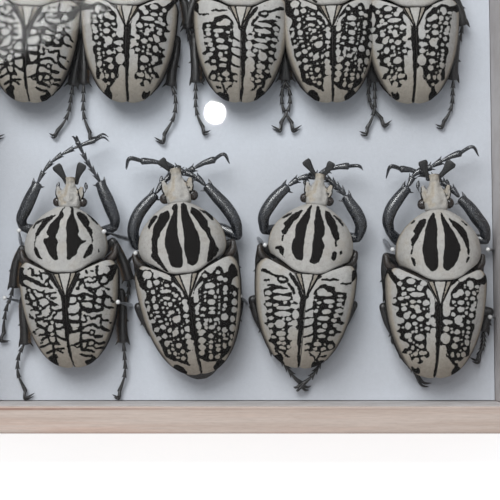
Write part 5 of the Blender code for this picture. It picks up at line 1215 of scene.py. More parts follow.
# The nearer beetles: where the view shows the front of the scutellum and the tip of the tail; the forebody's
# turn in degrees and the shield's shift; the head's turn and shift; and how large the body is across, and the
# shield and the head across and along
NEAR_ROW = {
    2: ((185.5, 272.6), (201, 374.6), (-2.5, -0.85), (2.0, -0.4), 0.985, (1.0, 1.01), (1.06, 1.09)),
    3: ((307.5, 272.6), (299.4, 368.5), (-2.8, 0.5), (-1.0, 0.8), 1.02, (1.035, 1.055), (1.0, 1.05)),
    4: ((440, 280), (435.3, 378.6), (2.6, 1.9), (0.0, 2.0), 1.0, (1.01, 1.045), (1.04, 1.16)),
}


def near_frames(lobe, tail, fore, head, girth, shield_size, head_size):
    fore_turn, head_turn = math.radians(fore[0]), math.radians(head[0])
    frames = frames_of(settle(lobe, tail), fore_turn, fore[1], 0, head_turn, head[1])
    return grown(frames, girth, shield_size, head_size)


MAIN_BODY = shifting(BEETLE_X, BEETLE_Y, LINING_TOP) @ turning(BEETLE_TURN, "Z")
PLACES = {1: frames_of(MAIN_BODY, FORE_TURN, PROTHORAX_SHIFT, PROTHORAX_ROLL, HEAD_TURN, HEAD_SHIFT)}
PLACES.update({number: near_frames(*place) for number, place in NEAR_ROW.items()})


# The beetle's parts, in its own frame


def wing_surface(side, across, along):
    """One wing case: the grid of its upper side, and the whole surface."""
    seam = GAP / 2
    shoulder = (half_width(SHOULDER_FRONT), SHOULDER_FRONT)
    outer = curve_of([shoulder, *((half_width(y), y) for y in np.linspace(3.8, -35.5, 14))])
    front = curve_of([(5.3, -0.7), (8.6, 1.1), (12.5, 2.8), (16.3, 4.3), shoulder])
    rear = curve_of([(seam, -38.9), (1.6, -39.2), (4.4, -38.85), (half_width(-37.9), -37.9),
                     (half_width(-35.5), -35.5)])
    tip = SCUTELLUM_TIP - GAP
    slope = [(5.3 - k * (5.3 - seam) / 4, -0.7 + k * (tip + 0.7) / 4) for k in range(4)]
    inner = curve_of([*slope, (seam, tip), *((seam, y) for y in np.linspace(-14, -38.9, 7))])
    shares_along = np.linspace(0, 1, along)
    shares_across = np.sin(0.5 * math.pi * np.linspace(0, 1, across))
    plan = coons(front, rear, inner, outer, shares_across, shares_along)
    x, y = np.maximum(plan[..., 0], seam), plan[..., 1]
    roll = 0.7 * np.maximum(0.0, 1 - shares_along / 0.05)[:, None] ** 2
    share = shares_across**1.5 * (1 - shares_along[:, None]) ** 4 * (side < 0)
    height = wing_height(x, y) - roll + LEFT_SHOULDER_UP * share
    top = np.stack([side * x, y + LEFT_SHOULDER_FORWARD * share, height], -1)
    bottom = top - SHELL * grid_normals(top)
    return top, sheet_surface(top, bottom)


def under_faces(surface, rows, columns):
    """1 for the faces of a sheet's underside, else 0."""
    quads = (rows - 1) * (columns - 1)
    looks = np.zeros(len(surface[1]), int)
    looks[quads:2 * quads] = 1
    return looks


def shield_surface(across, along):
    """The prothorax: the shield above and the breast below."""
    side = curve_of(PRONOTUM_SIDE)
    rear = curve_of([*((-x, y) for x, y in PRONOTUM_REAR[:0:-1]), *PRONOTUM_REAR])
    near = PRONOTUM_NOSE - 0.2
    front = curve_of([(-6.0, 26.6), (-3.2, near), (0, PRONOTUM_NOSE), (3.2, near), (6.0, 26.6)])
    shares = 0.5 - 0.5 * np.cos(math.pi * np.linspace(0.03, 0.97, across))
    shares = (shares - shares[0]) / (shares[-1] - shares[0])
    before = int(PROTHORAX_WALL * along)
    t = np.concatenate([np.linspace(0, PROTHORAX_WALL, before),
                        np.linspace(PROTHORAX_WALL + 0.02, 1, along - before)])
    plan = coons(front, rear, lambda share: side(share) * (-1.0, 1.0), side, shares, t)
    margin = value_at(PRONOTUM_MARGIN, t)[:, None]
    rise = value_at(PRONOTUM_MIDLINE, t)[:, None] - margin
    depth = value_at(PROSTERNUM_DEPTH, np.minimum(t, 0.7))[:, None]
    edge = np.minimum(np.abs(2 * shares - 1), 1.0)[None]
    height = margin + rise * arched(edge, SHIELD_ROUND)
    reach = np.minimum(edge, 0.9999)
    bead = 0.22 * np.exp(-(((reach - 0.975) / 0.014) ** 2)) - 0.16 * np.exp(-(((reach - 0.93) / 0.02) ** 2))
    hollow = -0.25 * np.exp(-(((reach - 0.62) / 0.16) ** 2)) * np.exp(-(((t[:, None] - 0.42) / 0.22) ** 2))
    lip = -0.5 * np.exp(-((t[:, None] / 0.012) ** 2)) - 0.5 * np.exp(-(((1 - t[:, None]) / 0.012) ** 2))
    height = height + bead + hollow + lip
    breast = margin - 0.35 - depth * arched(edge, BREAST_ROUND)
    under = np.where(t[:, None] <= PROTHORAX_WALL + 0.001, breast, height - PLATE)
    under = np.minimum(under, height - 0.35)
    top = np.dstack([plan, height])
    return top, sheet_surface(top, np.dstack([plan, under]))


def scutellum_surface(across, along):
    t = np.linspace(0, 1, along)
    y = SCUTELLUM_FRONT + (SCUTELLUM_TIP + 0.3 - SCUTELLUM_FRONT) * t
    width = SCUTELLUM_HALF * (1 - t) + 0.35 * t
    x = width[:, None] * np.linspace(-1, 1, across)
    y = np.broadcast_to(y[:, None], x.shape)
    edge = np.abs(np.linspace(-1, 1, across))
    height = dorsal_height(x, y) + 0.1 - 0.25 * (x / SCUTELLUM_HALF) ** 2 - 0.3 * smooth_step(0.86, 1, edge)
    top = np.stack([x, y, height], -1)
    return top, sheet_surface(top, top - (0, 0, SHELL))


def trunk_surface(sides, count):
    """Thorax, abdomen and pygidium as one form, with the grooves between the plates of the belly."""
    stations = np.linspace(THORAX_FRONT, CORE_REAR, count)
    rings = np.array([core_ring(y, sides) for y in stations])
    middle = rings.mean(axis=1, keepdims=True)
    plates = np.linspace(THORAX_REAR, PYGIDIUM_FRONT, 6)
    groove = sum(np.exp(-(((stations - y) / 0.35) ** 2)) for y in plates)
    below = smooth_step(13.0, 11.0, rings[..., 2])
    rings = rings + (middle - rings) * (0.035 * groove[:, None] * below)[..., None]
    return tube_surface(rings, (0.3, 0.3))


EPIMERON_PATH = ((12, 1.0, 10.8), (16.4, 4.6, 11.6), (19.3, 7.6, 12.6), (19.7, 10.2, 12.8))
EPIMERON_SECTION = ((0, 1.8, 1.6), (0.6, 1.9, 2.4), (1, 1.2, 1.6))


def sided(path, side):
    """A path of the right side, or its mirror image on the left one."""
    return [(side * x, y, z) for x, y, z in path]


def epimeron(side):
    """The plate of the thorax that shows in front of a wing case's shoulder."""
    return tube(sided(EPIMERON_PATH, side), EPIMERON_SECTION, 16, 16)


def head_surfaces(sides, count):
    """The head and the two lobes at its corners."""
    stations = np.linspace(HEAD_SECTIONS[0][0], HEAD_SECTIONS[-1][0], count)
    width, top, low = through(HEAD_SECTIONS, stations).T[:, :, None]
    angles = 2 * math.pi * (np.arange(sides) + 0.5) / sides
    across, up = np.cos(angles), np.sin(angles)
    power = np.where(up > 0, 0.75, 0.95)
    x = width * np.sign(across) * np.abs(across) ** 0.85
    beyond = smooth_step(28, 30, stations)[:, None] * (up > 0)
    ridge = 0.55 * np.exp(-((x / 0.8) ** 2)) * beyond
    hollows = -0.6 * np.exp(-(((np.abs(x) - 2.2) / 0.8) ** 2)) * beyond
    plan = np.stack([x, np.broadcast_to(stations[:, None], x.shape)], -1)
    wrinkles = (0.45 * rough(plan, 1.5, 21) + 0.25 * rough(plan, 0.7, 23)) * beyond
    z = 0.5 * (top + low) + 0.5 * (top - low) * np.sign(up) * np.abs(up) ** power
    rings = np.dstack([x * (1 + 0.05 * rough(plan, 1.8, 25)), plan[..., 1], z + ridge + hollows + wrinkles])
    surfaces = [tube_surface(rings, (0.3, 0.4))]
    lobes = [tube(sided(LOBE_PATH, side), LOBE_SECTION, sides // 3, 12) for side in (-1, 1)]
    return surfaces + lobes


FEELER_RINGS = 34
FEELER_BEADS = 9


def feeler(side, sides):
    rings = rings_along(sided(ANTENNA_PATH, side), ANTENNA_SECTION, sides, FEELER_RINGS)
    bead = 1 - 0.16 * np.abs(np.sin(np.linspace(0, FEELER_BEADS * math.pi, FEELER_RINGS)))[:, None, None]
    middle = rings.mean(axis=1, keepdims=True)
    return tube_surface(middle + (rings - middle) * bead)


def eye(side, stretch, segments, rings):
    place = (side * EYE_PLACE[0], *EYE_PLACE[1:])
    return ball(place, (EYE_RADIUS, EYE_RADIUS * stretch, EYE_RADIUS), segments, rings)


# The prongs of the nearer beetles, in the view with a height over the lining, and how stout they are
OTHER_PRONGS = {
    2: (((171, 171.5, 13, 166, 166.5, 14.5, 160.5, 160, 16), 1.0),
        ((178.5, 171, 13, 179, 168, 13.6, 179.5, 165.5, 14), 0.4)),
    3: (((315.5, 175.5, 13, 310.5, 168, 14.5, 305.5, 160.5, 16), 0.95),
        ((322, 178, 13, 327.5, 170.5, 14.5, 332, 162.5, 16), 0.85)),
    4: (((428.5, 178, 13, 425, 170, 14.5, 422.5, 161, 16), 1.0),
        ((440.5, 176, 13, 446.5, 169, 14.5, 452, 162, 16), 1.15)),
}


PRONG_DOMES = (0.4, 0.35)


def prongs_of(drawing, sides):
    surfaces = []
    for flat, stout in OTHER_PRONGS[drawing]:
        path = [spot(*place) for place in np.reshape(flat, (-1, 3))]
        section = [(share, stout * across, stout * thick) for share, across, thick in PRONG_SECTION]
        surfaces.append(tube(path, section, sides, 20, PRONG_DOMES))
    return surfaces


def horn_surfaces(sides):
    """The fork: a bar under the front of the head, and a paddle-ended prong at each side."""
    surfaces = [tube(HORN_BAR, HORN_BAR_SECTION, sides, 8)]
    return surfaces + [tube(path, PRONG_SECTION, sides, 26, PRONG_DOMES) for path in PRONG_PATHS]


def ridged(rings, share):
    """Rings with four soft ridges along them."""
    sides = rings.shape[1]
    middle = rings.mean(axis=1, keepdims=True)
    swell = 1 + share * np.cos(4 * 2 * math.pi * np.arange(sides) / sides)
    return middle + (rings - middle) * swell[None, :, None]


TIBIA_STEPS = 60
CORNER_INSET = 0.7
# The teeth along the outer edge of a middle or hind tibia: where, and how long
EDGE_TEETH = ((0.55, 2.0), (0.3, 1.0))


def tibia_surfaces(path, section, side, fore, sides):
    """A tibia and its teeth. The outer corner has the long tooth."""
    surfaces = [tube_surface(ridged(rings_along(path, section, sides, 26), 0.05), (0.7, 0.5))]
    line = even_line(path, TIBIA_STEPS)
    end = line[-1]
    heading = unit(line[-1] - line[-4])
    out = unit(np.cross(heading, UPWARDS))
    out = out if out[0] * side > 0 else -out
    corner = section[-1][1] - CORNER_INSET
    near, far = end + out * corner, end - out * corner
    surfaces.append(spine(near - heading * 1.5, near + out * 1.2 + heading * 1.9, 0.95))
    inner = 0.3 if fore else 1.6
    surfaces.append(spine(far - heading * 1.0, far - out * 2.2 + heading * inner, 0.6))
    for share, length in () if fore else EDGE_TEETH:
        place = line[int(share * (TIBIA_STEPS - 1))]
        surfaces.append(spine(place + out * 0.9, place + out * (0.9 + length) + heading * 1.1, 0.7))
    return surfaces


CLAW_SECTION = ((0, 0.6, 0.6), (0.4, 0.56, 0.56), (0.75, 0.38, 0.38), (1, 0.1, 0.1))
CLAW_HOOK = 0.55
TARSUS_STEPS = 121
# One joint of a foot: the share of its length, and its radius as shares of the foot's thin and wide ones
JOINT_FLARE = ((0.02, 0.7, 0.0), (0.12, 1.0, 0.0), (0.45, 0.35, 0.55), (0.8, 0.0, 1.0), (0.93, 0.0, 1.0),
               (0.985, 0.8, 0.0))


def joint_spines(line, shares, tangents, wide, scale):
    """The pairs of small spines at the far ends of a foot's joints."""
    surfaces = []
    for joint in TARSUS_JOINTS[1:-1]:
        place = read_off(joint - 0.025, shares, line)
        run = unit(read_off(joint, shares, tangents))
        out = unit(np.cross(run, UPWARDS))
        for way in (-1, 1):
            base = place + way * out * wide * 0.55
            surfaces.append(spine(base, base + way * out * wide * 0.75 + run * wide * 1.0, 0.36 * scale, 5))
    return surfaces


def claws(line, tip, spread, scale):
    """The two hooked claws at the end of a foot."""
    end, tip, spread = line[-1], np.array(tip, float), np.array(spread, float)
    heading = unit(line[-1] - line[-8])
    reach = np.linalg.norm(tip - end)
    section = [(share, across * scale, thick * scale) for share, across, thick in CLAW_SECTION]
    surfaces = []
    for way in (-1, 1):
        base = end - heading * 1.2 + way * 0.3 * spread
        off = tip - end - heading * ((tip - end) @ heading)
        bend = end + heading * 0.58 * reach + way * 0.9 * spread + np.array((0, 0, 0.12 * reach))
        path = (base, bend - CLAW_HOOK * off, tip + way * 1.3 * spread)
        surfaces.append(tube(path, section, 8, 16, (0.6, 0.6)))
    return surfaces


def tarsus_surfaces(spec, radii, sides, scale):
    """The five joints of a foot, each flared at its far end, and its two claws."""
    thin, wide = (radius * scale for radius in radii)
    sections = []
    for near, far in zip(TARSUS_JOINTS, TARSUS_JOINTS[1:]):
        sections += [(near + place * (far - near), of_thin * thin + of_wide * wide)
                     for place, of_thin, of_wide in JOINT_FLARE]
    sections.append((1.0, 0.6 * thin))
    places, sizes = np.array(sections).T
    line = even_line(spec["tarsus"], TARSUS_STEPS)
    shares = np.linspace(0, 1, TARSUS_STEPS)
    tangents = np.gradient(line, axis=0)
    centre = read_off(places, shares, line)
    tangent = unit(read_off(places, shares, tangents))
    side = unit(np.cross(tangent, UPWARDS))
    over = np.cross(side, tangent)
    angles = 2 * math.pi * (np.arange(sides) + 0.5) / sides
    rings = centre[:, None] + sizes[:, None, None] * (side[:, None] * np.cos(angles)[:, None]
                                                      + 0.85 * over[:, None] * np.sin(angles)[:, None])
    surfaces = [tube_surface(rings, (0.6, 0.8))]
    surfaces += joint_spines(line, shares, tangents, wide, scale)
    return surfaces + claws(line, spec["claw_tip"], spec["claw_side"], scale)


def side_of(word):
    """-1 for what is on the left, 1 for what is on the right."""
    return -1 if word.endswith("left") else 1


def leg_parts(word, spec, detail, stout=1.0):
    """The surfaces of a leg's femur, tibia and tarsus."""
    fore = word.startswith("fore")
    tibia, radii = (FORE_TIBIA_SECTION, FORE_TARSUS_RADII) if fore else (TIBIA_SECTION, TARSUS_RADII)
    return {
        "femur": [tube(spec["femur"], FEMUR_SECTION, *detail["femur"])],
        "tibia": tibia_surfaces(spec["tibia"], tibia, side_of(word), fore, detail["tibia"]),
        "tarsus": tarsus_surfaces(spec, radii, detail["tarsus"], stout),
    }


# The legs of the nearer beetles that the photo shows: tibia, tarsus and the claws' tip, each as places in the
# view with a height over the lining
OTHER_LEGS = {
    2: {
        "fore_left": (
            (136, 246, 10, 133, 232, 12, 138, 215, 12.5, 147, 203, 12.5, 155, 195, 12.4),
            (156, 193, 12, 160, 187, 11, 164, 182, 10.5, 170, 176, 9.5, 180, 172, 9, 190, 170.5, 9.5,
             198, 166, 10, 207, 161.5, 10.4, 216, 159.5, 10.6),
            (229.5, 163.5, 8.4),
        ),
        "fore_right": (
            (238, 236, 10, 236, 224, 12, 226, 207, 12.5, 216, 196, 12.5, 207, 186, 12.4),
            (205, 185, 12, 199, 179, 11.5, 193, 175.5, 11, 186, 172.5, 10.5, 176, 168, 9.5, 165, 164, 9.5,
             156, 162, 9.8, 148, 161, 10, 140, 161.5, 10.2),
            (126, 169, 8.2),
        ),
        "hind_left": (
            (138, 307, 7, 143, 317, 6, 152, 329, 5.5),
            (153, 331, 5.2, 160, 342, 4.6, 168, 352, 4, 176, 360, 3.4),
            (184, 366, 2),
        ),
        "hind_right": (
            (240, 303, 7, 237, 315, 6.2, 232, 328, 5.5),
            (231, 330, 5.2, 226, 342, 4.6, 221, 352, 4, 215, 360, 3.4),
            (208, 366, 2),
        ),
    },
    3: {
        "fore_left": (
            (264, 230, 10, 264, 216, 12, 270, 205, 12.5, 279, 194, 12.5, 287, 187, 12.4),
            (289, 185.5, 12, 294, 181.5, 11, 300, 178.5, 10.5, 306, 177, 10.5, 312, 177.5, 9.5,
             325, 171, 9.5, 336, 167.5, 10, 343, 166, 10, 350, 166.5, 10.2),
            (363, 170, 8.2),
        ),
        "fore_right": (
            (358, 238, 10, 361, 225, 12, 357, 214, 12.5, 351, 205, 12.5, 346, 197, 12.4),
            (345, 195, 12, 341, 190, 11.5, 337, 187, 11, 332, 182, 10.5, 324, 178, 8.5, 316, 177, 8),
            (306, 180, 7),
        ),
        "hind_left": (
            (252, 300, 7, 257, 316, 6.2, 266, 332, 5.5, 275, 350, 5),
            (276, 352, 4.8, 282, 361, 4.2, 288, 369, 3.6, 295, 378, 3, 302, 384, 2.6),
            (310, 388, 1.4),
        ),
        "hind_right": (
            (354, 305, 7, 346, 320, 6.2, 335, 337, 5.5, 324, 353, 5),
            (323, 355, 4.8, 320, 363, 4.2, 315.5, 371, 5.4, 309, 379, 5, 302, 384.5, 4.2),
            (295, 389, 1.8),
        ),
    },
    4: {
        "fore_left": (
            (390, 232, 10, 388, 220, 12, 391, 210, 12.5, 398, 199, 12.5, 407, 188, 12.4),
            (408, 186, 12, 411, 181, 11, 413, 176, 10.5, 418, 172, 10.5, 428, 168.5, 9.5, 438, 163, 9.8,
             446, 159, 10, 454, 155, 10.2, 462, 153, 10.3),
            (478.5, 156, 8.4),
        ),
        "fore_right": (
            (486, 240, 10, 484, 228, 12, 477, 218, 12.5, 469, 207, 12.5, 461, 199, 12.4),
            (459, 197, 12, 454, 191, 11.5, 451, 188, 11, 446, 185, 10.8, 441, 181, 10, 430, 176.5, 9.6,
             420, 173, 9.5, 411, 170, 9.6, 403, 169, 9.8, 399, 169.5, 10),
            (386, 178, 8),
        ),
        "hind_left": (
            (383, 307, 7, 388, 322, 6.2, 396, 336, 5.6, 404, 352, 5),
            (405, 354, 4.8, 409, 362, 4.2, 413, 370, 3.6, 418, 376, 3),
            (430, 385, 1.6),
        ),
        "hind_right": (
            (490, 312, 7, 487, 318, 6.6, 485, 324, 6.2, 483.5, 330, 5.8),
            (483, 332, 5.4, 483.5, 339, 5, 483, 345, 4.6, 481, 351, 4, 478, 356, 3.4),
            (471, 359.5, 1.6),
        ),
    },
}

# The same for a left middle leg that is tucked under the body, in the beetle's own frame
TUCKED_MIDDLE = (
    (-19.2, 10.4, 8.2, -19.4, 4.6, 7.2, -18.6, -1.0, 6.0, -17.8, -6.0, 5.2),
    (-17.6, -6.6, 4.8, -17.0, -12.0, 4.0, -16.2, -17.0, 3.2, -15.6, -22.0, 2.4),
    (-14.6, -25.6, 0.9),
)
# The parts of a leg inside the body's outline, on the right
COXAE = {"fore": ((5.0, 15.6, 6.2), (12.6, 17.6, 6.8)), "mid": ((4.6, 3.0, 5.4), (12.4, 8.0, 6.2)),
         "hind": ((5.0, -10.6, 5.0), (13.0, -10.4, 5.2))}


def in_world(points, frame):
    return carried(np.array(points, float).reshape(-1, 3), frame)


def mirrored(points):
    return np.array(points, float).reshape(-1, 3) * (-1.0, 1.0, 1.0)


def legs_of(drawing, frames):
    """Every leg of a near beetle as lines in the case, with the tip of its claws and their spread."""
    legs = {}
    for word in LEGS:
        pair, side = word.split("_")[0], side_of(word)
        frame = frames["fore" if pair == "fore" else "body"]
        shown = OTHER_LEGS[drawing].get(word)
        if shown:
            lines = [np.array([spot(*place) for place in np.reshape(flat, (-1, 3))]) for flat in shown]
        else:
            lines = [in_world(flat if side < 0 else mirrored(flat), frame) for flat in TUCKED_MIDDLE]
        tibia, tarsus, claw = lines
        coxa = in_world(sided(COXAE[pair], side), frame)
        run = claw[0] - tarsus[-1]
        spread = 0.75 * unit(np.cross(run, UPWARDS))
        if pair == "fore":
            spread = 0.2 * spread + np.array((0, 0, 0.6))
        legs[word] = {"femur": np.concatenate([coxa, tibia[:1]]), "tibia": tibia, "tarsus": tarsus,
                      "claw_tip": claw[0], "claw_side": spread}
    return legs


def moved(spec, matrix):
    """A leg carried to another place. The spread of its claws turns with it."""
    lines = {part: in_world(spec[part], matrix) for part in ("femur", "tibia", "tarsus")}
    tip, spread = in_world(spec["claw_tip"], matrix)[0], matrix[:3, :3] @ np.array(spec["claw_side"], float)
    return {**lines, "claw_tip": tip, "claw_side": spread}


# Finishes


def paint(red, green, blue):
    """A colour given as it looks on a screen, from 0 to 255."""
    linear = [(part / 255 / 12.92) if part < 10.3 else ((part / 255 + 0.055) / 1.055) ** 2.4
              for part in (red, green, blue)]
    return (*linear, 1.0)


class Finish:
    """A material, with short ways to add nodes and join them. Sizes are millimetres on the object."""

    def __init__(self, name, **settings):
        self.material = bpy.data.materials.new(name)
        self.material.use_nodes = True
        self.nodes = self.material.node_tree.nodes
        self.links = self.material.node_tree.links
        self.shader = self.nodes["Principled BSDF"]
        for socket, value in settings.items():
            self.shader.inputs[socket.replace("_", " ")].default_value = value

    def feed(self, socket, value):
        if isinstance(value, bpy.types.NodeSocket):
            self.links.new(value, socket)
        else:
            socket.default_value = value

    def node(self, kind, inputs, **options):
        made = self.nodes.new(kind)
        for option, value in options.items():
            setattr(made, option, value)
        for key, value in inputs.items():
            self.feed(made.inputs[key], value)
        return made

    def field(self, name):
        return self.node("ShaderNodeAttribute", {}, attribute_name=name).outputs["Fac"]

    def coordinates(self, stretch=(1.0, 1.0, 1.0)):
        place = self.node("ShaderNodeTexCoord", {}).outputs["Object"]
        return self.node("ShaderNodeMapping", {"Vector": place, "Scale": stretch}).outputs["Vector"]

    def noise(self, size, detail=3.0, stretch=(1.0, 1.0, 1.0), warp=0.0):
        inputs = {"Vector": self.coordinates(stretch), "Scale": 1 / (size * MM), "Detail": detail,
                  "Distortion": warp}
        return self.node("ShaderNodeTexNoise", inputs).outputs["Fac"]

    def cells(self, size, feature="F1"):
        inputs = {"Vector": self.coordinates(), "Scale": 1 / (size * MM)}
        return self.node("ShaderNodeTexVoronoi", inputs, feature=feature).outputs["Distance"]

    def maths(self, operation, *values):
        inputs = dict(enumerate(values))
        return self.node("ShaderNodeMath", inputs, operation=operation).outputs[0]

    def span(self, value, low, high, to_low=0.0, to_high=1.0, smooth=True):
        kind = "SMOOTHSTEP" if smooth else "LINEAR"
        inputs = {"Value": value, "From Min": low, "From Max": high, "To Min": to_low, "To Max": to_high}
        return self.node("ShaderNodeMapRange", inputs, interpolation_type=kind).outputs["Result"]

    def mix(self, share, first, second, blend="MIX"):
        inputs = {0: share, 6: first, 7: second}
        return self.node("ShaderNodeMix", inputs, data_type="RGBA", blend_type=blend).outputs[2]

    def shade(self, colour, value, amount):
        """A colour made darker and lighter by a number around one half."""
        if isinstance(colour, tuple):
            colour = colour[:3]
        inputs = {0: colour, "Scale": self.span(value, 0.25, 0.75, 1 - amount, 1 + amount, smooth=False)}
        return self.node("ShaderNodeVectorMath", inputs, operation="SCALE").outputs["Vector"]

    def bump(self, height, depth, strength=1.0, under=None):
        inputs = {"Height": height, "Distance": depth * MM, "Strength": strength}
        if under is not None:
            inputs["Normal"] = under
        return self.node("ShaderNodeBump", inputs).outputs["Normal"]

    def wear(self, colour=None, roughness=None, normal=None):
        """The finish, joined to its shader."""
        for socket, value in (("Base Color", colour), ("Roughness", roughness), ("Normal", normal)):
            if value is not None:
                self.feed(self.shader.inputs[socket], value)
        return self.material


def velvet(name, white, warm, black):
    """The wing cases and the shield: chalky velvet with black velvet marks."""
    made = Finish(name, Specular_IOR_Level=0.08)
    grain, fleck = made.noise(0.16, 2), made.noise(0.5, 3)
    mottle, drift = made.noise(1.6, 4, warp=0.6), made.noise(7.0, 3)
    pale = made.mix(made.span(drift, 0.45, 0.75, 0.0, 0.4), white, warm)
    pale = made.mix(made.span(made.field("tone"), 0.0, 1.0), pale, warm)
    # Tone from 0.9 to 2 mixes in grey-brown: painted shade on the wing cases' outer edges and the shield's
    # low sides
    pale = made.mix(made.span(made.field("tone"), 0.9, 2.0), pale, paint(90, 84, 78))
    pale = made.shade(made.shade(made.shade(pale, grain, 0.12), fleck, 0.09), mottle, 0.13)
    worn = made.span(made.noise(0.9, 5, warp=1.0), 0.62, 0.72)
    pale = made.mix(made.maths("MULTIPLY", worn, 0.5), pale, paint(96, 90, 84))
    dark = made.shade(black, made.noise(0.7, 4), 0.5)
    ragged = made.maths("MULTIPLY", made.maths("SUBTRACT", made.noise(0.6, 4, warp=0.8), 0.5), 0.8)
    fringe = made.maths("MULTIPLY_ADD", made.maths("SUBTRACT", made.noise(0.2, 3), 0.5), 0.22, ragged)
    share = made.span(made.maths("ADD", fringe, made.field("dark")), -0.08, 0.08)
    nap = made.maths("ADD", grain, made.maths("MULTIPLY", mottle, 0.8))
    relief = made.maths("SUBTRACT", nap, made.maths("MULTIPLY", share, 0.7))
    roughness = made.span(fleck, 0.3, 0.7, 0.6, 0.85)
    return made.wear(made.mix(share, pale, dark), roughness, made.bump(relief, 0.08, 0.7))


def chitin(name, colour, other, gloss, dull, pits, coat=0.15):
    """Horny skin: dark, dully shining, patchy, with fine pits of the given size."""
    made = Finish(name, Specular_IOR_Level=0.7, Coat_Weight=coat, Coat_Roughness=0.22, Coat_IOR=1.6)
    patches, grain = made.noise(2.4, 4, warp=0.5), made.noise(0.22, 3)
    tint = made.mix(made.span(patches, 0.38, 0.62), colour, other)
    tint = made.shade(tint, grain, 0.3)
    pit = made.span(made.cells(pits), 0.05, 0.4)
    relief = made.maths("ADD", made.maths("MULTIPLY", pit, 0.8), made.maths("MULTIPLY", grain, 0.9))
    relief = made.maths("ADD", relief, made.maths("MULTIPLY", patches, 0.5))
    spread = made.span(made.noise(0.5, 3), 0.32, 0.68, gloss, dull)
    return made.wear(tint, spread, made.bump(relief, 0.13, 0.8))


def wood(name, along_x):
    """Pale birch with short brown flecks, and a reddish-brown line near the inner edge of its top."""
    made = Finish(name, Specular_IOR_Level=0.35)
    fine, short = ((share, 1.0, 1.0) if along_x else (1.0, share, 1.0) for share in (0.04, 0.1))
    fibres, bands = made.noise(0.4, 3, fine), made.noise(2.6, 3, fine, 0.4)
    tint = made.mix(made.span(bands, 0.3, 0.7), paint(182, 168, 159), paint(173, 157, 147))
    tint = made.mix(made.span(made.noise(5.0, 3, fine), 0.45, 0.7, 0.0, 0.5), tint, paint(186, 152, 136))
    tint = made.shade(made.shade(tint, fibres, 0.07), made.noise(0.5, 2, short), 0.06)
    fleck = made.span(made.noise(0.22, 2, short), 0.6, 0.78)
    tint = made.mix(made.maths("MULTIPLY", fleck, 0.3), tint, paint(150, 122, 108))
    # A reddish-brown line where the rail's tone field is set, near the inner edge of the top face
    inner_line = made.maths("MULTIPLY", made.field("tone"), made.span(made.noise(14.0, 3), 0.35, 0.6, 0.5, 0.9))
    tint = made.mix(inner_line, tint, paint(116, 78, 64))
    relief = made.maths("SUBTRACT", fibres, made.maths("MULTIPLY", fleck, 0.5))
    return made.wear(tint, made.span(fibres, 0.3, 0.7, 0.5, 0.7), made.bump(relief, 0.08, 0.5))


def papered(name):
    """The grey papered insides of the frame."""
    made = Finish(name, Specular_IOR_Level=0.2)
    grain = made.noise(0.5, 4)
    tint = made.mix(made.span(made.noise(12.0, 3), 0.35, 0.65), paint(198, 193, 192), paint(188, 182, 180))
    roughness = made.span(grain, 0.3, 0.7, 0.75, 0.9)
    return made.wear(made.shade(tint, grain, 0.06), roughness, made.bump(grain, 0.05, 0.4))


def foam(name):
    made = Finish(name, Specular_IOR_Level=0.15)
    pores, lumps, clouds = made.cells(0.45), made.noise(1.3, 4), made.noise(40.0, 3)
    tint = made.mix(made.span(clouds, 0.35, 0.65), paint(197, 201, 208), paint(190, 193, 199))
    tint = made.shade(made.shade(tint, lumps, 0.035), pores, 0.03)
    relief = made.maths("ADD", made.maths("MULTIPLY", pores, 0.5), lumps)
    return made.wear(tint, made.span(lumps, 0.3, 0.7, 0.85, 0.97), made.bump(relief, 0.1, 0.5))


def board(name):
    made = Finish(name, Specular_IOR_Level=0.3)
    plies = made.noise(0.5, 2, (0.02, 0.02, 1.0))
    fibres = made.noise(0.6, 4, (0.05, 1.0, 1.0))
    tint = made.mix(made.span(plies, 0.4, 0.6), paint(176, 146, 112), paint(146, 116, 86))
    roughness = made.span(fibres, 0.3, 0.7, 0.6, 0.8)
    return made.wear(made.shade(tint, fibres, 0.12), roughness, made.bump(fibres, 0.1, 0.5))


# How much the pane shines: looked at squarely, how much more at the lowest angle, and how suddenly it grows
PANE_LEAST = 0.0055
PANE_MORE = 0.6
PANE_POWER = 5.0


def glass(name):
    """A clear pane: light goes straight through, with a faint reflection that grows at low angles."""
    made = Finish(name)
    clear = made.node("ShaderNodeBsdfTransparent", {"Color": (0.985, 0.99, 0.992, 1)})
    streaks = made.span(made.noise(30.0, 3), 0.3, 0.7, 0.018, 0.026)
    gloss = made.node("ShaderNodeBsdfGlossy", {"Color": (1, 1, 1, 1), "Roughness": streaks})
    facing = made.node("ShaderNodeLayerWeight", {"Blend": 0.5}).outputs["Facing"]
    share = made.maths("MULTIPLY_ADD", made.maths("POWER", facing, PANE_POWER), PANE_MORE, PANE_LEAST)
    mixed = made.node("ShaderNodeMixShader", {0: share, 1: clear.outputs[0], 2: gloss.outputs[0]})
    made.links.new(mixed.outputs[0], made.nodes["Material Output"].inputs["Surface"])
    return made.material


def steel(name):
    made = Finish(name, Metallic=1.0)
    rub = made.noise(0.5, 3)
    tint = made.mix(made.span(rub, 0.4, 0.65), paint(176, 178, 182), paint(120, 118, 116))
    return made.wear(tint, made.span(rub, 0.3, 0.7, 0.22, 0.45), made.bump(rub, 0.02, 0.4))


def pin_glass(name):
    made = Finish(name, Specular_IOR_Level=0.6, Coat_Weight=0.6)
    cloud = made.noise(0.5, 2)
    tint = made.mix(made.span(cloud, 0.35, 0.65), paint(214, 214, 212), paint(196, 196, 196))
    return made.wear(tint, made.span(cloud, 0.3, 0.7, 0.12, 0.25), made.bump(cloud, 0.02, 0.3))


def eye_finish(name):
    made = Finish(name, Specular_IOR_Level=0.6, Coat_Weight=0.5)
    facets = made.cells(0.11)
    tint = made.mix(made.span(made.noise(0.8, 2), 0.4, 0.6), paint(26, 20, 17), paint(42, 31, 25))
    return made.wear(tint, made.span(facets, 0.2, 0.6, 0.18, 0.3), made.bump(facets, 0.03, 0.6))


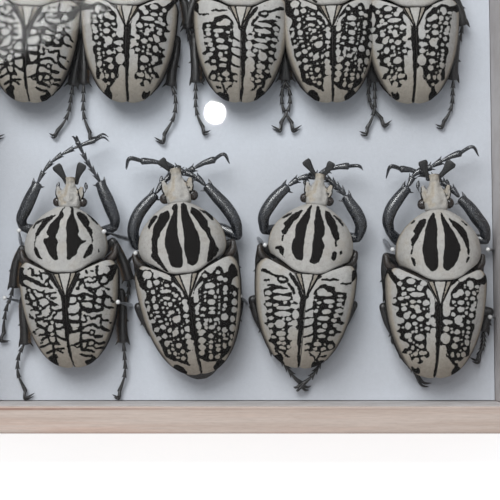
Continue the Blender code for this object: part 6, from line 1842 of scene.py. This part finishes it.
def hair_finish(name, colour, other):
    made = Finish(name, Sheen_Weight=0.2, Specular_IOR_Level=0.4)
    locks = made.noise(0.8, 3)
    tint = made.shade(made.mix(made.span(locks, 0.38, 0.62), colour, other), made.noise(0.2, 2), 0.15)
    return made.wear(tint, made.span(locks, 0.3, 0.7, 0.4, 0.6), made.bump(locks, 0.02, 0.3))


FLOOR_GLOW = 0.55


def floor_finish(name):
    made = Finish(name, Specular_IOR_Level=0.2, Emission_Color=(1, 1, 1, 1), Emission_Strength=FLOOR_GLOW)
    cloud = made.noise(60.0, 3)
    tint = made.mix(cloud, paint(252, 252, 252), paint(247, 247, 248))
    return made.wear(tint, made.span(cloud, 0.3, 0.7, 0.7, 0.85), made.bump(cloud, 0.05, 0.2))


# Where the beetles' sheets and skins are black or tan, and where shade is painted on them

PART_FRAMES = {"wings": "body", "shield": "shield"}
UNDERSIDE_DARK = -1.0
UNDERSIDE_TONE = 0.5
MARK_STORE = {}


def marks_on(drawing, part, top):
    """How far inside the black the upper points of a beetle's part are, in millimetres."""
    frame = PLACES[drawing][PART_FRAMES[part]]
    heavier = HEAVIER.get(drawing, 0.0) if part == "wings" else 0.0
    return (ink(seen(carried(top.reshape(-1, 3), frame)), *DRAWINGS[drawing][part]) + heavier) * PIXEL


def shared_marks(drawing, part, top):
    """A drawing's marks on a form that several beetles may share, worked out once."""
    side = "left" if top[..., 0].mean() < 0 else "right"
    key = (drawing, part, side if part == "wings" else "both", len(top))
    if key not in MARK_STORE:
        MARK_STORE[key] = marks_on(drawing, part, top)
    return MARK_STORE[key]


def with_underside(values, surface, below):
    """Values of a sheet's upper points, with one for those of its underside."""
    return np.concatenate([values, np.full(len(surface[0]) - len(values), below)])


def wing_tan_and_painted_shade(top):
    """Where the wing cases are tan, at the tip, and where shade is painted along the outer edge: tone above
    one there.
    """
    x, y = np.abs(top[..., 0]).ravel(), top[..., 1].ravel()
    tip = 0.85 * smooth_step(-14, -37, y)
    # Painted shade: the outer edge slopes away from the light, so its tone mixes in grey-brown
    edge = 1.75 * smooth_step(0.84, 1.0, x / half_width(y)) * smooth_step(-38, -30, y)
    return tip + edge


def wing_rim(top):
    """How far a place of a wing case is inside the dark line along its outer edge."""
    x, y = np.abs(top[..., 0]).ravel(), top[..., 1].ravel()
    return np.where(y > -36, x - half_width(y) + 0.4, -1.0)


def shield_tint_and_painted_shade(top):
    """A faint tan over the shield, and painted shade low down on its sides: grey-brown where they slope from
    the light.
    """
    return 0.1 + 1.5 * smooth_step(18.5, 14.0, top[..., 2].ravel())


def scutellum_marks(top):
    """The scutellum is cream in the middle, with a dark line down each side and dark edges."""
    x, y = np.abs(top[..., 0]).ravel(), top[..., 1].ravel()
    width = SCUTELLUM_HALF * np.clip((y - SCUTELLUM_TIP) / (SCUTELLUM_FRONT - SCUTELLUM_TIP), 0.05, 1)
    line = 0.35 - np.abs(x - 0.52 * width)
    rim = x - width + 0.45
    dark = np.maximum(np.maximum(line, rim), 0.3 - np.abs(y - SCUTELLUM_FRONT))
    return dark, 0.25 + 1.2 * np.clip((x - 0.55 * width) / 0.4, 0, 1)


def column(stations, place, values, at):
    """One column of a table of sections, read off at places."""
    return np.interp(at, [row[place] for row in stations], [row[values] for row in stations])


def head_fields(points):
    """The head is beige above, dark below, with a dark line between it and its right lobe; the lobes have
    dark rims.
    """
    x, y, z = np.abs(points[:, 0]), points[:, 1], points[:, 2]
    width = column(HEAD_SECTIONS, 0, 1, y)
    path = np.array(LOBE_PATH)[:, :2]
    share, distance = to_runs(np.column_stack([x, y]), path[:-1], path[1:])
    nearest = distance.argmin(axis=1)
    along = (nearest + share[np.arange(len(x)), nearest]) / (len(path) - 1)
    reach = column(LOBE_SECTION, 0, 1, along)
    lobe = x > width + 0.1
    dark = np.where(lobe, np.maximum(distance.min(axis=1) - 0.72 * reach, 14.4 - z), 14.0 - z)
    # A dark line on the right side only, between the head and its lobe
    seam = 0.3 - np.abs(x - width + 0.1 - 0.3 * rough(points[:, :2], 1.2, 31))
    seam = np.where((points[:, 0] > 0) & (y > 30.2) & (y < 35.6), seam, -1.0)
    tone = 0.3 + 0.9 * smooth_step(0.2, 0.7, rough(points[:, :2], 1.6, 33)) + 0.5 * smooth_step(37.0, 39.6, y)
    return np.clip(np.maximum(dark, seam), -2, 2), tone * smooth_step(26, 30, y)


def add_sheet(sheaf, form, dark, tone, frame):
    """A sheet with marks on its upper side and a plain brown underside."""
    top, surface = form
    sheaf.add(surface, under_faces(surface, *top.shape[:2]), with_underside(dark, surface, UNDERSIDE_DARK),
              with_underside(tone, surface, UNDERSIDE_TONE), carry=frame)


def add_wing_case(sheaf, form, drawing, frame):
    dark = np.maximum(shared_marks(drawing, "wings", form[0]), wing_rim(form[0]))
    add_sheet(sheaf, form, dark, wing_tan_and_painted_shade(form[0]), frame)


def add_shield(sheaf, form, drawing, frame, tan=0.0):
    add_sheet(sheaf, form, shared_marks(drawing, "shield", form[0]), shield_tint_and_painted_shade(form[0]) + tan, frame)


def add_scutellum(sheaf, form, frame):
    add_sheet(sheaf, form, *scutellum_marks(form[0]), frame)


# The hairs

# The coats: how many hairs, how long and how thick; along a limb also how far they stand from its middle
MAIN_COAT = {"trunk": (3600, 1.1, 0.035), "inner": (560, 1.9, 0.04, 1.5), "outer": (240, 1.2, 0.035, 1.3)}
OTHER_COAT = {"trunk": (700, 1.2, 0.05), "inner": (90, 1.8, 0.055, 1.5)}
TRUNK_BEND = np.array((0, -0.25, -0.1))
LIMB_BEND = np.array((0, -0.3, 0))
FRINGE_STEPS = 80
MAIN_SEED = 11
OTHER_SEED = 100


def trunk_hairs(rng, count, length):
    """Short hairs on the sides of the thorax and abdomen, lying backwards."""
    y = rng.uniform(-33, 6.2, count)
    way = rng.choice((-1.0, 1.0), count)
    angle = rng.uniform(-1.05, 0.12, count)
    narrowing, power = FRONT_NARROWING
    width = half_width(np.minimum(y, 0.0)) - CORE_INSET - narrowing * np.clip(y / THORAX_FRONT, 0, 1) ** power
    margin = value_at(MARGIN_HEIGHTS, y) - GAP
    belly = value_at(BELLY_HEIGHTS, y)
    drop = (margin - belly) * arched(np.cos(angle), BELLY_ROUND)
    height = margin - np.where(angle < 0, drop, -0.6 * angle)
    roots = np.column_stack([way * (width * np.cos(angle) - 0.25), y, height])
    leads = np.column_stack([way * np.cos(angle), np.full(count, -0.9), np.sin(angle) - 0.15])
    leads = leads + rng.normal(0, 0.22, (count, 3))
    lengths = length * rng.uniform(0.6, 1.2, count)
    places = np.column_stack([0.5 + 0.45 * way * (0.15 + 0.7 * (-angle)), 0.5 * (y + 34) / 41])
    return roots, leads, lengths, np.clip(places, 0, 1)


def line_hairs(rng, path, count, length, reach, way, limb):
    """A fringe along one side of a limb: the right one if way is 1, the left one if it is -1."""
    line = even_line(path, FRINGE_STEPS)
    tangents = unit(np.gradient(line, axis=0))
    side = unit(np.cross(tangents, UPWARDS))
    side = side if side[FRINGE_STEPS // 2, 0] * way > 0 else -side
    picks = rng.uniform(0.06, 0.97, count)
    index = (picks * (FRINGE_STEPS - 1)).astype(int)
    lift = rng.uniform(-0.9, 0.9, count)
    roots = line[index] + side[index] * (reach * np.cos(lift))[:, None]
    roots = roots + UPWARDS * (0.75 * reach * np.sin(lift))[:, None]
    leads = side[index] + 0.75 * tangents[index] + UPWARDS * (0.5 * np.sin(lift))[:, None]
    leads = leads + rng.normal(0, 0.16, (count, 3))
    lengths = length * rng.uniform(0.6, 1.15, count)
    places = np.column_stack([0.06 + limb * 0.11 + 0.03 * lift, 0.55 + 0.42 * picks])
    return roots, leads, lengths, places


def add_hairs(sheaf, hair_set, thickness, bend, frame):
    roots, leads, lengths, places = hair_set
    surface, patches = hairs(roots, leads, lengths, thickness, bend, places)
    sheaf.add(surface, patches=patches, carry=frame)


def add_trunk_hairs(sheaf, rng, coat, frame):
    count, length, thickness = coat["trunk"]
    add_hairs(sheaf, trunk_hairs(rng, count, length), thickness, TRUNK_BEND, frame)


def add_fringe(sheaf, rng, path, fringe, way, limb, frame=None):
    count, length, thickness, reach = fringe
    add_hairs(sheaf, line_hairs(rng, path, count, length, reach, way, limb), thickness, LIMB_BEND, frame)


# The forms of a beetle, and the first beetle

# How finely the beetles are made: points across and along a sheet, points round a tube and rings along it,
# and an eye's stretch with its points round and rings
MAIN_DETAIL = {
    "wing": (114, 186), "shield": (150, 138), "scutellum": (60, 60), "trunk": (96, 170), "head": (60, 70),
    "horn": 28, "feeler": 16, "eye": (1.05, 40, 26), "femur": (24, 30), "tibia": 36, "tarsus": 20,
}
OTHER_DETAIL = {
    "scutellum": (24, 24), "trunk": (48, 64), "head": (32, 30), "horn": 14, "feeler": 8, "eye": (1.0, 20, 12),
    "femur": (14, 14), "tibia": 20, "tarsus": 10,
}
NEAR_DETAIL = {"wing": (88, 140), "shield": (92, 82), **OTHER_DETAIL}
FAR_DETAIL = {"wing": (48, 74), "shield": (54, 46), **OTHER_DETAIL}
# The voxels and rounds of smoothing of the first beetle's parts that are grown together
GROWN = {"head": (0.14, 3), "horn": (0.12, 4), "tibia": (0.17, 3), "tarsus": (0.13, 2)}
SHEET_EDGE = 60
HANDS = ("left", "right")


def forms_of(detail):
    """The parts that all beetles of one fineness share."""
    return {
        "wings": [wing_surface(side, *detail["wing"]) for side in (-1, 1)],
        "shield": shield_surface(*detail["shield"]), "scutellum": scutellum_surface(*detail["scutellum"]),
        "trunk": trunk_surface(*detail["trunk"]), "epimera": [epimeron(side) for side in (-1, 1)],
        "head": head_surfaces(*detail["head"]), "horn": horn_surfaces(detail["horn"]),
        "feelers": [feeler(side, detail["feeler"]) for side in (-1, 1)],
        "eyes": [eye(side, *detail["eye"]) for side in (-1, 1)],
    }


def make_plain(name, surfaces, frame, look, nodes):
    """A piece of one finish, from surfaces in a beetle's frame."""
    sheaf = Sheaf()
    for surface in surfaces:
        sheaf.add(surface, carry=frame)
    make_piece(name, sheaf, (look,), nodes)


def make_main_shell(forms, frames, looks):
    """The first beetle's wing cases, shield and scutellum."""
    skin = (looks["velvet"], looks["brown"])
    for form, word in zip(forms["wings"], HANDS):
        sheaf = Sheaf()
        add_wing_case(sheaf, form, 1, frames["body"])
        make_piece(f"wing_case_{word}", sheaf, skin, [f"elytron_{word}"], SHEET_EDGE)
    sheaf = Sheaf()
    add_shield(sheaf, forms["shield"], 1, frames["shield"])
    make_piece("shield_and_breast", sheaf, skin, ["prothorax"], SHEET_EDGE)
    sheaf = Sheaf()
    add_scutellum(sheaf, forms["scutellum"], frames["body"])
    make_piece("scutellum_plate", sheaf, skin, ["scutellum"], SHEET_EDGE)


def make_main_head(forms, frame, looks):
    """The first beetle's head, horn, eyes and feelers."""
    sheaf = Sheaf()
    surface = fused(forms["head"], *GROWN["head"])
    sheaf.add(surface, 0, *head_fields(surface[0]), carry=frame)
    make_piece("head_capsule", sheaf, (looks["velvet"],), ["head"])
    horn = fused(forms["horn"], *GROWN["horn"])
    make_plain("forked_horn", [horn], frame, looks["horn"], ["cephalic_horn"])
    for ball_of_eye, line_of_feeler, word in zip(forms["eyes"], forms["feelers"], HANDS):
        make_plain(f"faceted_eye_{word}", [ball_of_eye], frame, looks["eye"], [f"eye_{word}"])
        make_plain(f"feeler_{word}", [line_of_feeler], frame, looks["leg"], [f"antenna_{word}"])


def make_main_legs(frames, looks):
    for word, spec in LEGS.items():
        fore = word.startswith("fore")
        # The middle and hind legs take the darker copy of the leg chitin, whose darker colours paint shade on
        # them
        frame, look = frames["fore" if fore else "body"], looks["leg" if fore else "foot"]
        for part, surfaces in leg_parts(word, spec, MAIN_DETAIL).items():
            if part in GROWN:
                surfaces = [fused(surfaces, *GROWN[part])]
            make_plain(f"leg_{part}_{word}", surfaces, frame, look, [f"{part}_{word}"])


def make_main_coat(body, look):
    """The first beetle's hairs, with fringes down both sides of the middle and hind tibiae."""
    rng = np.random.default_rng(MAIN_SEED)
    sheaf = Sheaf()
    add_trunk_hairs(sheaf, rng, MAIN_COAT, body)
    limbs = [word for word in LEGS if not word.startswith("fore")]
    for limb, word in enumerate(limbs):
        path, way = LEGS[word]["tibia"], side_of(word)
        add_fringe(sheaf, rng, path, MAIN_COAT["inner"], -way, limb, body)
        add_fringe(sheaf, rng, path, MAIN_COAT["outer"], way, limb + len(limbs), body)
    make_piece("coat_of_first_beetle", sheaf, (look,))


def make_main_beetle(looks):
    frames, forms = PLACES[1], forms_of(MAIN_DETAIL)
    make_main_shell(forms, frames, looks)
    make_plain("trunk", [forms["trunk"], *forms["epimera"]], frames["body"], looks["brown"],
               ["thorax", "abdomen", "pygidium"])
    make_main_head(forms, frames["head"], looks)
    make_main_legs(frames, looks)
    make_main_coat(frames["body"], looks["hair"])


# Pins

# The other beetles' pins: where each goes into the lining and where its head is, with heights over the lining
OTHER_PINS = (
    ((128, 262, 0), (135.5, 253, 17)), ((247, 303, 0), (240, 296, 16)), ((250, 307, 0), (264, 311, 9)),
    ((258, 238, 0), (265, 245, 16)), ((384, 240, 0), (392.5, 249.5, 18)), ((494, 250, 0), (488, 249.5, 12)),
    ((497, 318, 0), (490, 317, 9)),
)


def add_pin(sheaf, point, knob):
    """A sharp pin from its point to the middle of its glass head."""
    run = unit(knob - point)
    taper = PIN_POINT / np.linalg.norm(knob - point)
    section = ((0, 0.04, 0.04), (taper, PIN_RADIUS, PIN_RADIUS), (1, PIN_RADIUS, PIN_RADIUS))
    line = (point, point + run * PIN_POINT, (point + knob) / 2, knob)
    sheaf.add(tube(line, section, 16, 24, (0.5, 0.5)), 0)
    sheaf.add(ball(knob, (PIN_HEAD, PIN_HEAD, PIN_HEAD * 0.96), 28, 18), 1)


def make_pins(looks):
    """The first beetle's bracing pins, over the ones of the frame, and the other beetles' pins."""
    skin = (looks["steel"], looks["pin_glass"])
    for number, ends in enumerate(PINS, 1):
        sheaf = Sheaf()
        add_pin(sheaf, *in_world(ends, PLACES[1]["body"]))
        make_piece(f"glass_headed_pin_{number}", sheaf, skin, [f"pin_{number}"])
    sheaf = Sheaf()
    for foot, knob in OTHER_PINS:
        base, head = spot(*foot), spot(*knob)
        add_pin(sheaf, base + unit(base - head) * PIN_DEPTH, head)
    make_piece("other_pins", sheaf, skin)


# The other beetles

# The finishes of their limbs piece, by their places in its list
# foot is the darker copy of the leg chitin that paints shade on the middle and hind legs
LIMB_LOOKS = ("leg", "brown", "eye", "horn", "foot")
LEG, BROWN, EYE, HORN, LEG_IN_SHADE = range(len(LIMB_LOOKS))
# How much stouter than the first beetle's the feet of the nearer beetles are
STOUT_FEET = {"fore": 1.35, "mid": 1.2, "hind": 1.2}
# The second beetle's abdomen is narrower, reaches further back and hangs lower
LONG_ABDOMEN = {2: shifting(0, 0, -2.0) @ sized(0.84, 1.075)}
OTHER_SHIELD_TAN = 0.15


def make_other_shell(number, forms, drawing, frames, looks):
    """Wing cases, shield, scutellum and head in one piece."""
    body, shield, head = frames["body"], frames["shield"], frames["head"]
    sheaf = Sheaf()
    for form in forms["wings"]:
        add_wing_case(sheaf, form, drawing, body)
    add_shield(sheaf, forms["shield"], drawing, shield, OTHER_SHIELD_TAN)
    add_scutellum(sheaf, forms["scutellum"], body)
    for surface in forms["head"]:
        sheaf.add(surface, 0, *head_fields(surface[0]), carry=head)
    skin = (looks["velvet"], looks["brown"])
    make_piece(f"beetle_{number}_shell", sheaf, skin, (), SHEET_EDGE)


def make_other_limbs(number, forms, frames, legs, looks):
    """Trunk, horn, feelers, eyes and legs in one piece."""
    body, head = frames["body"], frames["head"]
    near = number in NEAR_ROW
    sheaf = Sheaf()
    points, faces = forms["trunk"]
    rear = points[faces].mean(axis=1)[:, 1] < PYGIDIUM_FRONT
    sheaf.add(forms["trunk"], np.where(rear, HORN, BROWN), carry=body @ LONG_ABDOMEN.get(number, np.eye(4)))
    for surface in forms["epimera"]:
        sheaf.add(surface, BROWN, carry=body)
    for surface in (*forms["horn"][:1 if near else None], *forms["feelers"]):
        sheaf.add(surface, LEG, carry=head)
    for surface in prongs_of(number, 16) if near else ():
        sheaf.add(surface, HORN)
    for surface in forms["eyes"]:
        sheaf.add(surface, EYE, carry=head)
    for word, spec in legs.items():
        pair = word.split("_")[0]
        for surfaces in leg_parts(word, spec, OTHER_DETAIL, STOUT_FEET[pair] if near else 1.0).values():
            for surface in surfaces:
                # Middle and hind legs take the darker copy of the leg chitin: painted shade
                sheaf.add(surface, LEG if pair == "fore" else LEG_IN_SHADE)
    make_piece(f"beetle_{number}_limbs", sheaf, [looks[look] for look in LIMB_LOOKS])


def make_other_coat(number, body, legs, look):
    rng = np.random.default_rng(OTHER_SEED + number)
    sheaf = Sheaf()
    add_trunk_hairs(sheaf, rng, OTHER_COAT, body)
    for limb, (word, spec) in enumerate(legs.items()):
        if not word.startswith("fore"):
            add_fringe(sheaf, rng, spec["tibia"], OTHER_COAT["inner"], -side_of(word), limb)
    make_piece(f"beetle_{number}_coat", sheaf, (look,))


def make_other_beetle(number, forms, drawing, frames, legs, looks):
    make_other_shell(number, forms, drawing, frames, looks)
    make_other_limbs(number, forms, frames, legs, looks)
    make_other_coat(number, frames["body"], legs, looks["hair"])


# The far row: where the view shows the front of each scutellum and each tail, whose marks and legs it has,
# whether it is their mirror image, how many degrees its forebody is turned, and where its left and right hind
# feet end
FAR_ROW = (
    (5, (28, 5), (29, 103), 1, False, -1.5, (4, 136), (50, 135)),
    (6, (127, 4), (127, 103), 4, True, 1.0, (97, 138), (155, 139)),
    (7, (241, 5), (240, 103), 3, True, -1.0, (210, 132), (272, 127)),
    (8, (331, 4), (332, 103), 2, False, 2.0, (301, 127), (360, 133)),
    (9, (415, 6), (414, 104), 4, False, -2.0, (391, 122), (436, 126)),
)
FOOT_HEIGHT = 0.9
TIBIA_SHARE = 0.45


def led_to(spec, foot):
    """A hind leg whose foot ends at a place of the view. Its joints follow, those near the body the least."""
    off = (spot(*foot, FOOT_HEIGHT) - spec["claw_tip"]) * (1.0, 1.0, 0.0)
    shares = {"femur": (0.0, 0.1), "tibia": (0.1, TIBIA_SHARE), "tarsus": (TIBIA_SHARE, 0.95)}
    led = {part: spec[part] + np.linspace(*ends, len(spec[part]))[:, None] * off
           for part, ends in shares.items()}
    return {**spec, **led, "claw_tip": spec["claw_tip"] + off}


def far_legs(frames, turned, flip, feet):
    """The first beetle's legs in a far beetle's place, with its hind feet where the view shows them."""
    legs = {}
    for word, spec in LEGS.items():
        pair, hand = word.split("_")
        hand = HANDS[HANDS.index(hand) - 1] if flip else hand
        legs[f"{pair}_{hand}"] = moved(spec, frames["fore" if pair == "fore" else "body"] @ turned)
    for word, foot in zip(("hind_left", "hind_right"), feet):
        legs[word] = led_to(legs[word], foot)
    return legs


def make_other_beetles(looks):
    forms = forms_of(NEAR_DETAIL)
    for number in NEAR_ROW:
        frames = PLACES[number]
        make_other_beetle(number, forms, number, frames, legs_of(number, frames), looks)
    forms = forms_of(FAR_DETAIL)
    for number, lobe, tail, drawing, flip, turn, *feet in FAR_ROW:
        frames = frames_of(settle(lobe, tail), math.radians(turn), 0, 0, 0, 0)
        turned = sized(-1.0 if flip else 1.0, 1.0)
        legs = far_legs(frames, turned, flip, feet)
        frames = {part: frame @ turned for part, frame in frames.items()}
        make_other_beetle(number, forms, drawing, frames, legs, looks)


# The case, and what is round it

# Where the rails' top faces have more points, for the reddish-brown line near their inner edge
TOP_STRIPS = (9.2, 6.0, 3.0, 1.8, 1.3, 0.95, 0.6)
INNER_LINE_INSET = 0.9
RAIL_RINGS = 90
RAIL_EDGE = 40


def rail_profile():
    """The section of a rail as (distance out from the opening, height), round at its corners."""
    low, high = BACK_THICKNESS + GAP, RAIL_TOP
    depth = GROOVE_DEPTH + GAP
    corners = (
        (0, low, 0.3), (RAIL_WIDTH, low, 0.3), (RAIL_WIDTH, high, RAIL_ROUND),
        *((u, high, 0.04) for u in TOP_STRIPS), (0, high, 0.3),
        (0, GROOVE_HIGH, 0.2), (depth, GROOVE_HIGH, 0.1), (depth, GROOVE_LOW, 0.1), (0, GROOVE_LOW, 0.2),
    )
    points = []
    for k, (u, z, radius) in enumerate(corners):
        here = np.array((u, z))
        before = unit(np.array(corners[k - 1][:2]) - here)
        after = unit(np.array(corners[(k + 1) % len(corners)][:2]) - here)
        for angle in np.linspace(0, 0.5 * math.pi, 5):
            offset = radius * ((1 - math.sin(angle)) * before + (1 - math.cos(angle)) * after)
            points.append(here + offset)
    return np.array(points)


def closed_ends(rings):
    """The middle point and the faces that close each end of a bar made of rings."""
    count, sides = rings.shape[:2]
    around = np.arange(sides)
    after = (around + 1) % sides
    first, last = np.full(sides, count * sides), np.full(sides, count * sides + 1)
    start = (count - 1) * sides
    near = np.stack([first, after, around, around], -1)
    far = np.stack([last, start + around, start + after, start + after], -1)
    return [rings[0].mean(axis=0), rings[-1].mean(axis=0)], np.concatenate([near, far])


def rail_surface(profile, run, reach):
    """The near or far rail's solid, mitred at both ends. The turned ones are the side rails."""
    half = run / 2 + profile[:, 0] - GAP / math.sqrt(2)
    along = np.linspace(-1, 1, RAIL_RINGS)[:, None] * half
    rings = np.stack(np.broadcast_arrays(along, -reach / 2 - profile[:, 0], profile[:, 1]), -1)
    middles, ends = closed_ends(rings)
    points = np.concatenate([rings.reshape(-1, 3), middles])
    faces = np.concatenate([grid_faces(*rings.shape[:2], closed=True), ends])
    return points, outward(points, faces)


def make_rails(looks):
    profile = rail_profile()
    for turns, word in enumerate(("near", "right", "far", "left")):
        along_x = turns % 2 == 0
        run, reach = (INNER_X, INNER_Y) if along_x else (INNER_Y, INNER_X)
        points, faces = rail_surface(profile, run, reach)
        middle = points[faces].mean(axis=1)
        inner = (np.abs(-reach / 2 - middle[:, 1]) < 0.25) & (middle[:, 2] < GROOVE_LOW)
        # A reddish-brown line on the top face near the inner edge, stronger towards one end of the rail
        inner_line = np.exp(-((points[:, 1] + reach / 2 + INNER_LINE_INSET) / 0.35) ** 2)
        inner_line = inner_line * (points[:, 2] > RAIL_TOP - 0.2) * (0.35 + 0.65 * smooth_step(-10, -70, points[:, 0]))
        sheaf = Sheaf()
        sheaf.add((points, faces), inner.astype(int), -1.0, inner_line, carry=turning(turns * math.pi / 2, "Z"))
        skin = (looks["wood_x" if along_x else "wood_y"], looks["paper"])
        make_piece(f"birch_rail_{word}", sheaf, skin, [f"rail_{word}"], RAIL_EDGE)


def finish_case(nodes, looks):
    """The plain parts of the case keep their shapes and get their finishes."""
    for node, look in (("back_board", "board"), ("lining", "foam"), ("glass_pane", "glass")):
        mesh = nodes[node].data
        mesh.materials.clear()
        mesh.materials.append(looks[look])


FLOOR_REACH = 2.0
# The lamps: name, kind, place, watts and size
LAMPS = (
    ("soft_light", "AREA", (-260, 500, 820), 9.0, 560),
    ("flash", "POINT", (-35.9, 188.5, 1052), 3.0, 13),
)
LAMP_AIM = (0, -40, 0)
ROOM_COLOUR = (0.95, 0.97, 1.0, 1)
ROOM_STRENGTH = 0.52


def make_floor(look):
    mesh = bpy.data.meshes.new("floor")
    corners = [(x * FLOOR_REACH, y * FLOOR_REACH, 0) for x, y in ((-1, -1), (1, -1), (1, 1), (-1, 1))]
    mesh.from_pydata(corners, [], [(0, 1, 2, 3)])
    mesh.materials.append(look)
    floor = bpy.data.objects.new("floor", mesh)
    bpy.context.scene.collection.objects.link(floor)


def make_lamp(name, kind, place, energy, size):
    data = bpy.data.lights.new(name, kind)
    data.energy = energy
    if kind == "AREA":
        data.size = size * MM
    else:
        data.shadow_soft_size = size * MM
    lamp = bpy.data.objects.new(name, data)
    lamp.location = Vector(place) * MM
    lamp.rotation_euler = (Vector(place) - Vector(LAMP_AIM)).to_track_quat("Z", "Y").to_euler()
    bpy.context.scene.collection.objects.link(lamp)


def make_surroundings():
    """The view, the pale room, the soft light, and the small lamp whose reflection shows in the glass."""
    data = bpy.data.cameras.new("camera")
    data.angle = 2 * math.atan(VIEW_SIDE / 2 / FOCAL_PIXELS)
    camera = bpy.data.objects.new("camera", data)
    camera.location = Vector(CAMERA_PLACE) * MM
    camera.rotation_euler = (CAMERA_TILT, 0, 0)
    bpy.context.scene.collection.objects.link(camera)
    bpy.context.scene.camera = camera
    world = bpy.data.worlds.new("pale_room")
    world.use_nodes = True
    background = world.node_tree.nodes["Background"]
    background.inputs["Color"].default_value = ROOM_COLOUR
    background.inputs["Strength"].default_value = ROOM_STRENGTH
    bpy.context.scene.world = world
    for lamp in LAMPS:
        make_lamp(*lamp)
    bpy.context.scene.view_settings.view_transform = "Standard"


def make_looks():
    return {
        "velvet": velvet("chalk_and_black_velvet", paint(166, 164, 161), paint(162, 154, 142),
                         paint(21, 19, 18)),
        "brown": chitin("brown_chitin", paint(30, 25, 22), paint(50, 40, 33), 0.35, 0.6, 0.35),
        "leg": chitin("leg_chitin", paint(20, 22, 26), paint(34, 37, 43), 0.22, 0.36, 0.42, 0.6),
        # foot: the legs' chitin made darker and duller for the middle and hind legs; its darker colours paint
        # shade
        "foot": chitin("leg_chitin_darkened_for_shade", paint(16, 15, 15), paint(28, 25, 24), 0.3, 0.5, 0.4),
        "horn": chitin("horn_chitin", paint(12, 12, 13), paint(22, 21, 21), 0.45, 0.65, 0.3),
        "eye": eye_finish("faceted_eye"),
        "hair": hair_finish("golden_hair", paint(126, 98, 66), paint(96, 72, 48)),
        "wood_x": wood("birch_along_x", True), "wood_y": wood("birch_along_y", False),
        "paper": papered("grey_paper"),
        "foam": foam("pale_foam"), "board": board("plywood"), "glass": glass("clear_glass"),
        "steel": steel("steel"), "pin_glass": pin_glass("white_glass"), "floor": floor_finish("pale_floor"),
    }


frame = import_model()
looks = make_looks()
make_surroundings()
make_floor(looks["floor"])
finish_case(frame["nodes"], looks)
make_rails(looks)
make_main_beetle(looks)
make_pins(looks)
make_other_beetles(looks)
